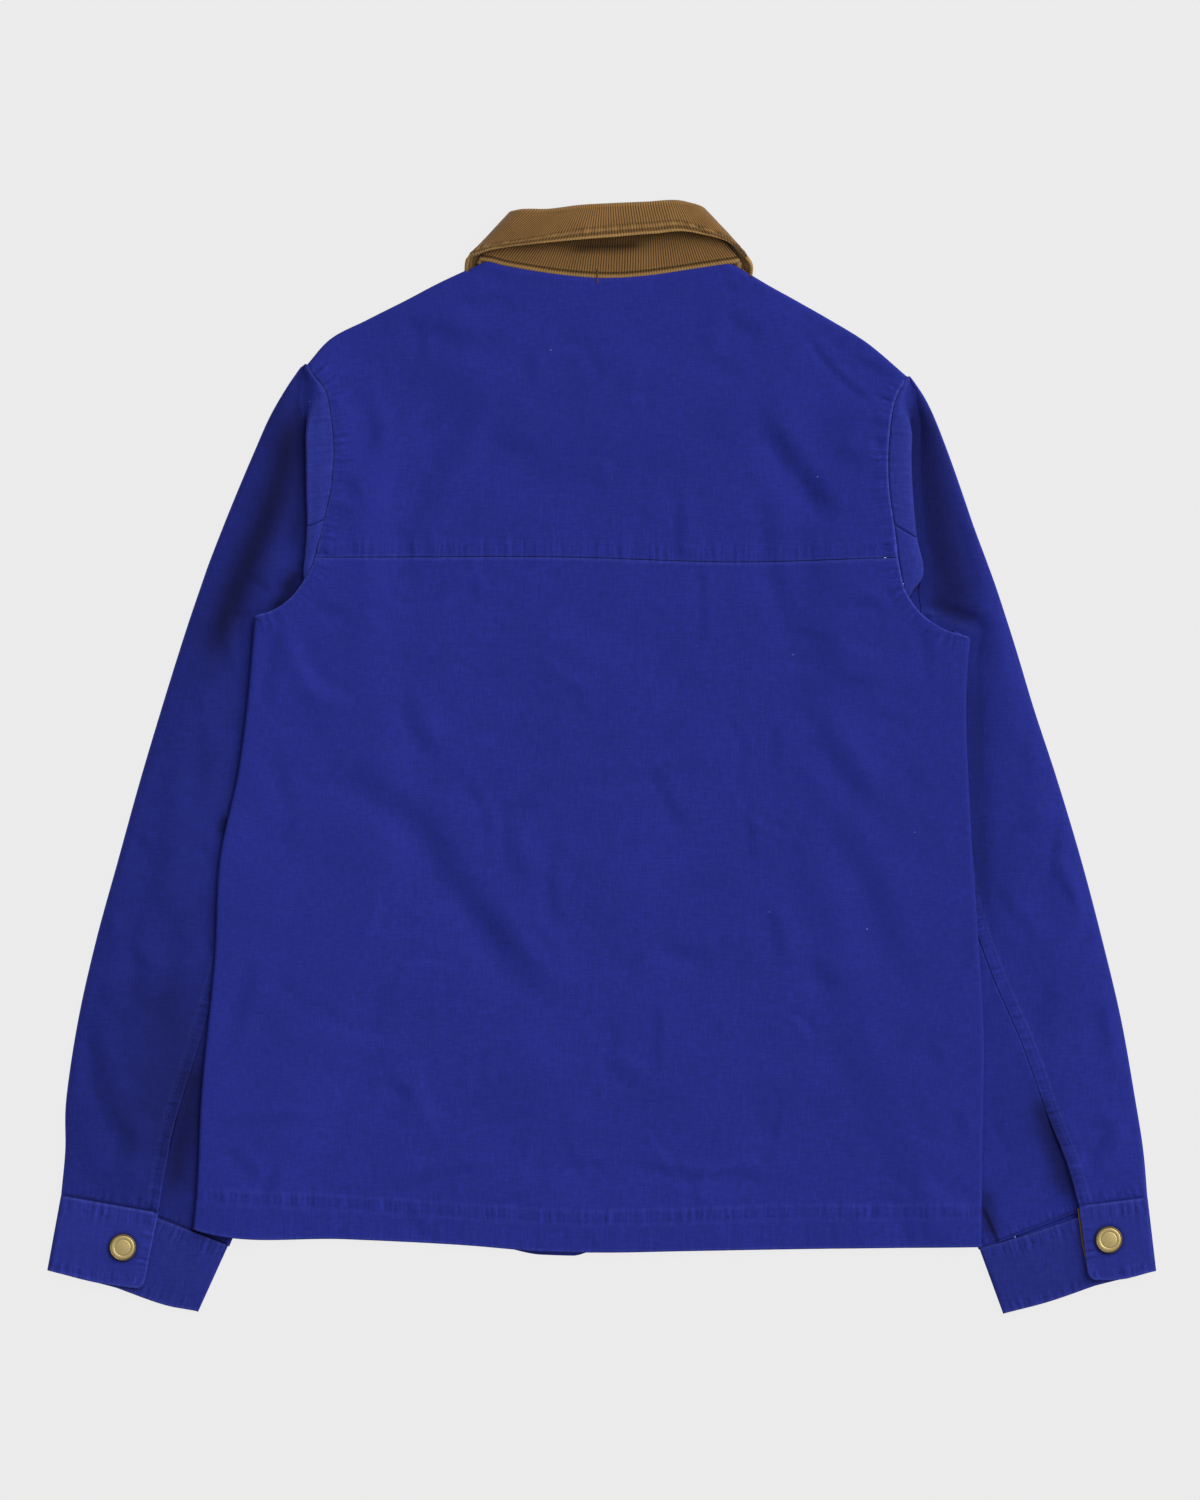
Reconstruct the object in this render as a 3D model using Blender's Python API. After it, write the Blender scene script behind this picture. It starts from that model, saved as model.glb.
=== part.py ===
"""Barn jacket in cotton canvas with a corduroy collar, laid flat with its back up.

Run with: blender --background --python part.py

The frame is in metres with +Z up. The jacket lies on the plane Z = 0, +Y points to its collar and
the origin is under the middle of its outline. All the sizes and tables below are in millimetres.
Every cloth piece is first a sheet, the middle surface of the cloth, as a grid of points with rows
and columns. A Solidify modifier then gives the sheet its wall.
"""
import math
from collections import namedtuple

import bpy
import numpy as np

MM = 0.001

# ---------------------------------------------------------------- driving sizes
CANVAS = 1.2            # wall of the canvas
CUFF_WALL = 1.6         # two plies of canvas
FACING_WALL = 1.0
STAND_WALL = 1.8        # corduroy
FALL_WALL = 2.2         # two plies of corduroy
SEAM_GAP = 0.3          # clear space between two pieces at a seam
FRONT_Z = 0.6           # a front's middle surface where it lies on the table
BACK_Z = 4.1            # the back's, over the fronts' overlap
SLEEVE_BOTTOM_Z = 0.6
SLEEVE_TOP_Z = 2.1      # sleeve's upper layer where the body presses on it
TUCK_FOOT_Z = 2.2       # sleeve's upper layer at the foot of the armhole fold
SLEEVE_PUFF = 2.6       # how far the sleeve's upper layer swells clear of the body
SLEEVE_RIM_Z = 2.7
CLEAR_OF_EDGE = 6.0     # the swelling starts this far out from the body's edge
TUCK_AT_TOP = 1.4       # how far the cloth goes in below the armhole fold at its top
TUCK_GROWTH = 0.6       # and how much more at each station
VENT_STEP = 0.95        # how far the vent's edges lie apart in height
UNDER_AT_CUFF_Z = 2.7   # under sleeve's upper layer at the cuff
SIDE_WRAP = 10.0        # the back turns under by this much to the side seam
SHOULDER_WRAP = 14.0    # the yoke turns under by this much to the shoulder seam
FOLD_ALLOWANCE = 2.9    # from the body's outline to the centre of its edge fold
TAB_SLANT = 6.0         # the yoke's turned end slants by this much along the armhole
FRONT_ARMHOLE_SCOOP = 9.0
OVERLAP_LEFT_X = 8.0    # edge of the left front, over the right one
OVERLAP_RIGHT_X = -18.0
PLACKET_RAMP = 13.0     # the left front climbs onto the right one over this width
PLACKET_LIFT = 1.6
PLACKET_COLUMNS = [-33.0, -19.0, -5.5, 8.0]     # grid lines of the left front where it laps over
PLACKET_PEEK = 3.4      # the left front's placket hangs this much lower than its hem
PLACKET_FROM = -70.0    # from this x on
FRONT_HEM_RISE = 1.2    # a front's hem lies this much above the back's
SNAP_RADIUS = 8.9
SNAP_HEIGHT = 2.6
SNAP_SIDES = 20
# The cap's turned outline from its middle out: shares of its radius and of its height.
SNAP_PROFILE = [(0.35, 0.97), (0.62, 0.86), (0.78, 0.70), (0.90, 0.66), (1.0, 0.36), (0.94, 0.0)]

Lift = namedtuple("Lift", "y front back full")
Station = namedtuple("Station", "seam_x seam_y fold_x fold_y rim_x rim_y")
Tube = namedtuple("Tube", "rim_x rim_y seam_x seam_y inner_x inner_y")
Band = namedtuple("Band", "top_x top_y end_x end_y z")
Ring = namedtuple("Ring", "neck_x neck_y neck_z roll_x roll_y roll_z edge_x edge_y edge_z turn radius")
Fold = namedtuple("Fold", "x0 y0 x1 y1 x2 y2 width depth")

# ---------------------------------------------------------------- outline of the body
NECK_SEAM = [(-82.5, 324.5), (-76, 327), (-63, 324.4), (-25, 318.5), (0, 316.5), (27, 317.8), (74, 324.4),
             (86, 325.5), (93.5, 322)]
SHOULDER_LEFT = [(-194, 259), (-180, 275), (-154, 289), (-128, 302), (-108, 312.5), (-82.5, 324.5)]
SHOULDER_RIGHT = [(93.5, 322), (110, 312), (128, 302), (151, 289), (174, 275), (202.5, 251)]
ARMPIT_LEFT = [(-205, 105), (-217.5, 96.7), (-228.7, 93.4)]     # the armhole's lowest stretch
ARMPIT_RIGHT = [(205, 103), (214, 92.7), (228, 84), (243.2, 79.5)]
YOKE_SEAM = [(-132, 132.3), (-27, 132.3), (92, 129)]       # between the two armholes
SIDE_LEFT = [(-228.4, 91), (-233.3, 36), (-238.6, -5.6), (-251.8, -70.3), (-254.4, -125),
             (-263.7, -224.7), (-267, -290.7), (-269, -311.5)]
SIDE_RIGHT = [(244, 79), (242, 57.8), (244, -41.3), (248.5, -110.6), (252.5, -180), (251.8, -253.8),
              (251, -323)]
HEM = [(-269, -311.5), (-257.7, -314.5), (-168, -317.8), (-89.4, -321.8), (-36.6, -326), (7.6, -326.6),
       (55, -325.7), (127, -324.4), (251, -323)]
FRONT_NECKLINE = [(-75.3, 309.3), (-73.5, 292), (-60, 266), (-35, 252), (-5, 248), (30, 252), (58, 264),
                  (80, 288), (84.6, 307.4)]

# How high the sleeves tucked below the body lift the front and the back, from `full` millimetres
# off the centre line outward.
LIFTS = [
    Lift(330, 0.0, 0.0, 205),
    Lift(262, 1.2, 1.8, 195),
    Lift(225, 2.2, 3.0, 172),
    Lift(150, 2.8, 3.4, 160),
    Lift(110, 3.0, 3.2, 158),
    Lift(71, 3.0, 2.5, 160),
    Lift(18, 3.0, 2.0, 150),
    Lift(-41, 3.0, 2.0, 148),
    Lift(-97, 3.0, 2.0, 156),
    Lift(-155, 3.0, 2.0, 174),
    Lift(-211, 3.0, 2.0, 191),
    Lift(-263, 3.1, 2.1, 210),
    Lift(-293, 3.7, 2.6, 222),
    Lift(-330, 3.8, 2.7, 234),
]
LIFT_RAMP = 34.0
NECK_CENTRE = (5.0, 300.0)      # the collar's front leaf lies below the fronts round this place
NECK_REACH = (118.0, 92.0)      # half width and half height of the patch that it lifts
NECK_FRONT_LIFT = 2.6
NECK_BACK_LIFT = 3.1

# The body's largest folds: a soft trough through three points each.
BODY_FOLDS = [
    Fold(-203, 19, -118, -44, -71, -113, 22, -0.9),
    Fold(-71, -113, -50, -136, -31, -156, 17, -0.9),
    Fold(103, 234, 128, 188, 160, 152, 18, -0.9),
    Fold(143, 38, 161, -8, 183, -37, 18, -0.9),
    Fold(138, -10, 180, -87, 201, -153, 20, -0.8),
    Fold(-74, 239, -116, 169, -133, 115, 20, -0.9),
    Fold(-50, -204, -92, -233, -150, -267, 18, -0.7),
    Fold(124, 106, 125, 64, 132, 80, 20, -0.6),
]

# ---------------------------------------------------------------- sleeves
# Stations 0 to 7 run down the armhole: armhole seam, fold beside it, outer rim.
CAP_LEFT = [
    Station(-192.7, 256.4, -195.0, 255.6, -198.6, 256.8),
    Station(-181.8, 242.6, -194.4, 241.2, -208.2, 242.6),
    Station(-177.9, 224.7, -195.0, 222.8, -218.8, 224.0),
    Station(-175.9, 203.0, -194.6, 200.3, -228.7, 201.6),
    Station(-177.9, 176.6, -194.4, 175.2, -239.3, 176.6),
    Station(-182.5, 156.8, -193.9, 152.8, -248.5, 154.0),
    Station(-189.0, 130.4, -195.7, 129.0, -257.7, 130.4),
    Station(-194.4, 119.0, -197.4, 118.0, -262.4, 117.2),
]
CAP_RIGHT = [
    Station(200.6, 247.6, 203.4, 247.0, 207.2, 247.4),
    Station(195.0, 237.3, 202.4, 236.0, 214.2, 236.6),
    Station(191.7, 222.8, 205.6, 220.1, 220.8, 222.8),
    Station(189.8, 199.7, 205.0, 199.0, 230.0, 199.0),
    Station(190.4, 176.6, 205.8, 176.6, 237.9, 176.6),
    Station(193.7, 153.5, 208.6, 145.6, 246.5, 151.5),
    Station(196.4, 130.4, 212.8, 126.0, 255.1, 128.4),
    Station(200.3, 111.9, 211.5, 109.2, 262.4, 107.9),
]
# Edge of what lies over each sleeve in plan: the fold beside the armhole, then the body's side.
EDGE_LEFT = [(row.fold_x, row.fold_y) for row in CAP_LEFT] + ARMPIT_LEFT + SIDE_LEFT[1:]
ARMPIT_EDGE_RIGHT = [(219, 100), (240, 93), (245, 86)]
EDGE_RIGHT = [(row.fold_x, row.fold_y) for row in CAP_RIGHT] + ARMPIT_EDGE_RIGHT + SIDE_RIGHT[1:]

# Stations 8 to 16 run down the arm to the cuff: outer rim, back seam, inner edge below the body.
ARM_LEFT = [
    Tube(-273.6, 84.2, -210.0, 73.0, -178.5, 71.0),
    Tube(-288.1, 38.0, -219.5, 21.5, -161.4, 18.2),
    Tube(-303.9, -14.9, -228.7, -33.3, -157.4, -41.3),
    Tube(-318.5, -67.7, -239.3, -87.5, -165.3, -97.4),
    Tube(-333.0, -120.5, -249.8, -138.9, -183.8, -154.8),
    Tube(-344.9, -173.3, -264.3, -186.5, -201.0, -211.5),
    Tube(-352.8, -226.0, -280.2, -238.0, -220.8, -263.0),
    Tube(-353.4, -259.0, -286.8, -269.0, -232.7, -293.4),
    Tube(-356.1, -288.8, -292.0, -299.8, -244.6, -321.2),
]
ARM_RIGHT = [
    Tube(274.2, 71.0, 216.0, 62.0, 172.6, 61.0),
    Tube(286.1, 31.4, 227.4, 14.9, 159.4, 14.9),
    Tube(301.3, -14.9, 234.0, -38.0, 156.8, -41.3),
    Tube(317.1, -67.7, 240.6, -90.8, 166.0, -97.4),
    Tube(331.0, -120.5, 256.4, -139.0, 184.5, -153.5),
    Tube(343.5, -173.3, 278.2, -189.8, 203.0, -210.2),
    Tube(352.8, -226.0, 294.7, -236.0, 224.1, -263.0),
    Tube(358.0, -259.0, 307.2, -267.0, 236.0, -294.7),
    Tube(360.7, -290.0, 315.5, -295.4, 248.9, -323.3),
]
CAP_STATIONS = 7
SEAM_AT_ARMHOLE = 5.0   # station where the back seam meets the armhole
YOKE_STATION = 5.92     # station where the yoke seam meets it
CUFF_STATION = 16.0
VENT_START = 13.7       # from here the vent's two edges part
CUFF_EASE = 14.6        # from here the sleeve's layers come to the cuff's heights
# Both sides of a seam are built at the same stations, so that their straight cells match.
UPPER_CAP_STEPS = [0.0, 0.5, 1.0, 2.0, 3.0, 4.0]
LOWER_CAP_STEPS = [5.5, YOKE_STATION, 6.4, 7.0]
FRONT_CAP_STEPS = [0.85, 1.0, 2.0, 3.0, 4.0, 5.0, 5.5, YOKE_STATION, 6.4, 7.0]
ARM_STEPS = [7.6, 8.3, 9.0, 10.0, 11.0, 12.0, 13.0, VENT_START, 14.5, 15.2, CUFF_STATION]
VENT_LAP = 8.0
HALF_GAP_STATION = 0.008    # half a seam gap, counted in stations
SCOOP_FULL = 1.6            # station where the front armhole is cut in as far as it goes
FRONT_SEAM_SHARE = 0.22     # of the sleeve's width, from its inner edge

# ---------------------------------------------------------------- cuffs
# Bands from the lap's open end, round the outer rim, along the table, round the inner edge and
# back below the lap. `top` is on the sleeve's seam and `end` on the cuff's lower edge.
CUFF_LEFT = [
    Band(-292.0, -300.3, -302.0, -350.8, 4.9),
    Band(-323.7, -294.8, -332.3, -346.5, 4.9),
    Band(-356.3, -289.2, -365.3, -338.4, 4.4),
    Band(-356.3, -289.2, -365.3, -338.4, 1.2),
    Band(-297.3, -307.0, -313.8, -351.5, 0.8),
    Band(-245.8, -321.9, -265.6, -365.6, 0.9),
    Band(-245.8, -321.9, -265.6, -365.6, 2.7),
    Band(-267.6, -313.4, -289.4, -360.7, 2.8),
    Band(-300.0, -301.0, -322.0, -349.0, 2.8),
]
CUFF_RIGHT = [
    Band(315.5, -295.8, 321.8, -344.9, 5.9),
    Band(338.3, -293.0, 343.5, -344.2, 5.9),
    Band(360.9, -290.4, 366.6, -338.9, 5.2),
    Band(360.9, -290.4, 366.6, -338.9, 1.3),
    Band(303.3, -307.6, 315.2, -351.5, 0.8),
    Band(249.8, -324.0, 265.5, -367.0, 0.9),
    Band(249.8, -324.0, 265.5, -367.0, 2.7),
    Band(283.5, -314.2, 296.7, -358.7, 2.8),
    Band(323.1, -300.6, 333.0, -346.0, 2.8),
]
CUFF_CORNER = 8.0       # rounding of the lap's free corner
CUFF_ROWS = np.array([0.0, 0.3, 0.6, 0.85, 0.94, 1.0])      # shares of the way down the cuff
SNAP_LEFT = (-315.3, -323.1)
SNAP_RIGHT = (335.2, -318.0)
FACING_REACH = 23.0
FACING_PROUD = 1.3
FACING_Z = 4.4

# ---------------------------------------------------------------- collar
# Stations from the left front end, round the back of the neck, to the right front end. `turn` is
# the way the fall leaves the stand: 0 is up, 90 is outward and 180 is down.
COLLAR = [
    Ring(-7.0, 249.2, 4.7, -8.0, 281.0, 4.9, -50.0, 232.0, 1.1, 180, 1.90),
    Ring(-35.0, 253.1, 3.3, -24.0, 291.0, 3.9, -66.0, 250.0, 1.1, 180, 1.40),
    Ring(-59.3, 267.3, 3.2, -38.0, 303.0, 3.9, -79.0, 272.0, 1.1, 180, 1.40),
    Ring(-72.4, 292.6, 3.2, -50.0, 326.0, 3.9, -86.0, 296.0, 1.1, 180, 1.40),
    Ring(-73.9, 309.6, 3.3, -56.0, 341.0, 4.2, -88.0, 309.0, 1.1, 180, 1.50),
    Ring(-77.4, 320.2, 3.7, -61.0, 344.0, 4.7, -89.5, 317.0, 1.3, 165, 1.60),
    Ring(-80.2, 327.8, 5.4, -61.0, 351.0, 6.5, -88.5, 328.0, 5.4, 100, 2.00),
    Ring(-75.0, 328.2, 7.2, -54.0, 357.0, 8.9, -80.0, 332.5, 10.0, 40, 2.10),
    Ring(-61.0, 325.0, 7.2, -36.0, 357.5, 10.3, -61.0, 336.6, 14.0, 0, 2.00),
    Ring(-25.0, 319.0, 7.2, -14.0, 359.0, 10.5, -22.0, 340.7, 16.0, 0, 2.00),
    Ring(3.0, 317.1, 7.2, 6.0, 360.0, 10.5, 7.0, 343.0, 16.5, 0, 2.00),
    Ring(30.0, 318.6, 7.2, 30.0, 361.0, 10.5, 34.0, 345.2, 16.5, 0, 2.00),
    Ring(70.0, 324.4, 7.2, 55.0, 361.8, 10.3, 64.0, 345.5, 15.0, 0, 2.00),
    Ring(86.5, 327.0, 7.2, 64.0, 359.0, 9.5, 86.0, 339.0, 11.5, 25, 1.80),
    Ring(91.4, 326.6, 5.4, 69.5, 354.5, 7.0, 99.5, 326.0, 6.0, 90, 1.60),
    Ring(88.6, 318.8, 3.7, 70.0, 350.0, 4.8, 99.8, 316.5, 1.2, 170, 1.60),
    Ring(83.2, 309.4, 3.3, 68.0, 342.0, 4.2, 98.0, 307.0, 1.1, 180, 1.50),
    Ring(79.0, 289.0, 3.2, 58.0, 326.0, 3.9, 91.0, 293.0, 1.1, 180, 1.40),
    Ring(57.3, 265.3, 3.2, 40.0, 302.0, 3.9, 80.0, 269.0, 1.1, 180, 1.40),
    Ring(30.0, 253.1, 3.2, 22.0, 290.0, 3.9, 62.0, 248.0, 1.1, 180, 1.40),
    Ring(-3.0, 249.2, 3.2, -2.5, 281.0, 3.6, 42.0, 232.0, 1.1, 180, 1.25),
]
FALL_SWELL = 0.9        # the fall swells above its straight line by this much
ROLL_GAP = 1.3          # the fall begins this far past the stand's top
ROLL_RUN = 1.2          # and rises straight by this much before it rolls

# ---------------------------------------------------------------- grid counts
BODY_COLUMNS = (6, 12, 6)       # left shoulder, neck, right shoulder
BACK_ROWS = (3, 15)             # along the armpit, and down the sides
FRONT_SIDE_ROWS = 10
FRONT_NECK_COLUMNS = 9
ARC_CELLS = 3
TOP_CELLS = 8
BOTTOM_CELLS = 4
COLLAR_COLUMNS = 44


# ---------------------------------------------------------------- lines and surfaces
def along(points, shares):
    """Smooth line through the points, read at shares (0 to 1) of its length."""
    points = np.asarray(points, dtype=float)
    steps = np.linalg.norm(np.diff(points, axis=0), axis=1)
    knots = np.concatenate([[0.0], np.cumsum(steps)]) / steps.sum()
    return hermite(points, knots, shares)


def hermite(values, knots, at):
    """Cubic through the values at the knots, with the slopes of their neighbours."""
    values = np.asarray(values, dtype=float)
    slopes = np.gradient(values, knots, axis=0)
    at = np.atleast_1d(np.asarray(at, dtype=float))
    i = np.clip(np.searchsorted(knots, at, side="right") - 1, 0, len(knots) - 2)
    span = knots[i + 1] - knots[i]
    s = (at - knots[i]) / span
    shape = (-1,) + (1,) * (values.ndim - 1)
    s, span = s.reshape(shape), span.reshape(shape)
    start = (2 * s**3 - 3 * s**2 + 1) * values[i] + (s**3 - 2 * s**2 + s) * span * slopes[i]
    finish = (3 * s**2 - 2 * s**3) * values[i + 1] + (s**3 - s**2) * span * slopes[i + 1]
    return start + finish


def column(table, name):
    """One named column of a table, as an array."""
    return np.array([getattr(row, name) for row in table], dtype=float)


def pairs(table, name):
    """The x and y columns of a table that share a name."""
    return np.stack([column(table, name + "_x"), column(table, name + "_y")], axis=1)


def smoothstep(x):
    """0 below 0, 1 above 1, soft between."""
    x = np.clip(x, 0.0, 1.0)
    return x * x * (3 - 2 * x)


def normals_of(line):
    """Unit normals of a line in plan, to its left."""
    tangent = np.gradient(line, axis=0)
    tangent /= np.linalg.norm(tangent, axis=1, keepdims=True)
    return np.stack([-tangent[:, 1], tangent[:, 0]], axis=1)


def patch(top, bottom, left, right):
    """Plan grid between four border lines (a Coons patch): rows go down, columns go right."""
    top, bottom, left, right = (np.asarray(line, dtype=float) for line in (top, bottom, left, right))
    u = np.linspace(0, 1, len(top))[None, :, None]
    v = np.linspace(0, 1, len(left))[:, None, None]
    ruled_down = (1 - v) * top[None] + v * bottom[None]
    ruled_across = (1 - u) * left[:, None] + u * right[:, None]
    corners = ((1 - u) * (1 - v) * top[0] + u * (1 - v) * top[-1]
               + (1 - u) * v * bottom[0] + u * v * bottom[-1])
    return ruled_down + ruled_across - corners


def fold_depth(x, y):
    """Depth of the body's large folds at a place in plan."""
    depth = np.zeros_like(x)
    for fold in BODY_FOLDS:
        line = along([(fold.x0, fold.y0), (fold.x1, fold.y1), (fold.x2, fold.y2)], np.linspace(0, 1, 13))
        reach = np.hypot(x[..., None] - line[:, 0], y[..., None] - line[:, 1])
        fade = np.sin(np.pi * np.linspace(0.12, 0.88, 13))
        share = np.exp(-(reach / (fold.width * 0.55))**2) * fade
        depth = depth + fold.depth * share.max(axis=-1)
    return depth


def lifts(x, y):
    """How much the front and the back are lifted at a place in plan."""
    order = np.argsort(column(LIFTS, "y"))
    at = {name: np.interp(y, column(LIFTS, "y")[order], column(LIFTS, name)[order])
          for name in ("front", "back", "full")}
    side = smoothstep((np.abs(x) - at["full"] + LIFT_RAMP) / LIFT_RAMP)
    neck = 1 - smoothstep((np.hypot((x - NECK_CENTRE[0]) / NECK_REACH[0],
                                    (y - NECK_CENTRE[1]) / NECK_REACH[1]) - 0.85) / 0.5)
    front = np.maximum(at["front"] * side, NECK_FRONT_LIFT * neck)
    back = np.maximum(at["back"] * side, NECK_BACK_LIFT * neck)
    return front, back


def front_z(x, y):
    """Middle surface of a front."""
    return FRONT_Z + lifts(x, y)[0]


def back_z(x, y):
    """Middle surface of the back and the yoke."""
    return BACK_Z + lifts(x, y)[1] + fold_depth(x, y)


def raise_plan(plan, height):
    """Plan points with a height from a function of the place."""
    return np.concatenate([plan, height(plan[..., 0], plan[..., 1])[..., None]], axis=-1)


def wrap(edge, outward, under, reach):
    """Points that carry a sheet's edge round a fold and `reach` further in below it.

    `edge` holds the fold's top points, `outward` the plan direction out of the fold at each and
    `under` the height of the layer below. The result has one row for each step round the fold.
    """
    radius = (edge[:, 2] - under) / 2
    rows = []
    for angle in np.linspace(90, -90, ARC_CELLS + 2)[1:]:
        out = radius * math.cos(math.radians(angle))
        row = np.empty_like(edge)
        row[:, :2] = edge[:, :2] + outward * out[:, None]
        row[:, 2] = edge[:, 2] - radius + radius * math.sin(math.radians(angle))
        rows.append(row)
    last = rows[-1].copy()
    last[:, :2] -= outward * reach
    rows.append(last)
    return np.array(rows)


# ---------------------------------------------------------------- making objects
def material(name, colour, roughness, metallic=0.0):
    """A Principled material; the colour is linear RGB."""
    mat = bpy.data.materials.new(name)
    mat.use_nodes = True
    shader = mat.node_tree.nodes["Principled BSDF"]
    shader.inputs["Base Color"].default_value = (*colour, 1.0)
    shader.inputs["Roughness"].default_value = roughness
    shader.inputs["Metallic"].default_value = metallic
    return mat


def cloth(name, grid, wall, mat, keep=None):
    """A cloth piece from its middle surface: a grid of points in millimetres, and its wall."""
    rows, columns = grid.shape[:2]
    if keep is None:
        keep = np.ones((rows - 1, columns - 1), dtype=bool)
    numbers = {}
    points = []
    faces = []
    for r, c in zip(*np.nonzero(keep)):
        face = []
        for corner in ((r, c), (r + 1, c), (r + 1, c + 1), (r, c + 1)):
            if corner not in numbers:
                numbers[corner] = len(points)
                points.append(grid[corner] * MM)
            face.append(numbers[corner])
        faces.append(face)
    mesh = bpy.data.meshes.new(name)
    mesh.from_pydata(points, [], faces)
    mesh.materials.append(mat)
    obj = bpy.data.objects.new(name, mesh)
    bpy.context.scene.collection.objects.link(obj)
    solid = obj.modifiers.new("wall", "SOLIDIFY")
    solid.thickness = wall * MM
    solid.offset = 0.0
    solid.use_quality_normals = True
    mesh.shade_smooth()
    mesh.set_sharp_from_angle(angle=math.radians(50))
    return obj


# ---------------------------------------------------------------- body
def joined(lines, counts):
    """Points on several lines in a row, each with its own number of cells."""
    pieces = [along(line, np.linspace(0, 1, count + 1)) for line, count in zip(lines, counts)]
    return np.concatenate([pieces[0]] + [piece[1:] for piece in pieces[1:]])


def fold_inset(plan):
    """Distance from the outline to the centre of the body's edge fold."""
    x, y = plan[:, 0], plan[:, 1]
    return (BACK_Z + lifts(x, y)[1] - front_z(x, y)) / 2 + CANVAS / 2


def make_yoke(mat):
    """Yoke: from the armholes' tops and the neck down to the yoke seam, turned over the shoulders."""
    left_cells, neck_cells, right_cells = BODY_COLUMNS
    outline = joined([SHOULDER_LEFT, NECK_SEAM, SHOULDER_RIGHT], BODY_COLUMNS)
    # Both shoulder lines and the neck seam run to the right, so their normals point to the neck side.
    outward = np.concatenate([
        normals_of(outline[:left_cells + 1]),
        normals_of(outline[left_cells:left_cells + neck_cells + 1])[1:-1],
        normals_of(outline[left_cells + neck_cells:]),
    ])
    inset = fold_inset(outline)
    inset[left_cells + 1:left_cells + neck_cells] = SEAM_GAP / 2
    top = outline - outward * inset[:, None]
    steps = UPPER_CAP_STEPS + [SEAM_AT_ARMHOLE, 5.5, YOKE_STATION]
    armhole_left = armhole_line(CAP_LEFT, steps, 1)
    armhole_right = armhole_line(CAP_RIGHT, steps, -1)
    seam = yoke_seam(len(top), SEAM_GAP / 2)
    armhole_left[0], armhole_right[0] = top[0], top[-1]
    seam[0], seam[-1] = armhole_left[-1], armhole_right[-1]
    grid = raise_plan(patch(top, seam, armhole_left, armhole_right), back_z)
    under = front_z(outline[:, 0], outline[:, 1])
    turned = wrap(grid[0], outward, under, SHOULDER_WRAP)
    for end, after in ((0, 1), (-1, -2)):
        along_seam = turned[-1, after, :2] - turned[-1, end, :2]
        turned[-1, end, :2] += along_seam / np.linalg.norm(along_seam) * TAB_SLANT
    turned[-1, :, 2] = front_z(turned[-1, :, 0], turned[-1, :, 1])
    full = np.concatenate([turned[::-1], grid])
    keep = np.ones((full.shape[0] - 1, full.shape[1] - 1), dtype=bool)
    keep[:len(turned), left_cells - 1:left_cells + neck_cells + 1] = False
    return cloth("yoke", full, CANVAS, mat, keep)


def armhole_line(cap, steps, inward):
    """The body's side of the armhole seam at some stations."""
    line = hermite(pairs(cap, "seam"), np.arange(len(cap)), steps)
    line[:, 0] += inward * SEAM_GAP / 2
    return line


def yoke_seam(columns, shift):
    """The yoke seam from armhole to armhole, moved up or down by half a gap."""
    ends = [hermite(pairs(cap, "seam"), np.arange(len(cap)), YOKE_STATION)[0]
            for cap in (CAP_LEFT, CAP_RIGHT)]
    line = along([ends[0], *YOKE_SEAM, ends[1]], np.linspace(0, 1, columns))
    line[:, 1] += shift
    return line


def body_side(cap, armpit, side, inward):
    """A side border of the back: lower armhole, armpit, then the side down to the hem."""
    upper = armhole_line(cap, [YOKE_STATION, 6.4, 7.0], inward)
    lower = along([upper[-1]] + armpit, np.linspace(0, 1, BACK_ROWS[0] + 1))[1:]
    down = along(side, np.linspace(0, 1, BACK_ROWS[1] + 1))
    down[:, 0] += inward * fold_inset(down)
    return np.concatenate([upper, lower, down])


def make_back(mat):
    """Back panel: yoke seam to hem, turned under along both sides to the side seams."""
    columns = sum(BODY_COLUMNS) + 1
    left = body_side(CAP_LEFT, ARMPIT_LEFT, SIDE_LEFT, 1)
    right = body_side(CAP_RIGHT, ARMPIT_RIGHT, SIDE_RIGHT, -1)
    top = yoke_seam(columns, -SEAM_GAP / 2)
    bottom = along(HEM, np.linspace(0, 1, columns))
    top[0], top[-1], bottom[0], bottom[-1] = left[0], right[0], left[-1], right[-1]
    grid = raise_plan(patch(top, bottom, left, right), back_z)
    first = len(left) - BACK_ROWS[1] - 1
    turned = []
    for edge, side in ((0, -1), (-1, 1)):
        line = grid[:, edge]
        outward = normals_of(line[:, :2]) * side
        under = front_z(line[:, 0], line[:, 1])
        turned.append(wrap(line, outward, under, SIDE_WRAP))
    steps = len(turned[0])
    full = np.concatenate([turned[0][::-1].swapaxes(0, 1), grid, turned[1].swapaxes(0, 1)], axis=1)
    keep = np.ones((full.shape[0] - 1, full.shape[1] - 1), dtype=bool)
    keep[:first, :steps] = False
    keep[:first, -steps:] = False
    return cloth("back_panel", full, CANVAS, mat, keep)


def front_armhole(cap, station):
    """The front armhole in plan; it is cut further in than the back one."""
    side = math.copysign(1.0, cap[0].seam_x)
    place = hermite(pairs(cap, "seam"), np.arange(len(cap)), min(station, CAP_STATIONS))[0]
    return place - [side * FRONT_ARMHOLE_SCOOP * float(smoothstep(station / SCOOP_FULL)), 0.0]


def front_height(x, y, over):
    """A front's middle surface; `over` lifts it where it laps over the other front."""
    lap = smoothstep((x - (OVERLAP_RIGHT_X - CANVAS - PLACKET_RAMP)) / PLACKET_RAMP)
    return front_z(x, y) + (PLACKET_LIFT * lap if over else 0.0)


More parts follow.
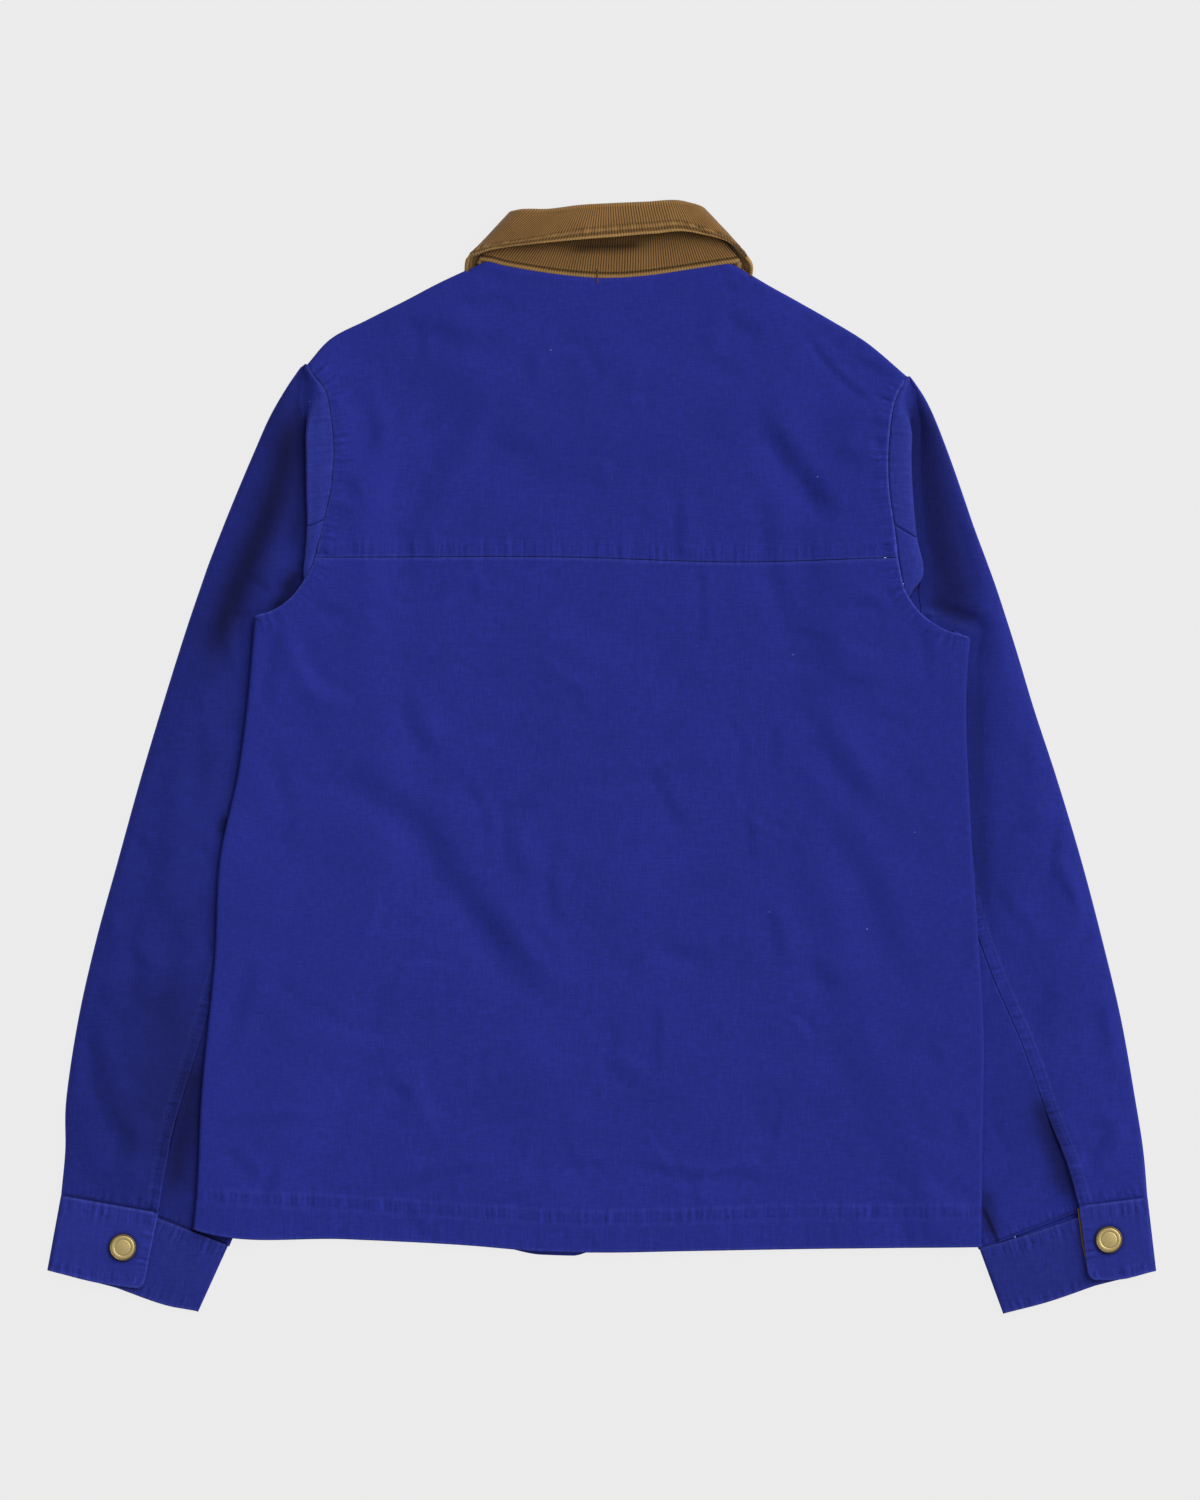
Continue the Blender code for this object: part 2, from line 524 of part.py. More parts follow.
def make_front(name, side, mat):
    """A front: shoulder seam, neckline, centre edge, hem, side seam and armhole."""
    over = side < 0
    shoulder = SHOULDER_LEFT if over else SHOULDER_RIGHT[::-1]
    cap = CAP_LEFT if over else CAP_RIGHT
    body_edge = SIDE_LEFT if over else SIDE_RIGHT
    neckline = FRONT_NECKLINE if over else FRONT_NECKLINE[::-1]
    centre = OVERLAP_LEFT_X if over else OVERLAP_RIGHT_X
    inward = -side
    shoulder_line = along(shoulder, np.linspace(0, 1, BODY_COLUMNS[0] + 1))
    shoulder_line -= normals_of(shoulder_line) * inward * (SHOULDER_WRAP + FOLD_ALLOWANCE + SEAM_GAP)
    edge_x = PLACKET_COLUMNS if over else [centre]
    edge_y = np.interp(edge_x, [x for x, y in FRONT_NECKLINE], [y for x, y in FRONT_NECKLINE])
    neck = [p for p in neckline if (edge_x[0] - p[0]) * inward > 8] + [(edge_x[0], edge_y[0])]
    neck_line = along(neck, np.linspace(0, 1, FRONT_NECK_COLUMNS + 2 - len(edge_x)))
    neck_line = np.concatenate([neck_line[:-1], np.stack([edge_x, edge_y], axis=1)])
    armhole = np.array([front_armhole(cap, step) for step in FRONT_CAP_STEPS])
    armhole[:, 0] += inward * SEAM_GAP
    shoulder_line[0] = armhole[0]
    top = np.concatenate([shoulder_line[:-1], neck_line])
    seam = along(body_edge, np.linspace(0, 1, FRONT_SIDE_ROWS + 1))
    seam[:, 0] += inward * (SIDE_WRAP + FOLD_ALLOWANCE + SEAM_GAP)
    outer = np.concatenate([armhole, seam])
    bottom_start = outer[-1]
    free_x = np.linspace(bottom_start[0], edge_x[0], len(top) + 1 - len(edge_x))
    hem_x = np.concatenate([free_x, edge_x[1:]])
    hem = np.stack([hem_x, np.zeros(len(top))], axis=1)
    hem_line = along(HEM, np.linspace(0, 1, 60))
    hem[:, 1] = np.interp(hem[:, 0], hem_line[:, 0], hem_line[:, 1]) + FRONT_HEM_RISE
    if over:
        starts = smoothstep((hem[:, 0] - PLACKET_FROM) / 30)
        ends = smoothstep((hem[:, 0] - OVERLAP_RIGHT_X) / 14)
        hem[:, 1] -= PLACKET_PEEK * starts * (1 - ends)
    outer[-1] = hem[0]
    inner = np.stack([np.full(len(outer), centre), np.linspace(top[-1, 1], hem[-1, 1], len(outer))], axis=1)
    plan = patch(top, hem, outer, inner)
    grid = raise_plan(plan, lambda x, y: front_height(x, y, over))
    if not over:
        grid = grid[:, ::-1]
    return cloth(name, grid, CANVAS, mat)


# ---------------------------------------------------------------- sleeves
class Sleeve:
    """Lines of one sleeve, each read at a station number."""

    def __init__(self, side, cap, arm, lap_z, back_line):
        self.side = side
        self.lap_z = lap_z
        self.cap = cap
        self.cap_knots = np.arange(len(cap))
        self.arm_knots = np.arange(CAP_STATIONS, CAP_STATIONS + 1 + len(arm))
        self.seam = pairs(cap, "seam")
        self.fold = pairs(cap, "fold")
        self.rim = np.concatenate([pairs(cap, "rim"), pairs(arm, "rim")])
        tuck_end = self.fold[-1] - [side * 2.0, 0.0]
        self.back_seam = np.concatenate([[tuck_end], pairs(arm, "seam")])
        deep_end = self.fold[-1] - [side * self.tuck(CAP_STATIONS), 0.0]
        self.inner = np.concatenate([[deep_end], pairs(arm, "inner")])
        self.body_edge = np.asarray(back_line, dtype=float)

    def tuck(self, station):
        """How far the cloth is tucked in below the fold beside the armhole."""
        return TUCK_AT_TOP + TUCK_GROWTH * np.clip(station, 0, CAP_STATIONS)

    def cap_line(self, values, station):
        """A line of the cap at a station."""
        return hermite(values, self.cap_knots, min(station, CAP_STATIONS))[0]

    def arm_line(self, values, station):
        """A line of the arm at a station."""
        return hermite(values, self.arm_knots, station)[0]

    def rim_at(self, station):
        """Outer rim in plan."""
        return hermite(self.rim, np.arange(len(self.rim)), station)[0]

    def seam_at(self, station):
        """Back seam in plan, below the cap's upper part."""
        if station <= CAP_STATIONS:
            hidden = self.tuck(station) + 2.0
            shown = float(smoothstep((station - SEAM_AT_ARMHOLE) / 0.5))
            return self.cap_line(self.fold, station) - [self.side * (hidden + (2.0 - hidden) * shown), 0.0]
        return self.arm_line(self.back_seam, station)

    def inner_at(self, station):
        """Inner edge in plan, below the body."""
        if station <= CAP_STATIONS:
            return self.cap_line(self.fold, station) - [self.side * self.tuck(station), 0.0]
        return self.arm_line(self.inner, station)

    def front_at(self, station):
        """Front end of the upper sleeve: the front armhole, then the front seam."""
        inner, rim = self.arm_line(self.inner, max(station, CAP_STATIONS)), self.rim_at(station)
        seam = inner + (rim - inner) * FRONT_SEAM_SHARE
        armhole = front_armhole(self.cap, station)
        share = float(smoothstep((station - 5.5) / 3.0))
        return armhole * (1 - share) + seam * share

    def edge_reach(self, point):
        """Distance of a place in plan outward from the body's edge."""
        edge_x = np.interp(-point[1], -self.body_edge[:, 1], self.body_edge[:, 0])
        return (point[0] - edge_x) * self.side

    def top_z(self, point, station):
        """Upper layer's middle surface at a place in plan."""
        rim = self.rim_at(station)
        reach, width = self.edge_reach(point) - CLEAR_OF_EDGE, self.edge_reach(rim) - CLEAR_OF_EDGE
        share = float(np.clip(reach / max(width, 1.0), 0.0, 1.0))
        foot = TUCK_FOOT_Z + (SLEEVE_TOP_Z - TUCK_FOOT_Z) * float(smoothstep((station - 6.0) / 1.5))
        near_cuff = cuff_share(station)
        puff = SLEEVE_PUFF * math.sin(math.pi * share**1.15)**0.8 * float(smoothstep(station / 2.0))
        swell = (foot + (SLEEVE_RIM_Z - foot) * share + puff)
        return swell * (1 - near_cuff) + self.lap_z * near_cuff


def cuff_share(station):
    """How far a sleeve has come to the cuff's heights at a station, from 0 to 1."""
    return float(smoothstep((station - CUFF_EASE) / (CUFF_STATION - CUFF_EASE)))


def rim_radius(sleeve, station):
    """Radius of the fold at the sleeve's outer rim."""
    near_cuff = cuff_share(station)
    top = SLEEVE_RIM_Z * (1 - near_cuff) + sleeve.lap_z * near_cuff
    return (top - SLEEVE_BOTTOM_Z) / 2


def tuck_points(sleeve, station):
    """Strip beside the armhole, fold, and the tuck below it, at one station."""
    seam = sleeve.cap_line(sleeve.seam, station)
    fold = sleeve.cap_line(sleeve.fold, station)
    side = sleeve.side
    seam = seam + [side * SEAM_GAP / 2, 0.0]
    high = float(back_z(seam[0:1], seam[1:2])[0])
    low = TUCK_FOOT_Z
    middle = (high + low) / 2
    upper, lower = (high - middle) / 2, (middle - low) / 2
    crown = fold - [side * (upper + CANVAS / 2), 0.0]
    inner = crown - [side * sleeve.tuck(station), 0.0]
    points = [(*seam, high), (*((seam + crown) / 2), high), (*crown, high)]
    for angle in np.linspace(90, -90, ARC_CELLS + 1)[1:]:
        turn = math.radians(angle)
        points.append((crown[0] + side * upper * math.cos(turn), crown[1],
                       high - upper + upper * math.sin(turn)))
    points.append((*inner, middle))
    for angle in np.linspace(90, -90, ARC_CELLS + 1)[1:]:
        turn = math.radians(angle)
        points.append((inner[0] - side * lower * math.cos(turn), inner[1],
                       middle - lower + lower * math.sin(turn)))
    return points


def vent(station):
    """How far the vent has opened at a station: 0 closed, 1 open."""
    return float(smoothstep((station - VENT_START) / 0.8))


def upper_row(sleeve, station):
    """One row of the upper sleeve, from its inner end over the rim to its front end."""
    side = sleeve.side
    if station <= SEAM_AT_ARMHOLE:
        points = tuck_points(sleeve, station)
        start = np.array(points[-1][:2])
    else:
        start = sleeve.seam_at(station)
        start = start + [side * SEAM_GAP / 2, 0.0]
        edge = (*start, sleeve.top_z(start, station) + VENT_STEP * vent(station))
        points = [edge] * (2 * ARC_CELLS + 4)
    radius = rim_radius(sleeve, station)
    rim = sleeve.rim_at(station) - [side * (radius + CANVAS / 2), 0.0]
    for share in np.linspace(0, 1, TOP_CELLS + 1)[1:]:
        place = start + (rim - start) * share
        z = sleeve.top_z(place, station) if share < 1 else SLEEVE_BOTTOM_Z + 2 * radius
        fade = (1 - share)**3
        z += fade * (points[-1][2] - z) if len(points) == 2 * ARC_CELLS + 4 else 0.0
        points.append((*place, z))
    for angle in np.linspace(90, -90, ARC_CELLS + 1)[1:]:
        turn = math.radians(angle)
        points.append((rim[0] + side * radius * math.cos(turn), rim[1],
                       SLEEVE_BOTTOM_Z + radius + radius * math.sin(turn)))
    finish = sleeve.front_at(station)
    armhole_z = float(front_z(finish[0:1], finish[1:2])[0])
    climb = (armhole_z - SLEEVE_BOTTOM_Z) * (1 - float(smoothstep((station - 4.8) / 1.0)))
    for share in np.linspace(0, 1, BOTTOM_CELLS + 1)[1:]:
        place = rim + (finish - rim) * share
        points.append((*place, SLEEVE_BOTTOM_Z + climb * float(smoothstep((share - 0.45) / 0.55))))
    return np.array(points)


def make_upper_sleeve(name, sleeve, mat):
    """Upper sleeve from the top of the armhole to the cuff."""
    stations = np.array(UPPER_CAP_STEPS + [SEAM_AT_ARMHOLE - HALF_GAP_STATION] + LOWER_CAP_STEPS + ARM_STEPS)
    grid = np.array([upper_row(sleeve, station) for station in stations])
    if sleeve.side > 0:
        grid = grid[:, ::-1]
    keep = np.ones((grid.shape[0] - 1, grid.shape[1] - 1), dtype=bool)
    tucked = 2 * ARC_CELLS + 3
    armhole_rows = np.count_nonzero(stations <= SEAM_AT_ARMHOLE) - 1
    if sleeve.side > 0:
        keep[armhole_rows:, -tucked:] = False
    else:
        keep[armhole_rows:, :tucked] = False
    return cloth(name, grid, CANVAS, mat, keep)


def under_row(sleeve, station):
    """One row of the under sleeve, to the back seam at its end."""
    side = sleeve.side
    seam = sleeve.seam_at(station) - [side * SEAM_GAP / 2, 0.0]
    opened = vent(station)
    lap = VENT_LAP * float(smoothstep((station - VENT_START - 0.9) / 0.6))
    if station <= CAP_STATIONS:
        points = tuck_points(sleeve, station)
        start = np.array(points[-1][:2])
        start_z = points[-1][2]
    else:
        inner = sleeve.inner_at(station)
        top = SLEEVE_TOP_Z + 0.6 * float(smoothstep((station - 15.0) / 1.0))
        radius = (top - SLEEVE_BOTTOM_Z) / 2
        start = inner + [side * (radius + CANVAS / 2), 0.0]
        front = sleeve.front_at(station) - [side * SEAM_GAP, 0.0]
        points = []
        flat_cells = ARC_CELLS + 3
        for share in np.linspace(0, 1, flat_cells + 1):
            points.append((*(front + (start - front) * share), SLEEVE_BOTTOM_Z))
        for angle in np.linspace(-90, 90, ARC_CELLS + 1)[1:]:
            turn = math.radians(angle)
            points.append((start[0] - side * radius * math.cos(turn), start[1],
                           SLEEVE_BOTTOM_Z + radius + radius * math.sin(turn)))
        start_z = top
    cells = 4
    for share in np.linspace(0, 1, cells + 1)[1:]:
        place = start + (seam - start) * share
        z = start_z
        if station > CAP_STATIONS:
            z = max(sleeve.top_z(place, station) - VENT_STEP * opened, SLEEVE_TOP_Z)
        near_cuff = cuff_share(station)
        z = z * (1 - near_cuff) + UNDER_AT_CUFF_Z * near_cuff
        points.append((*(place + [side * lap * share, 0.0]), z))
    return np.array(points)


def make_under_sleeve(name, sleeve, mat):
    """Under sleeve: its strip beside the lower armhole, and the tube's inner part below the body."""
    stations = np.array([SEAM_AT_ARMHOLE + HALF_GAP_STATION] + LOWER_CAP_STEPS + ARM_STEPS)
    grid = np.array([under_row(sleeve, station) for station in stations])
    keep = np.ones((grid.shape[0] - 1, grid.shape[1] - 1), dtype=bool)
    cap_rows = np.count_nonzero(stations <= CAP_STATIONS)
    tucked = 2 * ARC_CELLS + 3
    keep[cap_rows - 1, :tucked] = False
    keep[0, tucked - 1:] = False
    if sleeve.side > 0:
        grid, keep = grid[:, ::-1], keep[:, ::-1]
    return cloth(name, grid, CANVAS, mat, keep)


# ---------------------------------------------------------------- cuffs
def cuff_points(table, rows):
    """A cuff's middle surface: its rows go down from the sleeve, its columns round the loop."""
    lap = [0, 1, 2]
    table_side = [3, 4, 5]
    below = [6, 7, 8]
    top = pairs(table, "top")
    end = pairs(table, "end")
    z = column(table, "z")
    ends = np.concatenate([top, end, z[:, None]], axis=1)
    stretches = []
    for numbers, cells in ((lap, 6), (table_side, 6), (below, 5)):
        stretches.append(hermite(ends[numbers], np.arange(3), np.linspace(0, 2, cells + 1)))
    line = []
    for number, stretch in enumerate(stretches):
        line.extend(stretch)
        if number < 2:
            line.extend(loop_turn(stretch[-1], stretches[number + 1][0], stretch[-2]))
    line = np.array(line)
    line[:, 4] = np.maximum(line[:, 4], CUFF_WALL / 2)
    grid = []
    for share in rows:
        plan = line[:, 0:2] * (1 - share) + line[:, 2:4] * share
        grid.append(np.concatenate([plan, line[:, 4:5]], axis=1))
    return np.array(grid)


def loop_turn(high, low, before):
    """Points round the fold between two layers of a cuff, at both of its borders."""
    radius = abs(high[4] - low[4]) / 2
    middle = (high[4] + low[4]) / 2
    sign = np.sign(high[4] - low[4])
    out_top = (high[0:2] - before[0:2]) / np.linalg.norm(high[0:2] - before[0:2])
    out_end = (high[2:4] - before[2:4]) / np.linalg.norm(high[2:4] - before[2:4])
    points = []
    for angle in np.linspace(90, -90, ARC_CELLS + 2)[1:-1]:
        out = radius * math.cos(math.radians(angle))
        z = middle + sign * radius * math.sin(math.radians(angle))
        points.append(np.concatenate([high[0:2] + out_top * out, high[2:4] + out_end * out, [z]]))
    return points


def inset_cuff(table):
    """The cuff's table with both turned edges drawn in, so that the wall's outside is the outline."""
    rows = list(table)
    for high, low, before in ((2, 3, 1), (5, 6, 4)):
        radius = abs(rows[high].z - rows[low].z) / 2 + CUFF_WALL / 2
        out = np.array([rows[high].top_x - rows[before].top_x, rows[high].top_y - rows[before].top_y])
        out = out / np.linalg.norm(out) * radius
        for number in (high, low):
            row = rows[number]
            rows[number] = row._replace(top_x=row.top_x - out[0], top_y=row.top_y - out[1],
                                        end_x=row.end_x - out[0], end_y=row.end_y - out[1])
    return rows


def round_lap(grid, rows, table):
    """Round the lap's free corner by drawing in the lower rows of its first columns."""
    length = np.linalg.norm(grid[-1, 0, :2] - grid[0, 0, :2])
    inward = np.array([table[1].end_x - table[0].end_x, table[1].end_y - table[0].end_y])
    inward /= np.linalg.norm(inward)
    for number, share in enumerate(rows):
        left = (1 - share) * length
        if left < CUFF_CORNER:
            drawn = CUFF_CORNER - math.sqrt(max(CUFF_CORNER**2 - (CUFF_CORNER - left)**2, 0.0))
            grid[number, 0, :2] += inward * drawn
            grid[number, 1, :2] += inward * drawn * 0.25
    return grid


def make_cuff(name, table, mat):
    """A cuff band, looped round with its lap on top."""
    turned = inset_cuff(table)
    grid = round_lap(cuff_points(turned, CUFF_ROWS), CUFF_ROWS, turned)
    if table[0].top_x > 0:
        grid = grid[:, ::-1]
    return cloth(name, grid[:, ::-1], CUFF_WALL, mat)


def make_facing(mat):
    """Brown facing below the right cuff's lap; it stands a little proud of the lap's edge."""
    start, middle = CUFF_RIGHT[0], CUFF_RIGHT[1]
    top, end = np.array([start.top_x, start.top_y]), np.array([start.end_x, start.end_y])
    across = np.array([middle.top_x, middle.top_y]) - top
    across /= np.linalg.norm(across)
    grid = []
    for share in (0.03, 0.35, 0.7, 0.9, 1.004):
        edge = top + (end - top) * share
        drawn = 5.0 * smoothstep((share - 0.86) / 0.16)
        grid.append([(*(edge + across * (reach + drawn)), FACING_Z)
                     for reach in (-FACING_PROUD, 2.0, FACING_REACH / 2, FACING_REACH)])
    return cloth("cuff_facing_right", np.array(grid), FACING_WALL, mat)


def make_snap(name, place, base_z, mat):
    """A snap cap: a turned dome with a rolled rim."""
    sides = SNAP_SIDES
    points = [(0, 0, SNAP_HEIGHT)]
    for share, height in SNAP_PROFILE:
        for number in range(sides):
            turn = 2 * math.pi * number / sides
            radius = SNAP_RADIUS * share
            points.append((radius * math.cos(turn), radius * math.sin(turn), SNAP_HEIGHT * height))
    faces = [(0, 1 + number, 1 + (number + 1) % sides) for number in range(sides)]
    for ring in range(len(SNAP_PROFILE) - 1):
        first = 1 + ring * sides
        for number in range(sides):
            after = (number + 1) % sides
            faces.append((first + number, first + sides + number, first + sides + after, first + after))
    last = 1 + (len(SNAP_PROFILE) - 1) * sides
    faces.append(tuple(last + number for number in reversed(range(sides))))
    mesh = bpy.data.meshes.new(name)
    mesh.from_pydata([tuple(value * MM for value in point) for point in points], [], faces)
    mesh.materials.append(mat)
    mesh.shade_smooth()
    mesh.set_sharp_from_angle(angle=math.radians(35))
    obj = bpy.data.objects.new(name, mesh)
    obj.location = (place[0] * MM, place[1] * MM, base_z * MM)
    bpy.context.scene.collection.objects.link(obj)
    return obj


# ---------------------------------------------------------------- collar
def collar_lines():
    """The collar's neck, roll and edge lines with the fall's turn and radius, round the ring."""
    values = np.array([list(row) for row in COLLAR], dtype=float)
    steps = np.linalg.norm(np.diff(values[:, 3:6], axis=0), axis=1) + 4.0
    knots = np.concatenate([[0.0], np.cumsum(steps)]) / steps.sum()
    at = np.interp(np.linspace(0, len(knots) - 1, COLLAR_COLUMNS + 1), np.arange(len(knots)), knots)
    return hermite(values, knots, at)


def make_stand(mat):
    """Stand: from the neck seam to just below the roll."""
    lines = collar_lines()
    neck, roll = lines[:, 0:3], lines[:, 3:6]
    grid = np.array([neck + (roll - neck) * share for share in (0.0, 0.35, 0.7, 1.0)])
    return cloth("collar_stand", grid[::-1], STAND_WALL, mat)


def make_fall(mat):
    """Fall: rolls over the stand's top and comes down outside it to its free edge."""
    lines = collar_lines()
    tangents = np.gradient(lines[:, 3:6], axis=0)
    tangents /= np.linalg.norm(tangents, axis=1, keepdims=True)
    columns = []
    for row, tangent in zip(lines, tangents):
        neck, roll, edge, turn, radius = row[0:3], row[3:6], row[6:9], math.radians(row[9]), row[10]
        up = roll - neck
        up[2] *= 0.3
        up /= np.linalg.norm(up)
        outward = np.array([-up[1], up[0], 0.0]) * (-1 if roll[0] > 6 else 1)
        outward /= np.linalg.norm(outward)
        normal = math.cos(turn) * np.array([0, 0, 1.0]) + math.sin(turn) * outward
        gap = ROLL_GAP / max(np.linalg.norm(np.cross(tangent, up)), 0.3)
        run = gap + ROLL_RUN
        points = [roll + up * gap, roll + up * run]
        for angle in (45, 90, 135, 180):
            swing = math.radians(angle)
            rise = up * (run + radius * math.sin(swing))
            points.append(roll + rise + normal * radius * (1 - math.cos(swing)))
        top = points[-1]
        bulge = normal * FALL_SWELL * max(0.0, math.cos(turn))
        for share in (0.33, 0.67, 1.0):
            points.append(top + (edge - top) * share + bulge * math.sin(math.pi * share))
        columns.append(points)
    grid = np.array(columns).swapaxes(0, 1)
    grid[..., 2] = np.maximum(grid[..., 2], FALL_WALL / 2)
    return cloth("collar_fall", grid[::-1], FALL_WALL, mat)


# ---------------------------------------------------------------- the jacket
def clear_scene():
    """Remove the objects that a new file starts with."""
    for obj in list(bpy.data.objects):
        bpy.data.objects.remove(obj, do_unlink=True)


def main():
    """Build every piece."""
    clear_scene()
    blue = material("cotton_canvas_blue", (0.020, 0.028, 0.225), 0.85)
    cord = material("cotton_corduroy_brown", (0.195, 0.102, 0.038), 0.9)
    brass = material("brass_antique", (0.41, 0.31, 0.13), 0.38, 1.0)
    make_yoke(blue)
    make_back(blue)
    make_front("front_left", -1, blue)
    make_front("front_right", 1, blue)
    left = Sleeve(-1, CAP_LEFT, ARM_LEFT, CUFF_LEFT[0].z, EDGE_LEFT)
    right = Sleeve(1, CAP_RIGHT, ARM_RIGHT, CUFF_RIGHT[0].z, EDGE_RIGHT)
    make_upper_sleeve("sleeve_upper_left", left, blue)
    make_upper_sleeve("sleeve_upper_right", right, blue)
    make_under_sleeve("sleeve_under_left", left, blue)
    make_under_sleeve("sleeve_under_right", right, blue)
    make_cuff("cuff_left", CUFF_LEFT, blue)
    make_cuff("cuff_right", CUFF_RIGHT, blue)
    make_facing(cord)
    make_stand(cord)
    make_fall(cord)
    make_snap("snap_left", SNAP_LEFT, CUFF_LEFT[0].z + CUFF_WALL / 2 + SEAM_GAP, brass)
    make_snap("snap_right", SNAP_RIGHT, CUFF_RIGHT[0].z + CUFF_WALL / 2 + SEAM_GAP, brass)


main()
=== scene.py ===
# %% [markdown]
# # A barn jacket laid flat, its back up
# The real jacket is cotton canvas with a corduroy collar, spread on a table and seen from straight
# above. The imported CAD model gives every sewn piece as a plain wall. This script makes each piece
# again as a fine sheet of cloth with its creases, puckers, stitches and weave, in the same frame.
# Sizes and tables are in millimetres, and places read off the photograph are in its pixels.

# %% The frame
import math
from collections import namedtuple

import bpy
import numpy as np
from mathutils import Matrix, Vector
from mathutils.bvhtree import BVHTree


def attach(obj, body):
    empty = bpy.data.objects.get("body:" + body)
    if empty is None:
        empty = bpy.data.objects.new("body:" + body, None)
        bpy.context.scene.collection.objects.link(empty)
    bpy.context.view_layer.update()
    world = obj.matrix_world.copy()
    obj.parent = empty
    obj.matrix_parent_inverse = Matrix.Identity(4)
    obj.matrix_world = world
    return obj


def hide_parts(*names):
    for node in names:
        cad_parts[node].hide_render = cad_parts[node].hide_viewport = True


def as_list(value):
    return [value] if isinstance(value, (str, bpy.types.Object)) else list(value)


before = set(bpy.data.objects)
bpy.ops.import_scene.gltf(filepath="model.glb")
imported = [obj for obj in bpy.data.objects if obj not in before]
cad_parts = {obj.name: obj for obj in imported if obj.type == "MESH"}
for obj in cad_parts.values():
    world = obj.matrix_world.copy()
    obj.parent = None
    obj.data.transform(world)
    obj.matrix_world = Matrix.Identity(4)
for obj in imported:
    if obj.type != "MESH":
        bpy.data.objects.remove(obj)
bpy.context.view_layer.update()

# %% [markdown]
# ## Sizes of the sewn pieces
# A maker works from a size chart: cloth weights, seam lines and how far each edge turns under.
# These are the same named sizes and tables as the CAD source's, so that each sheet of cloth lies on
# its solid. A table keeps one row for each place on a seam, which is easy to compare with a tape
# measure, and the smooth lines between the rows are worked out by functions further down.

# %% Named sizes
MM = 0.001
PHOTO_SCALE = 0.66                  # millimetres for each pixel of the photograph
PHOTO_CENTRE = (600.5, 757.5)       # its pixel above the frame's origin
CANVAS = 1.2                        # walls, each with its turned seams
CUFF_WALL = 1.6
FACING_WALL = 1.0
STAND_WALL = 1.8
FALL_WALL = 2.2
SEAM_GAP = 0.3                      # between two pieces at their seam
FRONT_Z = 0.6                       # heights of the middle of the cloth above the table
BACK_Z = 4.1
SLEEVE_BOTTOM_Z = 0.6
SLEEVE_TOP_Z = 2.1
SLEEVE_RIM_Z = 2.7
TUCK_FOOT_Z = 2.2
SLEEVE_PUFF = 2.6                   # swell of a sleeve's upper layer between its two edges
CLEAR_OF_EDGE = 6.0                 # it begins this far outside the body's edge
SIDE_WRAP = 10.0                    # cloth turned under at the sides
SHOULDER_WRAP = 14.0                # and over the shoulders
FOLD_ALLOWANCE = 2.9                # from the outline to the centre of its fold
FRONT_ARMHOLE_SCOOP = 9.0
OVERLAP_LEFT_X = 8.0                # centre edges of the two fronts
OVERLAP_RIGHT_X = -18.0
PLACKET_RAMP = 13.0                 # where one front climbs over the other
PLACKET_LIFT = 1.6
SNAP_RADIUS = 8.9
SNAP_HEIGHT = 2.6

print("canvas", CANVAS, "mm thick; each pixel of the photograph is", PHOTO_SCALE, "mm")

# %% Outline of the body
Lift = namedtuple("Lift", "y front back full")
Station = namedtuple("Station", "seam_x seam_y fold_x fold_y rim_x rim_y")
Tube = namedtuple("Tube", "rim_x rim_y seam_x seam_y inner_x inner_y")
Band = namedtuple("Band", "top_x top_y end_x end_y z")
Ring = namedtuple("Ring", "neck_x neck_y neck_z roll_x roll_y roll_z edge_x edge_y edge_z turn radius")
Fold = namedtuple("Fold", "x0 y0 x1 y1 x2 y2 width depth")

NECK_SEAM = [(-82.5, 324.5), (-76, 327), (-63, 324.4), (-25, 318.5), (0, 316.5), (27, 317.8), (74, 324.4),
             (86, 325.5), (93.5, 322)]
SHOULDER_LEFT = [(-194, 259), (-180, 275), (-154, 289), (-128, 302), (-108, 312.5), (-82.5, 324.5)]
SHOULDER_RIGHT = [(93.5, 322), (110, 312), (128, 302), (151, 289), (174, 275), (202.5, 251)]
ARMPIT_LEFT = [(-205, 105), (-217.5, 96.7), (-228.7, 93.4)]     # the armhole's lowest stretch
ARMPIT_RIGHT = [(205, 103), (214, 92.7), (228, 84), (243.2, 79.5)]
YOKE_SEAM = [(-132, 132.3), (-27, 132.3), (92, 129)]       # between the two armholes
SIDE_LEFT = [(-228.4, 91), (-233.3, 36), (-238.6, -5.6), (-251.8, -70.3), (-254.4, -125),
             (-263.7, -224.7), (-267, -290.7), (-269, -311.5)]
SIDE_RIGHT = [(244, 79), (242, 57.8), (244, -41.3), (248.5, -110.6), (252.5, -180), (251.8, -253.8),
              (251, -323)]
HEM = [(-269, -311.5), (-257.7, -314.5), (-168, -317.8), (-89.4, -321.8), (-36.6, -326), (7.6, -326.6),
       (55, -325.7), (127, -324.4), (251, -323)]
FRONT_NECKLINE = [(-75.3, 309.3), (-73.5, 292), (-60, 266), (-35, 252), (-5, 248), (30, 252), (58, 264),
                  (80, 288), (84.6, 307.4)]

# How high the sleeves tucked below the body lift the front and the back, from `full` millimetres
# off the centre line outward.
LIFTS = [
    Lift(330, 0, 0, 205),
    Lift(262, 1.2, 1.8, 195),
    Lift(225, 2.2, 3, 172),
    Lift(150, 2.8, 3.4, 160),
    Lift(110, 3, 3.2, 158),
    Lift(71, 3, 2.5, 160),
    Lift(18, 3, 2, 150),
    Lift(-41, 3, 2, 148),
    Lift(-97, 3, 2, 156),
    Lift(-155, 3, 2, 174),
    Lift(-211, 3, 2, 191),
    Lift(-263, 3.1, 2.1, 210),
    Lift(-293, 3.7, 2.6, 222),
    Lift(-330, 3.8, 2.7, 234),
]
LIFT_RAMP = 34.0
NECK_CENTRE = (5.0, 300.0)      # the collar's front leaf lies below the fronts round this place
NECK_REACH = (118.0, 92.0)      # half width and half height of the patch that it lifts
NECK_FRONT_LIFT = 2.6
NECK_BACK_LIFT = 3.1

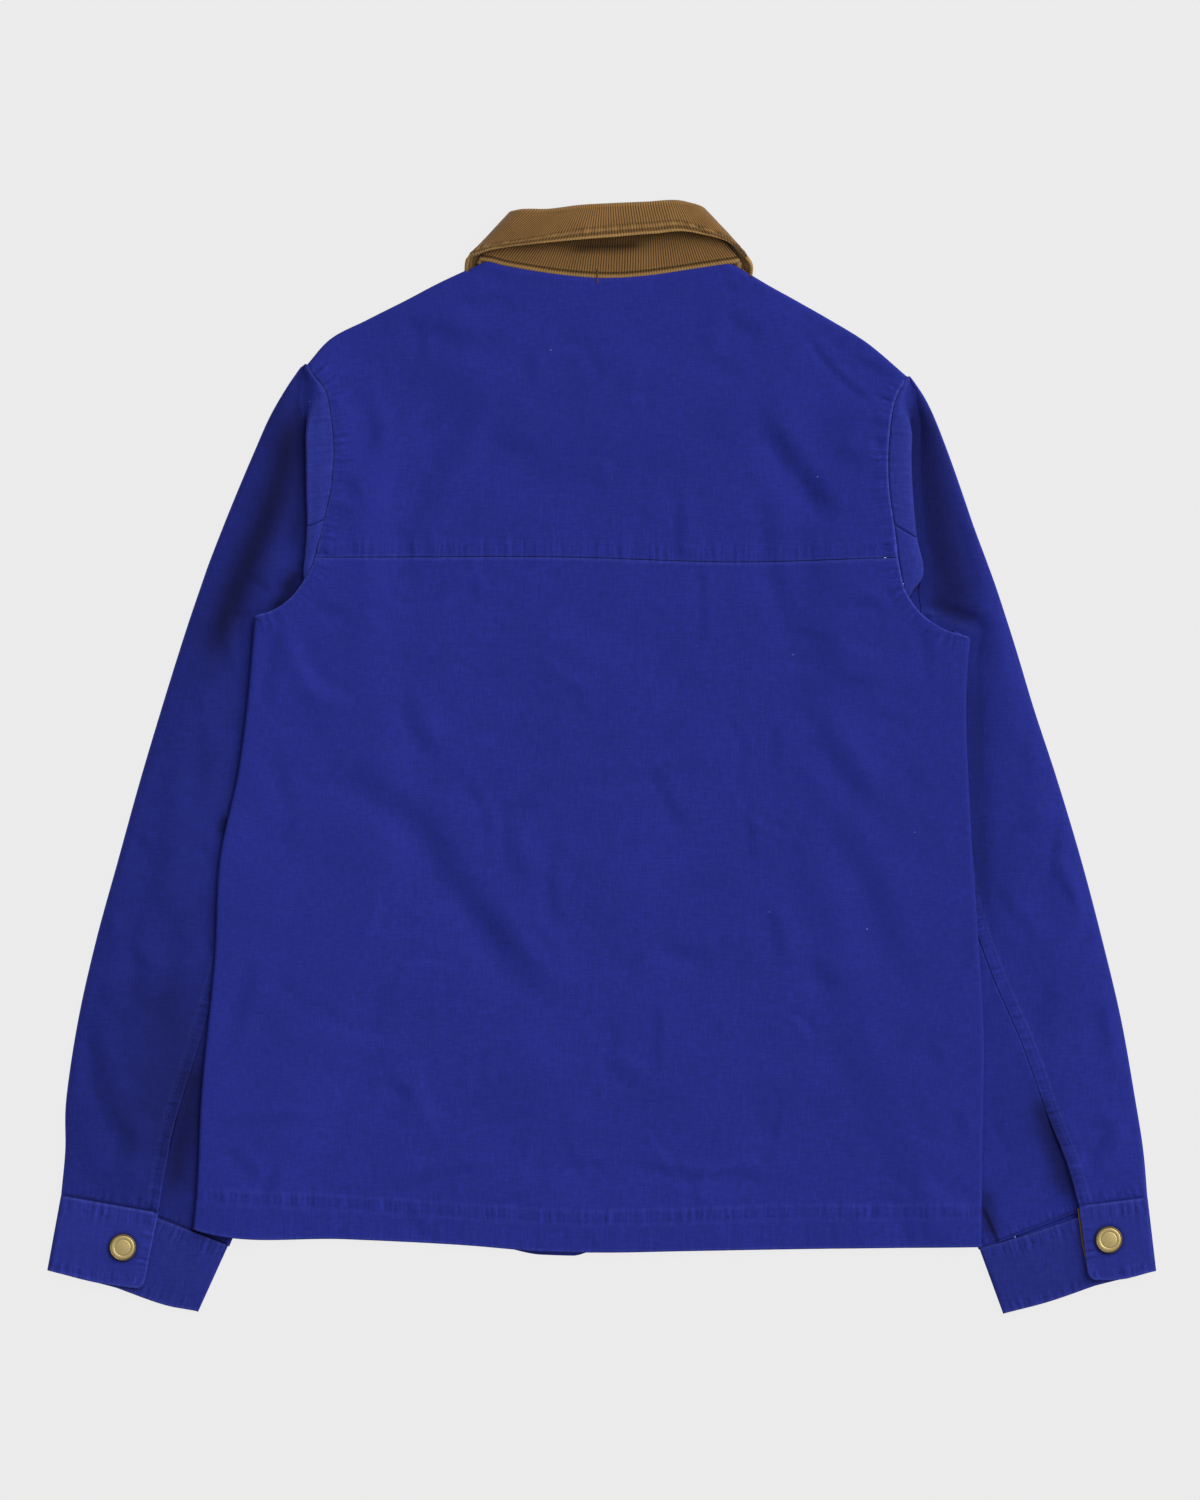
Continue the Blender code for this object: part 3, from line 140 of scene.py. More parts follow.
# The body's largest folds: a soft trough through three points each.
BODY_FOLDS = [
    Fold(-203, 19, -118, -44, -71, -113, 22, -0.9),
    Fold(-71, -113, -50, -136, -31, -156, 17, -0.9),
    Fold(103, 234, 128, 188, 160, 152, 18, -0.9),
    Fold(143, 38, 161, -8, 183, -37, 18, -0.9),
    Fold(138, -10, 180, -87, 201, -153, 20, -0.8),
    Fold(-74, 239, -116, 169, -133, 115, 20, -0.9),
    Fold(-50, -204, -92, -233, -150, -267, 18, -0.7),
    Fold(124, 106, 125, 64, 132, 80, 20, -0.6),
]

print("hem from", HEM[0], "to", HEM[-1], "and", len(BODY_FOLDS), "large folds")

# %% Sleeves
# Stations 0 to 7 run down the armhole: armhole seam, fold beside it, outer rim.
CAP_LEFT = [
    Station(-192.7, 256.4, -195, 255.6, -198.6, 256.8),
    Station(-181.8, 242.6, -194.4, 241.2, -208.2, 242.6),
    Station(-177.9, 224.7, -195, 222.8, -218.8, 224),
    Station(-175.9, 203, -194.6, 200.3, -228.7, 201.6),
    Station(-177.9, 176.6, -194.4, 175.2, -239.3, 176.6),
    Station(-182.5, 156.8, -193.9, 152.8, -248.5, 154),
    Station(-189, 130.4, -195.7, 129, -257.7, 130.4),
    Station(-194.4, 119, -197.4, 118, -262.4, 117.2),
]
CAP_RIGHT = [
    Station(200.6, 247.6, 203.4, 247, 207.2, 247.4),
    Station(195, 237.3, 202.4, 236, 214.2, 236.6),
    Station(191.7, 222.8, 205.6, 220.1, 220.8, 222.8),
    Station(189.8, 199.7, 205, 199, 230, 199),
    Station(190.4, 176.6, 205.8, 176.6, 237.9, 176.6),
    Station(193.7, 153.5, 208.6, 145.6, 246.5, 151.5),
    Station(196.4, 130.4, 212.8, 126, 255.1, 128.4),
    Station(200.3, 111.9, 211.5, 109.2, 262.4, 107.9),
]
# Edge of what lies over each sleeve in plan: the fold beside the armhole, then the body's side.
EDGE_LEFT = [(row.fold_x, row.fold_y) for row in CAP_LEFT] + ARMPIT_LEFT + SIDE_LEFT[1:]
ARMPIT_EDGE_RIGHT = [(219, 100), (240, 93), (245, 86)]
EDGE_RIGHT = [(row.fold_x, row.fold_y) for row in CAP_RIGHT] + ARMPIT_EDGE_RIGHT + SIDE_RIGHT[1:]

# Stations 8 to 16 run down the arm to the cuff: outer rim, back seam, inner edge below the body.
ARM_LEFT = [
    Tube(-273.6, 84.2, -210, 73, -178.5, 71),
    Tube(-288.1, 38, -219.5, 21.5, -161.4, 18.2),
    Tube(-303.9, -14.9, -228.7, -33.3, -157.4, -41.3),
    Tube(-318.5, -67.7, -239.3, -87.5, -165.3, -97.4),
    Tube(-333, -120.5, -249.8, -138.9, -183.8, -154.8),
    Tube(-344.9, -173.3, -264.3, -186.5, -201, -211.5),
    Tube(-352.8, -226, -280.2, -238, -220.8, -263),
    Tube(-353.4, -259, -286.8, -269, -232.7, -293.4),
    Tube(-356.1, -288.8, -292, -299.8, -244.6, -321.2),
]
ARM_RIGHT = [
    Tube(274.2, 71, 216, 62, 172.6, 61),
    Tube(286.1, 31.4, 227.4, 14.9, 159.4, 14.9),
    Tube(301.3, -14.9, 234, -38, 156.8, -41.3),
    Tube(317.1, -67.7, 240.6, -90.8, 166, -97.4),
    Tube(331, -120.5, 256.4, -139, 184.5, -153.5),
    Tube(343.5, -173.3, 278.2, -189.8, 203, -210.2),
    Tube(352.8, -226, 294.7, -236, 224.1, -263),
    Tube(358, -259, 307.2, -267, 236, -294.7),
    Tube(360.7, -290, 315.5, -295.4, 248.9, -323.3),
]
CAP_STATIONS = 7
SEAM_AT_ARMHOLE = 5.0   # station where the back seam meets the armhole
YOKE_STATION = 5.92     # station where the yoke seam meets it
CUFF_STATION = 16.0
MM_PER_STATION = 46.0   # along the arm
VENT_START = 13.7       # from here the vent's two edges part
VENT_LAP = 8.0
HALF_GAP_STATION = 0.008    # half a seam gap, counted in stations
FRONT_SEAM_SHARE = 0.22     # of the sleeve's width, from its inner edge

print("stations on an armhole", len(CAP_LEFT), "and down an arm", len(ARM_LEFT))

# %% Cuffs
# Bands from the lap's open end, round the outer rim, along the table, round the inner edge and
# back below the lap. `top` is on the sleeve's seam and `end` on the cuff's lower edge.
CUFF_LEFT = [
    Band(-292, -300.3, -302, -350.8, 4.9),
    Band(-323.7, -294.8, -332.3, -346.5, 4.9),
    Band(-356.3, -289.2, -365.3, -338.4, 4.4),
    Band(-356.3, -289.2, -365.3, -338.4, 1.2),
    Band(-297.3, -307, -313.8, -351.5, 0.8),
    Band(-245.8, -321.9, -265.6, -365.6, 0.9),
    Band(-245.8, -321.9, -265.6, -365.6, 2.7),
    Band(-267.6, -313.4, -289.4, -360.7, 2.8),
    Band(-300, -301, -322, -349, 2.8),
]
CUFF_RIGHT = [
    Band(315.5, -295.8, 321.8, -344.9, 5.9),
    Band(338.3, -293, 343.5, -344.2, 5.9),
    Band(360.9, -290.4, 366.6, -338.9, 5.2),
    Band(360.9, -290.4, 366.6, -338.9, 1.3),
    Band(303.3, -307.6, 315.2, -351.5, 0.8),
    Band(249.8, -324, 265.5, -367, 0.9),
    Band(249.8, -324, 265.5, -367, 2.7),
    Band(283.5, -314.2, 296.7, -358.7, 2.8),
    Band(323.1, -300.6, 333, -346, 2.8),
]
CUFF_CORNER = 6.0       # rounding of the lap's free corner
SNAP_LEFT = (-315.3, -323.1)
SNAP_RIGHT = (335.2, -318.0)
FACING_REACH = 23.0
FACING_PROUD = 1.3
FACING_Z = 4.4

print("snaps at", SNAP_LEFT, SNAP_RIGHT)

# %% Collar
# Stations from the left front end, round the back of the neck, to the right front end. `turn` is
# the way the fall leaves the stand: 0 is up, 90 is outward and 180 is down.
COLLAR = [
    Ring(-7, 249.2, 4.7, -8, 281, 4.9, -50, 232, 1.1, 180, 1.90),
    Ring(-35, 253.1, 3.3, -24, 291, 3.9, -66, 250, 1.1, 180, 1.40),
    Ring(-59.3, 267.3, 3.2, -38, 303, 3.9, -79, 272, 1.1, 180, 1.40),
    Ring(-72.4, 292.6, 3.2, -50, 326, 3.9, -86, 296, 1.1, 180, 1.40),
    Ring(-73.9, 309.6, 3.3, -56, 341, 4.2, -88, 309, 1.1, 180, 1.50),
    Ring(-77.4, 320.2, 3.7, -61, 344, 4.7, -89.5, 317, 1.3, 165, 1.60),
    Ring(-80.2, 327.8, 5.4, -61, 351, 6.5, -88.5, 328, 5.4, 100, 2.00),
    Ring(-75, 328.2, 7.2, -54, 355.2, 8.9, -80, 332.5, 10, 40, 2.10),
    Ring(-61, 325, 7.2, -36, 357, 10.3, -61, 336.6, 14, 0, 2.00),
    Ring(-25, 319, 7.2, -14, 359, 10.5, -22, 340.7, 16, 0, 2.00),
    Ring(3, 317.1, 7.2, 6, 360, 10.5, 7, 343, 16.5, 0, 2.00),
    Ring(30, 318.6, 7.2, 30, 361, 10.5, 34, 345.2, 16.5, 0, 2.00),
    Ring(70, 324.4, 7.2, 55, 361.8, 10.3, 64, 345.5, 15, 0, 2.00),
    Ring(86.5, 327, 7.2, 64, 359, 9.5, 86, 339, 11.5, 25, 1.80),
    Ring(91.4, 326.6, 5.4, 69.5, 354.5, 7, 99.5, 326, 6, 90, 1.60),
    Ring(88.6, 318.8, 3.7, 70, 350, 4.8, 99.8, 316.5, 1.2, 170, 1.60),
    Ring(83.2, 309.4, 3.3, 68, 342, 4.2, 98, 307, 1.1, 180, 1.50),
    Ring(79, 289, 3.2, 58, 326, 3.9, 91, 293, 1.1, 180, 1.40),
    Ring(57.3, 265.3, 3.2, 40, 302, 3.9, 80, 269, 1.1, 180, 1.40),
    Ring(30, 253.1, 3.2, 22, 290, 3.9, 62, 248, 1.1, 180, 1.40),
    Ring(-3, 249.2, 3.2, -2.5, 281, 3.6, 42, 232, 1.1, 180, 1.25),
]
FALL_SWELL = 0.9        # the fall swells above its straight line by this much
ROLL_GAP = 1.3          # the fall begins this far past the stand's top
ROLL_RUN = 1.2          # and rises straight by this much before it rolls

print("stations round the collar", len(COLLAR))

# %% [markdown]
# ## Smooth lines and surfaces
# Cloth has no corners of its own, so every outline is a smooth line through a few measured places,
# and a panel is the surface that its four border lines span (a Coons patch). numpy does this for a
# whole grid of points at once, which keeps a sheet of forty thousand points quick.

# %% Lines through measured places
CELL = 2.2              # side of the sheets' grid cells

def even(count):
    """So many shares from 0 to 1, evenly spread."""
    return np.linspace(0, 1, count)


def along(points, shares):
    """Smooth line through the points, read at shares (0 to 1) of its length."""
    points = np.asarray(points, dtype=float)
    steps = np.linalg.norm(np.diff(points, axis=0), axis=1)
    knots = np.concatenate([[0.0], np.cumsum(steps)]) / steps.sum()
    return hermite(points, knots, shares)


def hermite(values, knots, at):
    """Cubic through the values at the knots, with the slopes of their neighbours."""
    values = np.asarray(values, dtype=float)
    slopes = np.gradient(values, knots, axis=0)
    at = np.atleast_1d(np.asarray(at, dtype=float))
    i = np.clip(np.searchsorted(knots, at, side="right") - 1, 0, len(knots) - 2)
    span = knots[i + 1] - knots[i]
    s = (at - knots[i]) / span
    shape = (-1,) + (1,) * (values.ndim - 1)
    s, span = s.reshape(shape), span.reshape(shape)
    start = (2 * s**3 - 3 * s**2 + 1) * values[i] + (s**3 - 2 * s**2 + s) * span * slopes[i]
    finish = (3 * s**2 - 2 * s**3) * values[i + 1] + (s**3 - s**2) * span * slopes[i + 1]
    return start + finish


def column(table, name):
    """One named column of a table, as an array."""
    return np.array([getattr(row, name) for row in table], dtype=float)


def pairs(table, name):
    """The x and y columns of a table that share a name."""
    return np.stack([column(table, name + "_x"), column(table, name + "_y")], axis=1)


def smoothstep(x):
    """0 below 0, 1 above 1, soft between."""
    x = np.clip(x, 0.0, 1.0)
    return x * x * (3 - 2 * x)


def bell(off, width):
    """1 where `off` is 0, and nearly nothing two widths away."""
    return np.exp(-(off / width)**2)


def normals_of(line):
    """Unit normals of a line in plan, to its left."""
    tangent = np.gradient(line, axis=0)
    tangent /= np.linalg.norm(tangent, axis=1, keepdims=True)
    return np.stack([-tangent[:, 1], tangent[:, 0]], axis=1)


print("halfway down the left side:", along(SIDE_LEFT, even(3))[1].round(1))

# %% Places and distances in plan
def in_mm(points):
    """Photograph pixels to millimetres in plan."""
    points = np.asarray(points, dtype=float)
    return (points - PHOTO_CENTRE) * [PHOTO_SCALE, -PHOTO_SCALE]


def above(x, y, line):
    """How far places in plan are above a line that runs from left to right."""
    return y - np.interp(x, line[:, 0], line[:, 1])


def beside(x, y, line):
    """For places in plan: how far along a line they are, and how far to its left."""
    line = np.asarray(line, dtype=float)
    step = np.diff(line, axis=0)
    length = np.linalg.norm(step, axis=1)
    way = step / length[:, None]
    before = np.concatenate([[0.0], np.cumsum(length)[:-1]])
    from_x = x.reshape(-1, 1) - line[:-1, 0]
    from_y = y.reshape(-1, 1) - line[:-1, 1]
    run = np.clip(from_x * way[:, 0] + from_y * way[:, 1], 0, length)
    gap = np.hypot(from_x - run * way[:, 0], from_y - run * way[:, 1])
    best = gap.argmin(axis=1)
    row = np.arange(len(best))
    cross = way[best, 0] * from_y[row, best] - way[best, 1] * from_x[row, best]
    reach = before[best] + run[row, best]
    return reach.reshape(x.shape), (gap[row, best] * np.where(cross < 0, -1, 1)).reshape(x.shape)


print("grid cell", CELL, "mm; the photograph shows", round(1200 * PHOTO_SCALE), "mm across")

# %% [markdown]
# ## Creases, puckers and seams
# Laid cloth is never flat: carrying and folding left long creases across the back, and every row of
# topstitching draws the cloth into short puckers. Simulating cloth would give other creases than
# these, so they are placed one by one where the photograph shows them. A dark line in it is a slope
# that faces away from the light, so each crease is a soft step (`slope`) with a little trough or
# ridge (`rise`), fading out at both ends.

# %% Creases, in pixels of the photograph
Crease = namedtuple("Crease", "points width slope rise", defaults=[0.0])
BODY_CREASES = [
    Crease([(354, 372), (371, 434), (360, 479)], 6, 0.45),
    Crease([(376, 400), (378, 428), (376, 456)], 4, 0.3),
    Crease([(441, 383), (410, 428), (388, 468), (362, 512), (345, 532)], 6, -0.5, 0.4),
    Crease([(489, 395), (444, 456), (424, 501), (410, 529), (399, 583)], 9, 0.75, -0.1),
    Crease([(382, 336), (432, 327), (472, 341), (503, 324)], 7, 0.45, -0.3),
    Crease([(455, 305), (486, 298), (517, 294)], 5, 0.4, -0.1),
    Crease([(477, 277), (494, 274), (511, 273)], 4, 0.35, -0.1),
    Crease([(483, 431), (514, 444), (545, 454)], 5, 0.25),
    Crease([(531, 350), (532, 368), (530, 388)], 4, 0.25),
    Crease([(315, 608), (334, 609), (354, 613)], 4, 0.3),
    Crease([(438, 600), (456, 590), (477, 577)], 4, 0.3),
    Crease([(284, 625), (276, 648), (264, 712)], 5, 0.4),
    Crease([(298, 611), (298, 653), (315, 686), (361, 702)], 5, -0.45, 0.3),
    Crease([(292, 728), (329, 764), (381, 795), (421, 825), (453, 877), (493, 929), (525, 973),
            (554, 994), (598, 1000), (616, 1014)], 9, 0.75, -0.3),
    Crease([(470, 900), (505, 950), (545, 990)], 13, 0.55, -0.2),
    Crease([(405, 684), (413, 720), (437, 756)], 6, 0.5),
    Crease([(505, 809), (513, 849), (525, 889)], 6, 0.45),
    Crease([(564, 829), (554, 865), (558, 937)], 4, 0.32),
    Crease([(260, 949), (248, 994), (228, 1058)], 5, 0.35),
    Crease([(409, 953), (385, 994), (369, 1026)], 4, 0.3),
    Crease([(525, 1066), (461, 1110), (405, 1154), (373, 1162)], 5, 0.35),
    Crease([(385, 1076), (401, 1088), (417, 1102)], 4, 0.3),
    Crease([(220, 1124), (280, 1118), (329, 1120)], 4, 0.3),
    Crease([(224, 1142), (244, 1162), (264, 1186)], 4, 0.3),
    Crease([(280, 1158), (272, 1190), (266, 1218)], 4, 0.35),
    Crease([(381, 1190), (453, 1170), (501, 1162)], 4, 0.3),
    Crease([(562, 1166), (584, 1163), (606, 1158)], 4, 0.3),
    Crease([(756, 403), (773, 434), (801, 473), (827, 507), (843, 527)], 7, 0.85, -0.1),
    Crease([(762, 487), (770, 518), (773, 555), (784, 597), (790, 636)], 6, 0.42),
    Crease([(679, 479), (681, 541), (683, 577)], 4, 0.35),
    Crease([(702, 546), (703, 600), (703, 653)], 3, 0.25),
    Crease([(841, 611), (857, 600), (891, 611)], 4, 0.35),
    Crease([(841, 636), (834, 660), (829, 681)], 13, 0.6),
    Crease([(817, 700), (821, 728), (845, 769), (877, 813)], 8, 0.75, -0.1),
    Crease([(809, 773), (841, 833), (873, 889), (889, 945), (905, 989)], 9, 0.55),
    Crease([(765, 897), (777, 937), (781, 969)], 5, 0.4),
    Crease([(809, 953), (824, 972), (841, 989)], 6, 0.4),
    Crease([(652, 937), (684, 950), (717, 961)], 6, 0.4),
    Crease([(660, 994), (658, 1040), (656, 1090)], 3, 0.22),
    Crease([(612, 1164), (656, 1166), (701, 1176), (741, 1172), (785, 1184)], 4, 0.4),
    Crease([(600, 1066), (622, 1072), (644, 1082)], 5, 0.3),
    Crease([(749, 793), (751, 828), (753, 865)], 3, 0.22),
    Crease([(568, 779), (648, 772), (729, 764)], 5, 0.22),
    Crease([(930, 1042), (936, 1054), (942, 1066)], 4, 0.3),
    Crease([(962, 1110), (961, 1124), (958, 1138)], 4, 0.3),
    Crease([(777, 720), (776, 746), (775, 773)], 3, 0.22),
    Crease([(832, 440), (850, 455), (869, 468)], 6, 0.35),
    Crease([(857, 364), (871, 363), (885, 364)], 4, 0.35),
    Crease([(725, 310), (756, 330), (768, 336)], 5, 0.3),
    Crease([(703, 355), (727, 365), (751, 375)], 5, 0.25),
    Crease([(723, 282), (731, 285), (740, 288)], 4, 0.3),
]
SLEEVE_CREASES = [
    Crease([(236, 598), (233, 631), (247, 675)], 4, -0.5, 0.3),
    Crease([(95, 1001), (93, 1044), (104, 1088), (123, 1131), (145, 1170)], 7, 0.6, -0.2),
    Crease([(147, 951), (142, 982), (138, 1012)], 6, 0.5),
    Crease([(180, 760), (162, 860), (150, 940)], 9, 0.6),
    Crease([(190, 900), (170, 990), (166, 1050)], 7, 0.45),
    Crease([(218, 720), (206, 770), (200, 830)], 7, 0.5),
    Crease([(110, 1180), (128, 1150), (132, 1110)], 6, 0.4),
    Crease([(1116, 1120), (1100, 1150), (1086, 1172)], 6, 0.7, -0.2),
    Crease([(1046, 840), (1060, 900), (1064, 950)], 9, 0.5),
    Crease([(1012, 720), (1026, 790), (1024, 850)], 8, 0.45),
    Crease([(1060, 980), (1046, 1010), (1030, 1030)], 7, 0.5),
    Crease([(1100, 1000), (1106, 1040), (1100, 1080)], 7, 0.45),
    Crease([(1000, 1090), (1020, 1130), (1024, 1180)], 8, 0.5),
    Crease([(985, 1100), (1000, 1150), (1010, 1200)], 7, 0.45),
    Crease([(960, 480), (976, 540), (984, 600)], 8, 0.5),
    Crease([(284, 590), (276, 575), (262, 590)], 7, 0.3, 0.8),
]
TOWARDS_LIGHT = np.array([0.8, 0.6])


def faint_creases(count, seed, low, high):
    """Short faint creases by chance between two corners in pixels, most of them slanting down right."""
    chance = np.random.default_rng(seed)
    made = []
    for _ in range(count):
        start = chance.uniform(low, high)
        way = math.radians(chance.normal(60, 38))
        length = chance.uniform(30, 120)
        bend = chance.normal(0, 0.12) * length
        middle = start + [math.cos(way) * length / 2 - math.sin(way) * bend,
                          math.sin(way) * length / 2 + math.cos(way) * bend]
        finish = start + [math.cos(way) * length, math.sin(way) * length]
        slope = chance.uniform(0.08, 0.26) * chance.choice([-1, 1])
        width = chance.uniform(2.0, 5.5)
        made.append(Crease([tuple(start), tuple(middle), tuple(finish)], width, slope))
    return made


BODY_CREASES += faint_creases(90, 101, (250, 290), (960, 1190))
SLEEVE_CREASES += faint_creases(26, 102, (70, 640), (220, 1180))
SLEEVE_CREASES += faint_creases(26, 103, (980, 560), (1120, 1180))
CREASE_STRENGTH = 1.9
CREASE_SPREAD = 1.6
STEP_TO_PEAK = math.sqrt(2 * math.e)


print("creases placed by hand or by chance:", len(BODY_CREASES) + len(SLEEVE_CREASES))

# %% From creases to heights
def relief(x, y, creases):
    """Height of the creases at places in plan."""
    height = np.zeros_like(x)
    for crease in creases:
        line = along(in_mm(crease.points), even(8 * len(crease.points)))
        width = crease.width * CREASE_SPREAD
        low, high = line.min(axis=0) - 3 * width, line.max(axis=0) + 3 * width
        near = (x > low[0]) & (x < high[0]) & (y > low[1]) & (y < high[1])
        if not near.any():
            continue
        reach, off = beside(x[near], y[near], line)
        share = reach / np.linalg.norm(np.diff(line, axis=0), axis=1).sum()
        fade = smoothstep(share / 0.3) * smoothstep((1 - share) / 0.3)
        chord = line[-1] - line[0]
        lit = np.sign(TOWARDS_LIGHT @ [-chord[1], chord[0]])
        u = off * lit / width
        shape = crease.slope * STEP_TO_PEAK * u + crease.rise
        height[near] += CREASE_STRENGTH * fade * bell(u, 1.0) * shape
    return height


def unevenness(x, y, seed, longest=90.0, shortest=26.0, height=0.30):
    """Soft random swells that no photograph could chart: a sum of plane waves."""
    chance = np.random.default_rng(seed)
    total = np.zeros_like(x)
    for length in np.geomspace(longest, shortest, 24):
        turn = chance.uniform(0, math.pi)
        phase = chance.uniform(0, 2 * math.pi)
        wave = (x * math.cos(turn) + y * math.sin(turn)) * 2 * math.pi / length + phase
        total += np.sin(wave) * (length / longest)**0.9
    return total * height / 3.0


print("a swell in the middle of the back:", unevenness(np.zeros(1), np.zeros(1), 3).round(2), "mm")

# %% Puckers along rows of stitches
def puckers(reach, seed):
    """Uneven gathers along a row of stitches, about 6 to 20 mm apart, from -1 to 1."""
    chance = np.random.default_rng(seed)
    total = np.zeros_like(reach)
    for length in (6.2, 7.7, 9.8, 12.5, 16.0, 23.0):
        total += np.sin(reach * 2 * math.pi / length + chance.uniform(0, 2 * math.pi))
    total *= 0.62 + 0.38 * np.sin(reach * 2 * math.pi / 61 + chance.uniform(0, 2 * math.pi))
    return np.clip(total / 2.3, -1, 1)


def felled(reach, across, band, seed, height=0.4, gather=0.3):
    """Height of a felled seam: a doubled band from the seam line to its topstitching."""
    doubled = smoothstep((across + 0.7) / 1.0) * (1 - smoothstep((across - band) / 1.6))
    stitched = bell(across - band + 0.6, 0.9)
    pull = bell(across - band * 0.6, band * 0.62)
    return height * doubled - 0.32 * stitched + gather * puckers(reach, seed) * pull


print("height beside a felled seam:", felled(np.zeros(3), np.array([-2.0, 3.0, 9.0]), 9.0, 1).round(2))

# %% Where the seams of the body run
HEM_RIDGE = in_mm([(190, 1188), (346, 1196), (478, 1205), (545, 1209), (575, 1211), (684, 1209),
                   (775, 1205), (990, 1204)])
HEM_STITCH = 8.0
YOKE_BAND = 11.9
ARMHOLE_BAND = 9.2
SLEEVE_BAND = 6.6


def armhole_line(cap, steps, inward):
    """The body's side of the armhole seam at some stations."""
    line = hermite(pairs(cap, "seam"), np.arange(len(cap)), steps)
    line[:, 0] += inward * SEAM_GAP / 2
    return line


def yoke_seam(columns, shift):
    """The yoke seam from armhole to armhole, moved up or down by half a gap."""
    ends = [hermite(pairs(cap, "seam"), np.arange(len(cap)), YOKE_STATION)[0]
            for cap in (CAP_LEFT, CAP_RIGHT)]
    line = along([ends[0], *YOKE_SEAM, ends[1]], even(columns))
    line[:, 1] += shift
    return line


def by_armholes(x, y):
    """For places on the body: distance along each armhole, from its top to the side, and inward from it."""
    for cap, armpit, side in ((CAP_LEFT, ARMPIT_LEFT, 1), (CAP_RIGHT, ARMPIT_RIGHT, -1)):
        line = np.concatenate([armhole_line(cap, np.linspace(0, 7, 50), 0), armpit])
        reach, off = beside(x, y, line)
        yield reach, off * side


print("doubled bands:", YOKE_BAND, ARMHOLE_BAND, SLEEVE_BAND, "mm")

# %% Fine form of the back
def body_detail(x, y):
    """What the back's and the yoke's fine form adds to the CAD sheet's height."""
    height = relief(x, y, BODY_CREASES) + unevenness(x, y, 3, height=0.30)
    height += felled(x, above(x, y, yoke_seam(60, 0.0)), YOKE_BAND, 11, 0.30, 0.42)
    below = -above(x, y, HEM_RIDGE)
    height += 0.35 * smoothstep((below + 0.8) / 1.6) - 0.25 * bell(below - HEM_STITCH, 0.9)
    height += 0.14 * bell(below - 0.8, 1.4) + 0.10 * bell(below - HEM_STITCH - 2.4, 1.6)
    height += 0.48 * puckers(x, 21) * bell(below - 4.5, 5.0)
    height += 0.30 * puckers(x, 22) * bell(below - 19.0, 9.0)
    for seed, (reach, inward) in enumerate(by_armholes(x, y), start=31):
        height += felled(reach, inward, ARMHOLE_BAND, seed, 0.35, 0.50) * (inward < 40)
    return height


print("yoke seam", [round(float(v)) for v in yoke_seam(3, 0)[1]], "hem ridge", HEM_RIDGE[0].round())

# %% How high the body lies
def fold_depth(x, y):
    """Depth of the body's large folds at a place in plan."""
    depth = np.zeros_like(x)
    for fold in BODY_FOLDS:
        line = along([(fold.x0, fold.y0), (fold.x1, fold.y1), (fold.x2, fold.y2)], even(13))
        reach = np.hypot(x[..., None] - line[:, 0], y[..., None] - line[:, 1])
        fade = np.sin(np.pi * np.linspace(0.12, 0.88, 13))
        share = bell(reach, fold.width * 0.55) * fade
        depth = depth + fold.depth * share.max(axis=-1)
    return depth


def lifts(x, y):
    """How much the front and the back are lifted at a place in plan."""
    order = np.argsort(column(LIFTS, "y"))
    at = {name: np.interp(y, column(LIFTS, "y")[order], column(LIFTS, name)[order])
          for name in ("front", "back", "full")}
    side = smoothstep((np.abs(x) - at["full"] + LIFT_RAMP) / LIFT_RAMP)
    neck = 1 - smoothstep((np.hypot((x - NECK_CENTRE[0]) / NECK_REACH[0],
                                    (y - NECK_CENTRE[1]) / NECK_REACH[1]) - 0.85) / 0.5)
    front = np.maximum(at["front"] * side, NECK_FRONT_LIFT * neck)
    back = np.maximum(at["back"] * side, NECK_BACK_LIFT * neck)
    return front, back


def front_z(x, y):
    """Middle surface of a front."""
    return FRONT_Z + lifts(x, y)[0]


def back_z(x, y):
    """Middle surface of the back and the yoke."""
    return BACK_Z + lifts(x, y)[1] + fold_depth(x, y)


def raise_plan(plan, height):
    """Plan points with a height from a function of the place."""
    return np.concatenate([plan, height(plan[..., 0], plan[..., 1])[..., None]], axis=-1)


print("middle of the back above the table:", back_z(np.zeros(1), np.zeros(1)).round(2), "mm")

# %% [markdown]
# ## A sheet of cloth as a mesh
# Real cloth has the same thickness everywhere, so each piece is one grid of points, the middle of
# the cloth, with a live Solidify modifier that gives it its wall. Where the maker turned an edge
# under, the grid goes round a fold and back below itself. Numbers painted on the points tell the
# materials where cloth is paler, from rubbed wear and from painted highlights on the crests of folds
# and seams (`wear`), where it lies deep in a fold and gets painted shade (`shade`),
# which rib of the corduroy a point is on (`wale`), how strongly stitches gather the cloth (`pull`),
# and how far along the seam that is (`run`).

# %% From grids to cloth
ARC_CELLS = 6
STRIP_CELLS = 8
TUCK_POINTS = 2 * ARC_CELLS + STRIP_CELLS + 2


def wrap(edge, outward, under, reach):
    """Points that carry a sheet's edge round a fold and `reach` further in below it."""
    radius = (edge[:, 2] - under) / 2
    rows = []
    for angle in np.linspace(90, -90, ARC_CELLS + 2)[1:]:
        out = radius * math.cos(math.radians(angle))
        row = np.empty_like(edge)
        row[:, :2] = edge[:, :2] + outward * out[:, None]
        row[:, 2] = edge[:, 2] - radius + radius * math.sin(math.radians(angle))
        rows.append(row)
    flat = rows[-1]
    for share in (0.35, 0.7, 1.0):
        row = flat.copy()
        row[:, :2] -= outward * reach * share
        rows.append(row)
    return np.array(rows)


def steps_along(length, fine_start=0.0, fine_end=0.0, cell=CELL, fine=0.8):
    """Shares of a length, in small steps for so many millimetres at its start and end."""
    marks = [0.0]
    while marks[-1] < length:
        near_edge = marks[-1] < fine_start or marks[-1] > length - fine_end
        marks.append(marks[-1] + (fine if near_edge else cell))
    return np.array(marks) / marks[-1]


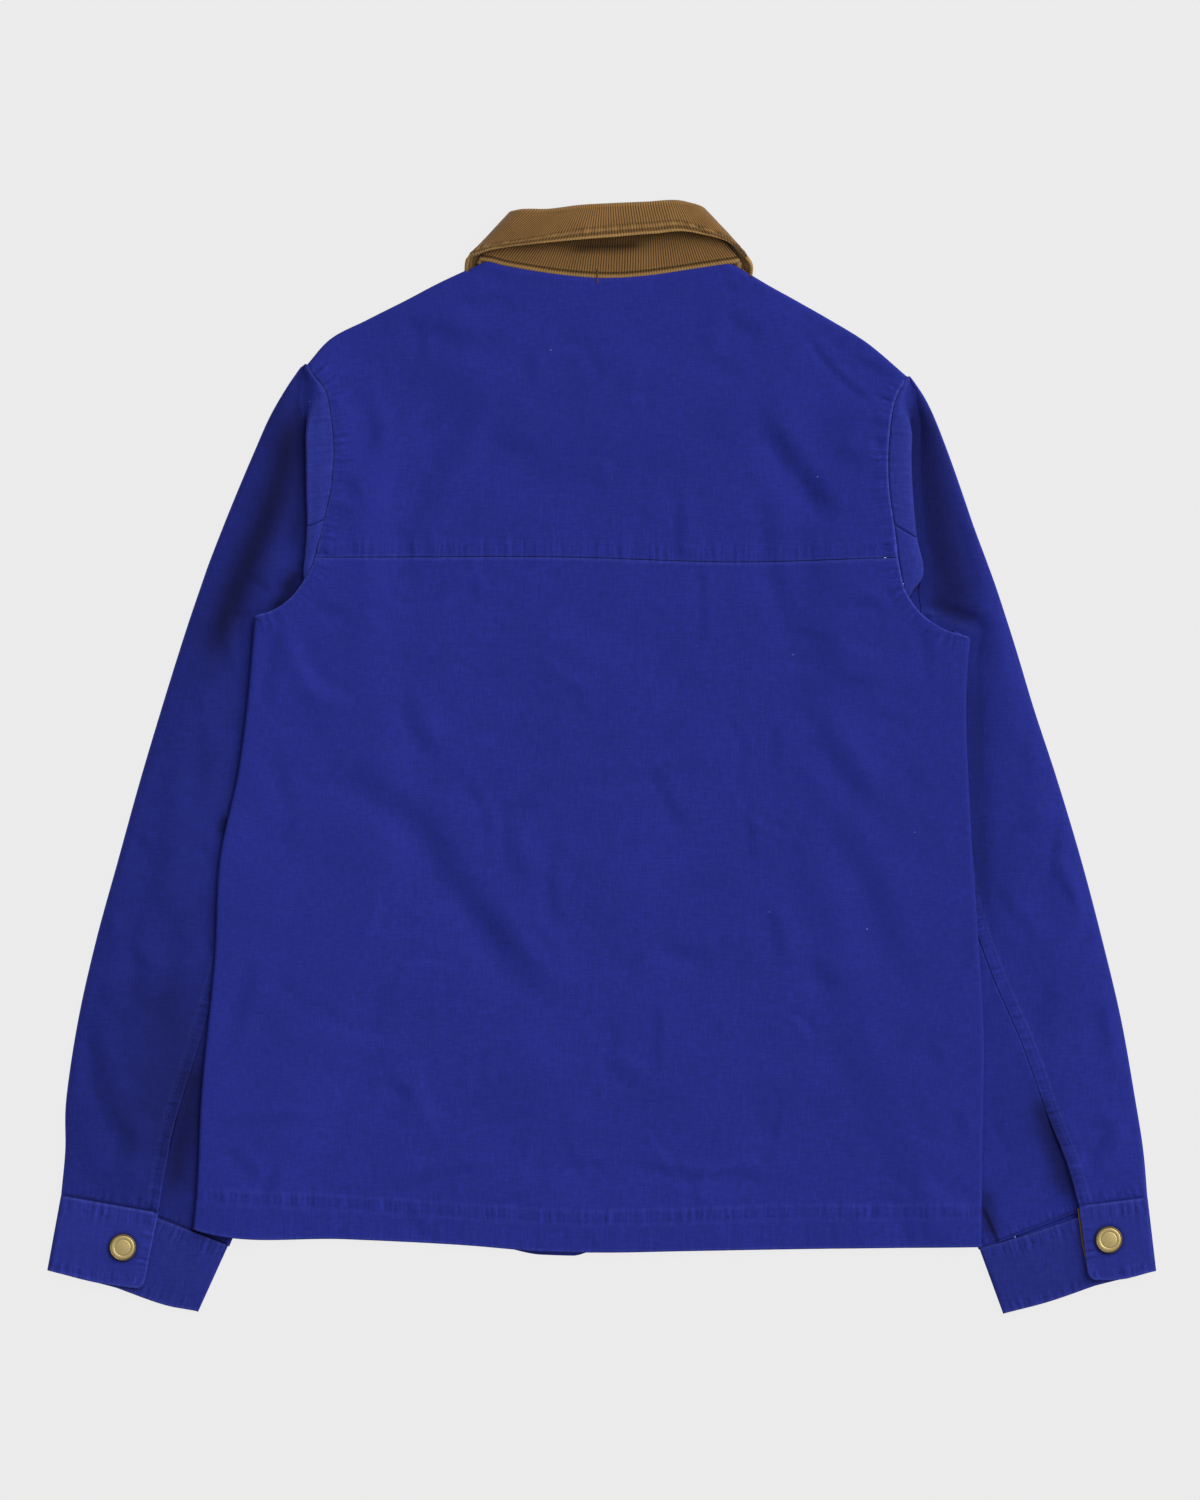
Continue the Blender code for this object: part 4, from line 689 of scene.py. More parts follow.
def length_of(line):
    """Length of a polyline."""
    return float(np.linalg.norm(np.diff(np.asarray(line, dtype=float), axis=0), axis=1).sum())


def shares_of(line):
    """How far along its own length each point of a polyline is, from 0 to 1."""
    steps = np.linalg.norm(np.diff(line, axis=0), axis=1)
    return np.concatenate([[0.0], np.cumsum(steps)]) / steps.sum()


def patch(top, bottom, left, right):
    """Plan grid between four border lines (a Coons patch): rows go down, columns go right."""
    u = shares_of(top)[None, :, None]
    v = shares_of(left)[:, None, None]
    ruled_down = (1 - v) * top[None] + v * bottom[None]
    ruled_across = (1 - u) * left[:, None] + u * right[:, None]
    corners = ((1 - u) * (1 - v) * top[0] + u * (1 - v) * top[-1]
               + (1 - u) * v * bottom[0] + u * v * bottom[-1])
    return ruled_down + ruled_across - corners


def swell(grid, height):
    """Move a sheet's points along its own normals, which point up on its upper side."""
    across = np.gradient(grid, axis=1)
    down = np.gradient(grid, axis=0)
    normal = np.cross(down, across)
    normal /= np.maximum(np.linalg.norm(normal, axis=-1, keepdims=True), 1e-9)
    return grid + normal * height[..., None]


print("points of a turned edge:", TUCK_POINTS)

# %% From a grid to a piece
def placed(name, data):
    """An object for a mesh, a light or a camera, put in the scene."""
    made = bpy.data.objects.new(name, data)
    bpy.context.scene.collection.objects.link(made)
    return made


def smooth_piece(name, points, faces, mat, **paint):
    """A smooth piece from points in millimetres, with numbers painted on them."""
    mesh = bpy.data.meshes.new(name)
    mesh.from_pydata((points * MM).tolist(), [], faces)
    for label, values in paint.items():
        layer = mesh.attributes.new(label, "FLOAT", "POINT")
        layer.data.foreach_set("value", values.astype(np.float32))
    mesh.materials.append(mat)
    mesh.shade_smooth()
    print(name, len(faces), "faces")
    return placed(name, mesh)


def all_cells(grid):
    """One True for each cell of a grid; a cell set to False gets no face."""
    return np.ones((grid.shape[0] - 1, grid.shape[1] - 1), dtype=bool)


def sheet(name, grid, wall, mat, keep=None, **paint):
    """A cloth piece from its middle surface, with a live wall; `keep` says which cells it has."""
    rows, columns = grid.shape[:2]
    keep = all_cells(grid) if keep is None else keep
    used = np.zeros((rows, columns), dtype=bool)
    for down in (0, 1):
        for across in (0, 1):
            used[down:rows - 1 + down, across:columns - 1 + across] |= keep
    number = np.cumsum(used).reshape(used.shape) - 1
    r, c = np.nonzero(keep)
    faces = np.stack([number[r, c], number[r + 1, c], number[r + 1, c + 1], number[r, c + 1]], axis=1)
    painted_here = {label: np.broadcast_to(values, used.shape)[used] for label, values in paint.items()}
    piece = smooth_piece(name, grid[used], faces.tolist(), mat, **painted_here)
    solid = piece.modifiers.new("wall", "SOLIDIFY")
    solid.thickness = wall * MM
    solid.offset = 0.0
    solid.use_quality_normals = True
    return piece


print("cells are about", CELL, "mm wide")

# %% [markdown]
# ## Nodes for the materials
# A material is a tree of nodes, and writing each node out in full hides what the pattern is. These
# few helpers add one node, a noise of a real size, a sum, a mix or a number painted on the mesh. All
# patterns read object coordinates or painted numbers, so nothing depends on the camera.

# %% Node helpers
def linear(code):
    """An sRGB hex code as linear RGB."""
    parts = [int(code[i:i + 2], 16) / 255 for i in (0, 2, 4)]
    return tuple(p / 12.92 if p <= 0.04045 else ((p + 0.055) / 1.055)**2.4 for p in parts)


def add(tree, kind, links=(), **settings):
    """Add a node: settings are its own, and links fill its inputs by name or number."""
    node = tree.nodes.new(kind)
    for key, value in settings.items():
        setattr(node, key, value)
    for socket, value in dict(links).items():
        if isinstance(value, bpy.types.NodeSocket):
            tree.links.new(value, node.inputs[socket])
        else:
            node.inputs[socket].default_value = value
    return node


def noise(tree, size, detail=2.0, seed=0.0):
    """Soft noise from 0 to 1 whose patches are about `size` (x, y, z) millimetres."""
    place = add(tree, "ShaderNodeTexCoord").outputs["Object"]
    scaled = add(tree, "ShaderNodeMapping", {
        "Vector": place, "Location": (seed, seed * 0.7, 0.0), "Scale": tuple(1 / (s * MM) for s in size)})
    return add(tree, "ShaderNodeTexNoise", {
        "Vector": scaled.outputs[0], "Scale": 1.0, "Detail": detail, "Roughness": 0.55}).outputs[0]


def maths(tree, operation, first, second=0.0, third=0.0):
    """One Math node."""
    return add(tree, "ShaderNodeMath", {0: first, 1: second, 2: third}, operation=operation).outputs[0]


def tint(tree, colour, factor, other, blend="MIX"):
    """Mix two colours by a factor."""
    node = add(tree, "ShaderNodeMix", data_type="RGBA", blend_type=blend)
    for socket, value in ((0, factor), (6, colour), (7, other)):
        if isinstance(value, bpy.types.NodeSocket):
            tree.links.new(value, node.inputs[socket])
        else:
            node.inputs[socket].default_value = (*value, 1.0) if isinstance(value, tuple) else value
    return node.outputs[2]


def painted(tree, label):
    """A number painted on the mesh."""
    return add(tree, "ShaderNodeAttribute", attribute_name=label).outputs["Fac"]


def new_material(name, roughness):
    """A material with its node tree and Principled shader."""
    mat = bpy.data.materials.new(name)
    mat.use_nodes = True
    shader = mat.node_tree.nodes["Principled BSDF"]
    shader.inputs["Roughness"].default_value = roughness
    return mat, mat.node_tree, shader


def levelled(tree, colour, level):
    """A colour made lighter or darker by a level."""
    grey = add(tree, "ShaderNodeCombineColor", {0: level, 1: level, 2: level}).outputs[0]
    return tint(tree, colour, 1.0, grey, "MULTIPLY")


def bumped(tree, shader, height, distance, strength):
    """Tilt the shading by a height of which 1 stands for `distance` millimetres."""
    bump = add(tree, "ShaderNodeBump", {"Height": height, "Distance": distance * MM, "Strength": strength})
    tree.links.new(bump.outputs[0], shader.inputs["Normal"])


def finish_cloth(tree, shader, colour, height, distance, strength):
    """Give the shader a colour, darkened by the painted shade, and a bump."""
    open_share = maths(tree, "SUBTRACT", 1.0, painted(tree, "shade"))
    tree.links.new(levelled(tree, colour, open_share), shader.inputs["Base Color"])
    bumped(tree, shader, height, distance, strength)


print("the blue cloth's code 1F277C is linear", [round(part, 3) for part in linear("1F277C")])

# %% [markdown]
# ## Cotton canvas
# Canvas is a plain weave of thick and thin yarns dyed in the piece, so up close it is a mesh of
# slubs and from afar a flat blue with soft mottling, paler where a seam's edge is rubbed and where a
# painted highlight lies on a crest. Two noises stretched along and across make the yarns, and a
# noise read along the painted seam makes the gathers that stitches draw in, painted into the colour
# as light and shade and into the bump, which no image texture could keep in line with the seams.

# %% Canvas
GATHER_PITCH = 2.7      # fine gathers that a row of stitches draws into the cloth, in millimetres


def canvas_material(name, cloth_code, pale_code):
    """Cotton canvas: slubby warp and weft, mottling, fine gathers at seams painted as light and shade,
    edges paler by wear and painted highlight, and a few neps.
    """
    mat, tree, shader = new_material(name, 0.88)
    warp = noise(tree, (0.9, 7.0, 7.0), 1.0, 3.0)       # yarns that run up the jacket, 0.9 mm wide
    weft = noise(tree, (7.0, 0.9, 7.0), 1.0, 8.0)       # and across; both drawn coarser than 0.5 mm yarn
    yarn = maths(tree, "ADD", warp, weft)
    mottle = noise(tree, (4.0, 4.0, 4.0), 2.0, 5.0)
    cloud = noise(tree, (60.0, 60.0, 60.0), 1.0, 9.0)
    level = maths(tree, "MULTIPLY_ADD", yarn, 0.42, 0.58)
    level = maths(tree, "MULTIPLY_ADD", mottle, 0.18, maths(tree, "SUBTRACT", level, 0.09))
    level = maths(tree, "MULTIPLY_ADD", cloud, 0.14, maths(tree, "SUBTRACT", level, 0.07))
    strayed = maths(tree, "MULTIPLY", mottle, 1.4)
    place_on_seam = maths(tree, "MULTIPLY_ADD", painted(tree, "run"), 1 / GATHER_PITCH, strayed)
    tick = add(tree, "ShaderNodeTexNoise", {"W": place_on_seam, "Scale": 1.0, "Detail": 1.5},
               noise_dimensions="1D").outputs[0]
    # The gathers' ticks lighten and darken the colour as painted light and shade of puckers, and tilt the
    # bump.
    gather = maths(tree, "MULTIPLY", maths(tree, "SUBTRACT", tick, 0.5), painted(tree, "pull"))
    level = maths(tree, "MULTIPLY_ADD", gather, 1.1, level)
    # Paler where the painted number gives rubbed wear and painted highlights on crests.
    wear = maths(tree, "MULTIPLY", painted(tree, "wear"), maths(tree, "MULTIPLY_ADD", tick, 1.6, 0.2))
    colour = levelled(tree, tint(tree, linear(cloth_code), wear, linear(pale_code)), level)
    place = add(tree, "ShaderNodeTexCoord").outputs["Object"]
    nep = add(tree, "ShaderNodeTexVoronoi", {"Vector": place, "Scale": 1 / (16 * MM)})
    small = maths(tree, "LESS_THAN", nep.outputs["Distance"], 0.035)
    lot = add(tree, "ShaderNodeSeparateColor", {0: nep.outputs["Color"]}).outputs[0]
    rare = maths(tree, "GREATER_THAN", lot, 0.93)
    fleck = maths(tree, "MULTIPLY", maths(tree, "MULTIPLY", small, rare), 0.45)
    colour = tint(tree, colour, fleck, linear("8C93C4"))
    finish_cloth(tree, shader, colour, maths(tree, "MULTIPLY_ADD", gather, 2.5, yarn), 0.12, 0.6)
    shader.inputs["Sheen Weight"].default_value = 0.03
    shader.inputs["Specular IOR Level"].default_value = 0.12
    return mat


CANVAS_BLUE = canvas_material("cotton canvas, blue", "1F277C", "3A449A")
print("nodes in the canvas", len(CANVAS_BLUE.node_tree.nodes))

# %% [markdown]
# ## Corduroy, brass and thread
# Corduroy has rounded ribs of pile, counted here by a painted rib number so that the ribs follow
# the collar round, with dark channels between them: the bare ground cloth and painted shade. Antique
# brass is a pale rubbed metal, darker in the snap's ditch, with a painted shadow round its rolled
# rim. Thread is dyed to match the cloth it holds.

# %% Corduroy, brass and thread
def corduroy_material(name, rib_code, channel_code, pale_code):
    """Corduroy: rounded ribs of pile counted by the painted wale number, with painted shade in the
    channels, paler at the edge by wear and painted highlight.
    """
    mat, tree, shader = new_material(name, 0.95)
    wobble = maths(tree, "MULTIPLY_ADD", noise(tree, (6.0, 6.0, 6.0), 1.0, 2.0), 0.24, -0.12)
    phase = maths(tree, "FRACT", maths(tree, "ADD", painted(tree, "wale"), wobble))
    side = maths(tree, "ABSOLUTE", maths(tree, "MULTIPLY_ADD", phase, 2.0, -1.0))
    rib = maths(tree, "SUBTRACT", 1.0, maths(tree, "MULTIPLY", side, side))
    pile = noise(tree, (0.5, 0.5, 0.5), 2.0, 4.0)
    patches = noise(tree, (14.0, 14.0, 14.0), 2.0, 6.0)
    on_rib = maths(tree, "MULTIPLY", rib, maths(tree, "MULTIPLY_ADD", pile, 0.5, 0.72))
    # Paler where the painted number gives rubbed wear and painted highlights, more on the pile.
    lightened = maths(tree, "MULTIPLY", painted(tree, "wear"), maths(tree, "MULTIPLY_ADD", pile, 0.7, 0.4))
    # Between the ribs the colour falls to the channel's: bare ground cloth and painted shade.
    colour = tint(tree, linear(channel_code), on_rib, linear(rib_code))
    colour = tint(tree, colour, lightened, linear(pale_code))
    colour = levelled(tree, colour, maths(tree, "MULTIPLY_ADD", patches, 0.3, 0.85))
    finish_cloth(tree, shader, colour, maths(tree, "MULTIPLY_ADD", pile, 0.25, rib), 0.35, 0.7)
    shader.inputs["Sheen Weight"].default_value = 0.25
    shader.inputs["Sheen Roughness"].default_value = 0.4
    shader.inputs["Specular IOR Level"].default_value = 0.1
    return mat


def brass_material(name):
    """Antique brass: a pale rubbed face, turned dark brown by the painted shade: in the snap's ditch, and a
    painted shadow round its rolled rim.
    """
    mat, tree, shader = new_material(name, 0.42)
    grain = noise(tree, (0.35, 0.35, 0.35), 3.0, 1.0)
    colour = tint(tree, linear("B7A069"), maths(tree, "MULTIPLY", grain, 0.5), linear("DCCB95"))
    colour = tint(tree, colour, painted(tree, "shade"), linear("4A3B22"))
    tree.links.new(colour, shader.inputs["Base Color"])
    bumped(tree, shader, grain, 0.05, 0.5)
    shader.inputs["Metallic"].default_value = 0.85
    return mat


def thread_material(name, code):
    """Spun cotton thread."""
    mat, _, shader = new_material(name, 0.8)
    shader.inputs["Base Color"].default_value = (*linear(code), 1.0)
    shader.inputs["Specular IOR Level"].default_value = 0.2
    return mat


CORDUROY_BROWN = corduroy_material("cotton corduroy, brown", "8B673C", "2A190B", "AE8954")
BRASS = brass_material("antique brass")
THREAD_BLUE = thread_material("blue cotton thread", "222A84")
THREAD_BROWN = thread_material("brown cotton thread", "5A3F22")
print("materials", len(bpy.data.materials))

# %% [markdown]
# ## Painted shade, wear and highlight
# In the photograph the cloth lies deepest beside the armhole folds and beside the body's edges,
# where little light gets in, and the valleys are nearly black. Rubbed seam edges are paler.
# This shade is painted, and so is a highlight along the fold at the right armpit; both are painted
# by distance from a few lines, which a table keeps as easily as the creases.

# %% Where the cloth is darker
Shadow = namedtuple("Shadow", "points width share")
SLEEVE_SHADOWS = [
    Shadow([(298, 388), (289, 430), (279, 484), (266, 520), (250, 558), (234, 597), (222, 628),
            (208, 676)], 12, 0.56),
    Shadow([(303, 400), (304, 430), (303, 490), (296, 530), (292, 560)], 6, 0.25),
    Shadow([(298, 566), (292, 580), (282, 601), (268, 612)], 5, 0.50),
    Shadow([(240, 640), (236, 700), (230, 760), (224, 830)], 8, 0.06),
    Shadow([(172, 960), (168, 1080), (140, 1180)], 38, 0.20),
    Shadow([(226, 815), (222, 835)], 4, 0.45),
    Shadow([(914, 380), (926, 450), (938, 520), (952, 590), (968, 640)], 19, 0.60),
    Shadow([(972, 650), (976, 760), (982, 880), (986, 940)], 8, 0.35),
    Shadow([(914, 580), (917, 590)], 3, 0.60),
    Shadow([(926, 598), (950, 610), (978, 621)], 4.5, 0.35),
    Shadow([(198, 1050), (188, 1110), (178, 1160), (172, 1205)], 10, 0.38),
    Shadow([(1034, 1090), (1050, 1135), (1064, 1180), (1072, 1204)], 9, 0.60),
    Shadow([(984, 1185), (988, 1215), (992, 1240)], 6, 0.45),
    Shadow([(981, 1204), (990, 1224), (999, 1245)], 1.3, 0.85),
    Shadow([(186, 1232), (208, 1240), (228, 1252)], 5, 0.45),
]


def shadows(x, y, table):
    """Painted shade from a table of lines, 0 to 1; read from the sleeve's highlight table it is a painted
    highlight.
    """
    open_share = np.ones_like(x)
    for row in table:
        line = along(in_mm(row.points), even(8 * len(row.points)))
        reach, off = beside(x, y, line)
        share = reach / length_of(line)
        fade = 0.25 + 0.75 * smoothstep(share / 0.2) * smoothstep((1 - share) / 0.2)
        open_share *= 1 - row.share * fade * bell(off, row.width)
    return 1 - open_share


# A painted highlight along the fold where the right sleeve turns under at the armpit.
SLEEVE_HIGHLIGHTS = [
    Shadow([(918, 594), (925, 607), (946, 618.5), (974, 629.5)], 2.0, 0.2),
]
print("shadows on the sleeves", len(SLEEVE_SHADOWS))

# %% [markdown]
# ## The yoke and the back panel
# The yoke covers the shoulders and is turned over them to a seam below; the back panel hangs from
# the yoke seam and is turned under at both sides. They are one surface in height, cut by the seam.
# Pressing left a ridge above the hem, and its stitches pull the band between into puckers.

# %% The body's upper side
SHOULDER_CELLS = 56
NECK_CELLS = 84
NECK_EASE = 3           # columns beside the neck where the cloth isn't turned under


def joined(lines, counts):
    """Points on several lines in a row, each with its own number of cells."""
    pieces = [along(line, even(count + 1)) for line, count in zip(lines, counts)]
    return np.concatenate([pieces[0]] + [piece[1:] for piece in pieces[1:]])


def fold_inset(plan):
    """Distance from the outline to the centre of the body's edge fold."""
    x, y = plan[:, 0], plan[:, 1]
    return (BACK_Z + lifts(x, y)[1] - front_z(x, y)) / 2 + CANVAS / 2


def strongest(*bands):
    """The pull and the run of whichever band of gathers (pull, run) is strongest at each point."""
    shape = np.broadcast_shapes(*(np.shape(part) for band in bands for part in band))
    pulls, runs = (np.array([np.broadcast_to(band[i], shape) for band in bands]) for i in (0, 1))
    best = pulls.argmax(axis=0)[None]
    return {"pull": np.take_along_axis(pulls, best, 0)[0], "run": np.take_along_axis(runs, best, 0)[0]}


def body_paint(x, y):
    """Wear and painted highlights, painted shade and gathers of the back's upper side."""
    over_seam = above(x, y, yoke_seam(60, 0.0))
    # A painted highlight on the yoke's folded edge above its seam.
    wear = 0.45 * bell(over_seam - 0.4, 0.7)
    below = -above(x, y, HEM_RIDGE)
    # Painted highlights on the hem's ridge and below its stitching; at the hem's edge wear and painted
    # highlight.
    wear += 0.06 * bell(below - 0.6, 1.3) + 0.05 * bell(below - HEM_STITCH - 2.4, 1.4)
    wear += 0.4 * bell(above(x, y, along(HEM, even(60))) - 0.5, 0.8)
    bands = [(0.8 * bell(over_seam - 5.5, 5.0), x), (0.8 * bell(below - 4.5, 4.5), x + 700.0),
             (0.25 * bell(below - 20.0, 9.0), x + 1400.0)]
    for reach, inward in by_armholes(x, y):
        # A pale line on the armhole seam's edge: wear and painted highlight.
        wear += 0.8 * bell(inward, 0.8)
        bands.append((0.9 * bell(inward - 6.0, 5.0), reach + 2100.0))
    # Painted shade in the step below the yoke seam.
    under_seam = 0.25 * bell(over_seam + 1.0, 0.9)
    return dict(wear=np.clip(wear, 0, 1), shade=under_seam, **strongest(*bands))


print("cells across the back", 2 * SHOULDER_CELLS + NECK_CELLS)

# %% The yoke
def make_yoke(mat):
    """Yoke: from the armholes' tops and the neck down to the yoke seam, turned over the shoulders."""
    counts = (SHOULDER_CELLS, NECK_CELLS, SHOULDER_CELLS)
    outline = joined([SHOULDER_LEFT, NECK_SEAM, SHOULDER_RIGHT], counts)
    left_cells, neck_cells = SHOULDER_CELLS, NECK_CELLS
    outward = np.concatenate([
        normals_of(outline[:left_cells + 1]),
        normals_of(outline[left_cells:left_cells + neck_cells + 1])[1:-1],
        normals_of(outline[left_cells + neck_cells:]),
    ])
    inset = fold_inset(outline)
    inset[left_cells + 1:left_cells + neck_cells] = SEAM_GAP / 2
    inset[left_cells - NECK_EASE + 1:left_cells + 1] *= 0.15
    inset[left_cells + neck_cells:left_cells + neck_cells + NECK_EASE] *= 0.15
    top = outline - outward * inset[:, None]
    stations = YOKE_STATION * steps_along(130.0, 0.0, 15.0)
    armhole_left = armhole_line(CAP_LEFT, stations, 1)
    armhole_right = armhole_line(CAP_RIGHT, stations, -1)
    seam = yoke_seam(len(top), SEAM_GAP / 2)
    armhole_left[0], armhole_right[0] = top[0], top[-1]
    seam[0], seam[-1] = armhole_left[-1], armhole_right[-1]
    grid = raise_plan(patch(top, seam, armhole_left, armhole_right), back_z)
    under = front_z(outline[:, 0], outline[:, 1])
    turned = wrap(grid[0], outward, under, SHOULDER_WRAP)
    grid[..., 2] += body_detail(grid[..., 0], grid[..., 1]) * smoothstep(np.arange(len(grid)) / 6)[:, None]
    full = np.concatenate([turned[::-1], grid])
    keep = all_cells(full)
    keep[:len(turned), left_cells - NECK_EASE:left_cells + neck_cells + NECK_EASE] = False
    return sheet("yoke_cloth", full, CANVAS, mat, keep, **body_paint(full[..., 0], full[..., 1]))


yoke_cloth = make_yoke(CANVAS_BLUE)

# %% The back panel
def body_side(cap, armpit, side, inward):
    """A side border of the back: lower armhole, armpit, then the side down to the hem."""
    upper = armhole_line(cap, np.linspace(YOKE_STATION, 7.0, 9), inward)
    lower = along([upper[-1]] + armpit, even(17))[1:]
    down = along(side, steps_along(410.0, 0.0, 34.0, fine=1.1))
    down[:, 0] += inward * fold_inset(down)
    return np.concatenate([upper, lower, down])


def make_back(mat):
    """Back panel: yoke seam to hem, turned under along both sides to the side seams."""
    columns = 2 * SHOULDER_CELLS + NECK_CELLS + 1
    left = body_side(CAP_LEFT, ARMPIT_LEFT, SIDE_LEFT, 1)
    right = body_side(CAP_RIGHT, ARMPIT_RIGHT, SIDE_RIGHT, -1)
    top = yoke_seam(columns, -SEAM_GAP / 2)
    bottom = along(HEM, even(columns))
    top[0], top[-1], bottom[0], bottom[-1] = left[0], right[0], left[-1], right[-1]
    grid = raise_plan(patch(top, bottom, left, right), back_z)
    first = 9 + 16
    turned = []
    for edge, side in ((0, -1), (-1, 1)):
        line = grid[:, edge]
        outward = normals_of(line[:, :2]) * side
        turned.append(wrap(line, outward, front_z(line[:, 0], line[:, 1]), SIDE_WRAP))
    edge_fade = smoothstep(np.minimum(np.arange(columns), np.arange(columns)[::-1]) / 5)
    rows_down = np.arange(len(grid))
    fade = np.where(rows_down[:, None] < first, 1.0, edge_fade[None])
    grid[..., 2] += body_detail(grid[..., 0], grid[..., 1]) * fade
    steps = len(turned[0])
    full = np.concatenate([turned[0][::-1].swapaxes(0, 1), grid, turned[1].swapaxes(0, 1)], axis=1)
    keep = all_cells(full)
    keep[:first, :steps] = False
    keep[:first, -steps:] = False
    return sheet("back_cloth", full, CANVAS, mat, keep, **body_paint(full[..., 0], full[..., 1]))


back_cloth = make_back(CANVAS_BLUE)

# %% [markdown]
# ## The fronts
# The two fronts lie face down on the table, the left one over the right along the front edge. Only
# a sliver of the left front's placket shows below the hem from above, but the part can be turned
# over, so both have their whole form with soft waves of their own.

# %% The fronts
FRONT_COLUMNS = 30
LAP_COLUMNS = 14
FRONT_STATIONS = np.linspace(0.85, 7.0, 36)


def front_armhole(cap, station):
    """The front armhole in plan; it is cut further in than the back one."""
    side = math.copysign(1.0, cap[0].seam_x)
    place = hermite(pairs(cap, "seam"), np.arange(len(cap)), min(station, CAP_STATIONS))[0]
    return place - [side * FRONT_ARMHOLE_SCOOP * float(smoothstep(station / 1.6)), 0.0]


def front_height(x, y, over):
    """A front's middle surface; `over` lifts it where it laps over the other front."""
    lap = smoothstep((x - (OVERLAP_RIGHT_X - CANVAS - PLACKET_RAMP)) / PLACKET_RAMP)
    return front_z(x, y) + (PLACKET_LIFT * lap if over else 0.0)


def make_front(name, side, mat):
    """A front: shoulder seam, neckline, centre edge, hem, side seam and armhole."""
    over = side < 0
    shoulder = SHOULDER_LEFT if over else SHOULDER_RIGHT[::-1]
    cap = CAP_LEFT if over else CAP_RIGHT
    body_edge = SIDE_LEFT if over else SIDE_RIGHT
    neckline = FRONT_NECKLINE if over else FRONT_NECKLINE[::-1]
    centre = OVERLAP_LEFT_X if over else OVERLAP_RIGHT_X
    inward = -side
    shoulder_line = along(shoulder, even(FRONT_COLUMNS + 1))
    shoulder_line -= normals_of(shoulder_line) * inward * (SHOULDER_WRAP + FOLD_ALLOWANCE + SEAM_GAP)
    edge_x = np.linspace(-33.0, centre, LAP_COLUMNS) if over else np.array([centre])
    edge_y = np.interp(edge_x, [x for x, y in FRONT_NECKLINE], [y for x, y in FRONT_NECKLINE])
    neck = [p for p in neckline if (edge_x[0] - p[0]) * inward > 8] + [(edge_x[0], edge_y[0])]
    neck_line = along(neck, even(FRONT_COLUMNS))
    neck_line = np.concatenate([neck_line[:-1], np.stack([edge_x, edge_y], axis=1)])
    armhole = np.array([front_armhole(cap, step) for step in FRONT_STATIONS])
    armhole[:, 0] += inward * SEAM_GAP
    shoulder_line[0] = armhole[0]
    top = np.concatenate([shoulder_line[:-1], neck_line])
    seam = along(body_edge, even(90))
    seam[:, 0] += inward * (SIDE_WRAP + FOLD_ALLOWANCE + SEAM_GAP)
    outer = np.concatenate([armhole, seam])
    hem_x = np.concatenate([np.linspace(outer[-1, 0], edge_x[0], len(top) + 1 - len(edge_x)), edge_x[1:]])
    hem_line = along(HEM, even(60))
    hem = np.stack([hem_x, np.interp(hem_x, hem_line[:, 0], hem_line[:, 1]) + 1.2], axis=1)
    if over:
        hem[:, 1] -= 3.4 * smoothstep((hem[:, 0] + 70) / 30) * (1 - smoothstep((hem[:, 0] + 18) / 14))
    outer[-1] = hem[0]
    inner_y = top[-1, 1] + (hem[-1, 1] - top[-1, 1]) * shares_of(outer)
    inner = np.stack([np.full(len(outer), centre), inner_y], axis=1)
    grid = raise_plan(patch(top, hem, outer, inner), lambda x, y: front_height(x, y, over))
    waves = unevenness(grid[..., 0], grid[..., 1], 40 + side, height=0.2)
    grid[..., 2] = np.maximum(grid[..., 2] + waves * (grid[..., 2] > FRONT_Z + 0.4), FRONT_Z)
    if not over:
        grid = grid[:, ::-1]
    return sheet(name, grid, CANVAS, mat, wear=0.0, shade=0.0)


front_left_cloth = make_front("front_left_cloth", -1, CANVAS_BLUE)
front_right_cloth = make_front("front_right_cloth", 1, CANVAS_BLUE)

# %% [markdown]
# ## The sleeves
# Each sleeve is an upper and an under piece sewn into a flat tube. At the armhole a strip stands up
# beside the seam, folds over and tucks in below itself, and the tube then comes out from under the
# fold. One row of points is worked out for each station down the arm, so the tube keeps its two
# layers, and creases are added to its upper side alone.

# %% Lines of a sleeve
TOP_CELLS = 46
BOTTOM_CELLS = 20
UNDER_TOP_CELLS = 56
UNDER_END_Z = 2.7       # the under sleeve's top layer at the cuff
ARM_LENGTH = 420.0
CUFF_SEAM = 0.04        # the sleeve's end goes on by this many stations between the cuff's plies
DOWN_ARM = 7.0 + (CUFF_STATION + CUFF_SEAM - 7.0) * steps_along(ARM_LENGTH, 0.0, 12.0, fine=1.1)
SHOULDER_TIPS = {-1: (-194.3, 259.6), 1: (203.3, 251.6)}


def soft(x):
    """smoothstep of one number."""
    return float(smoothstep(x))


def at_cuff(station):
    """0 up the arm and 1 at the cuff, where the tube is pressed to the cuff's plies."""
    return soft((station - 14.6) / 1.4)


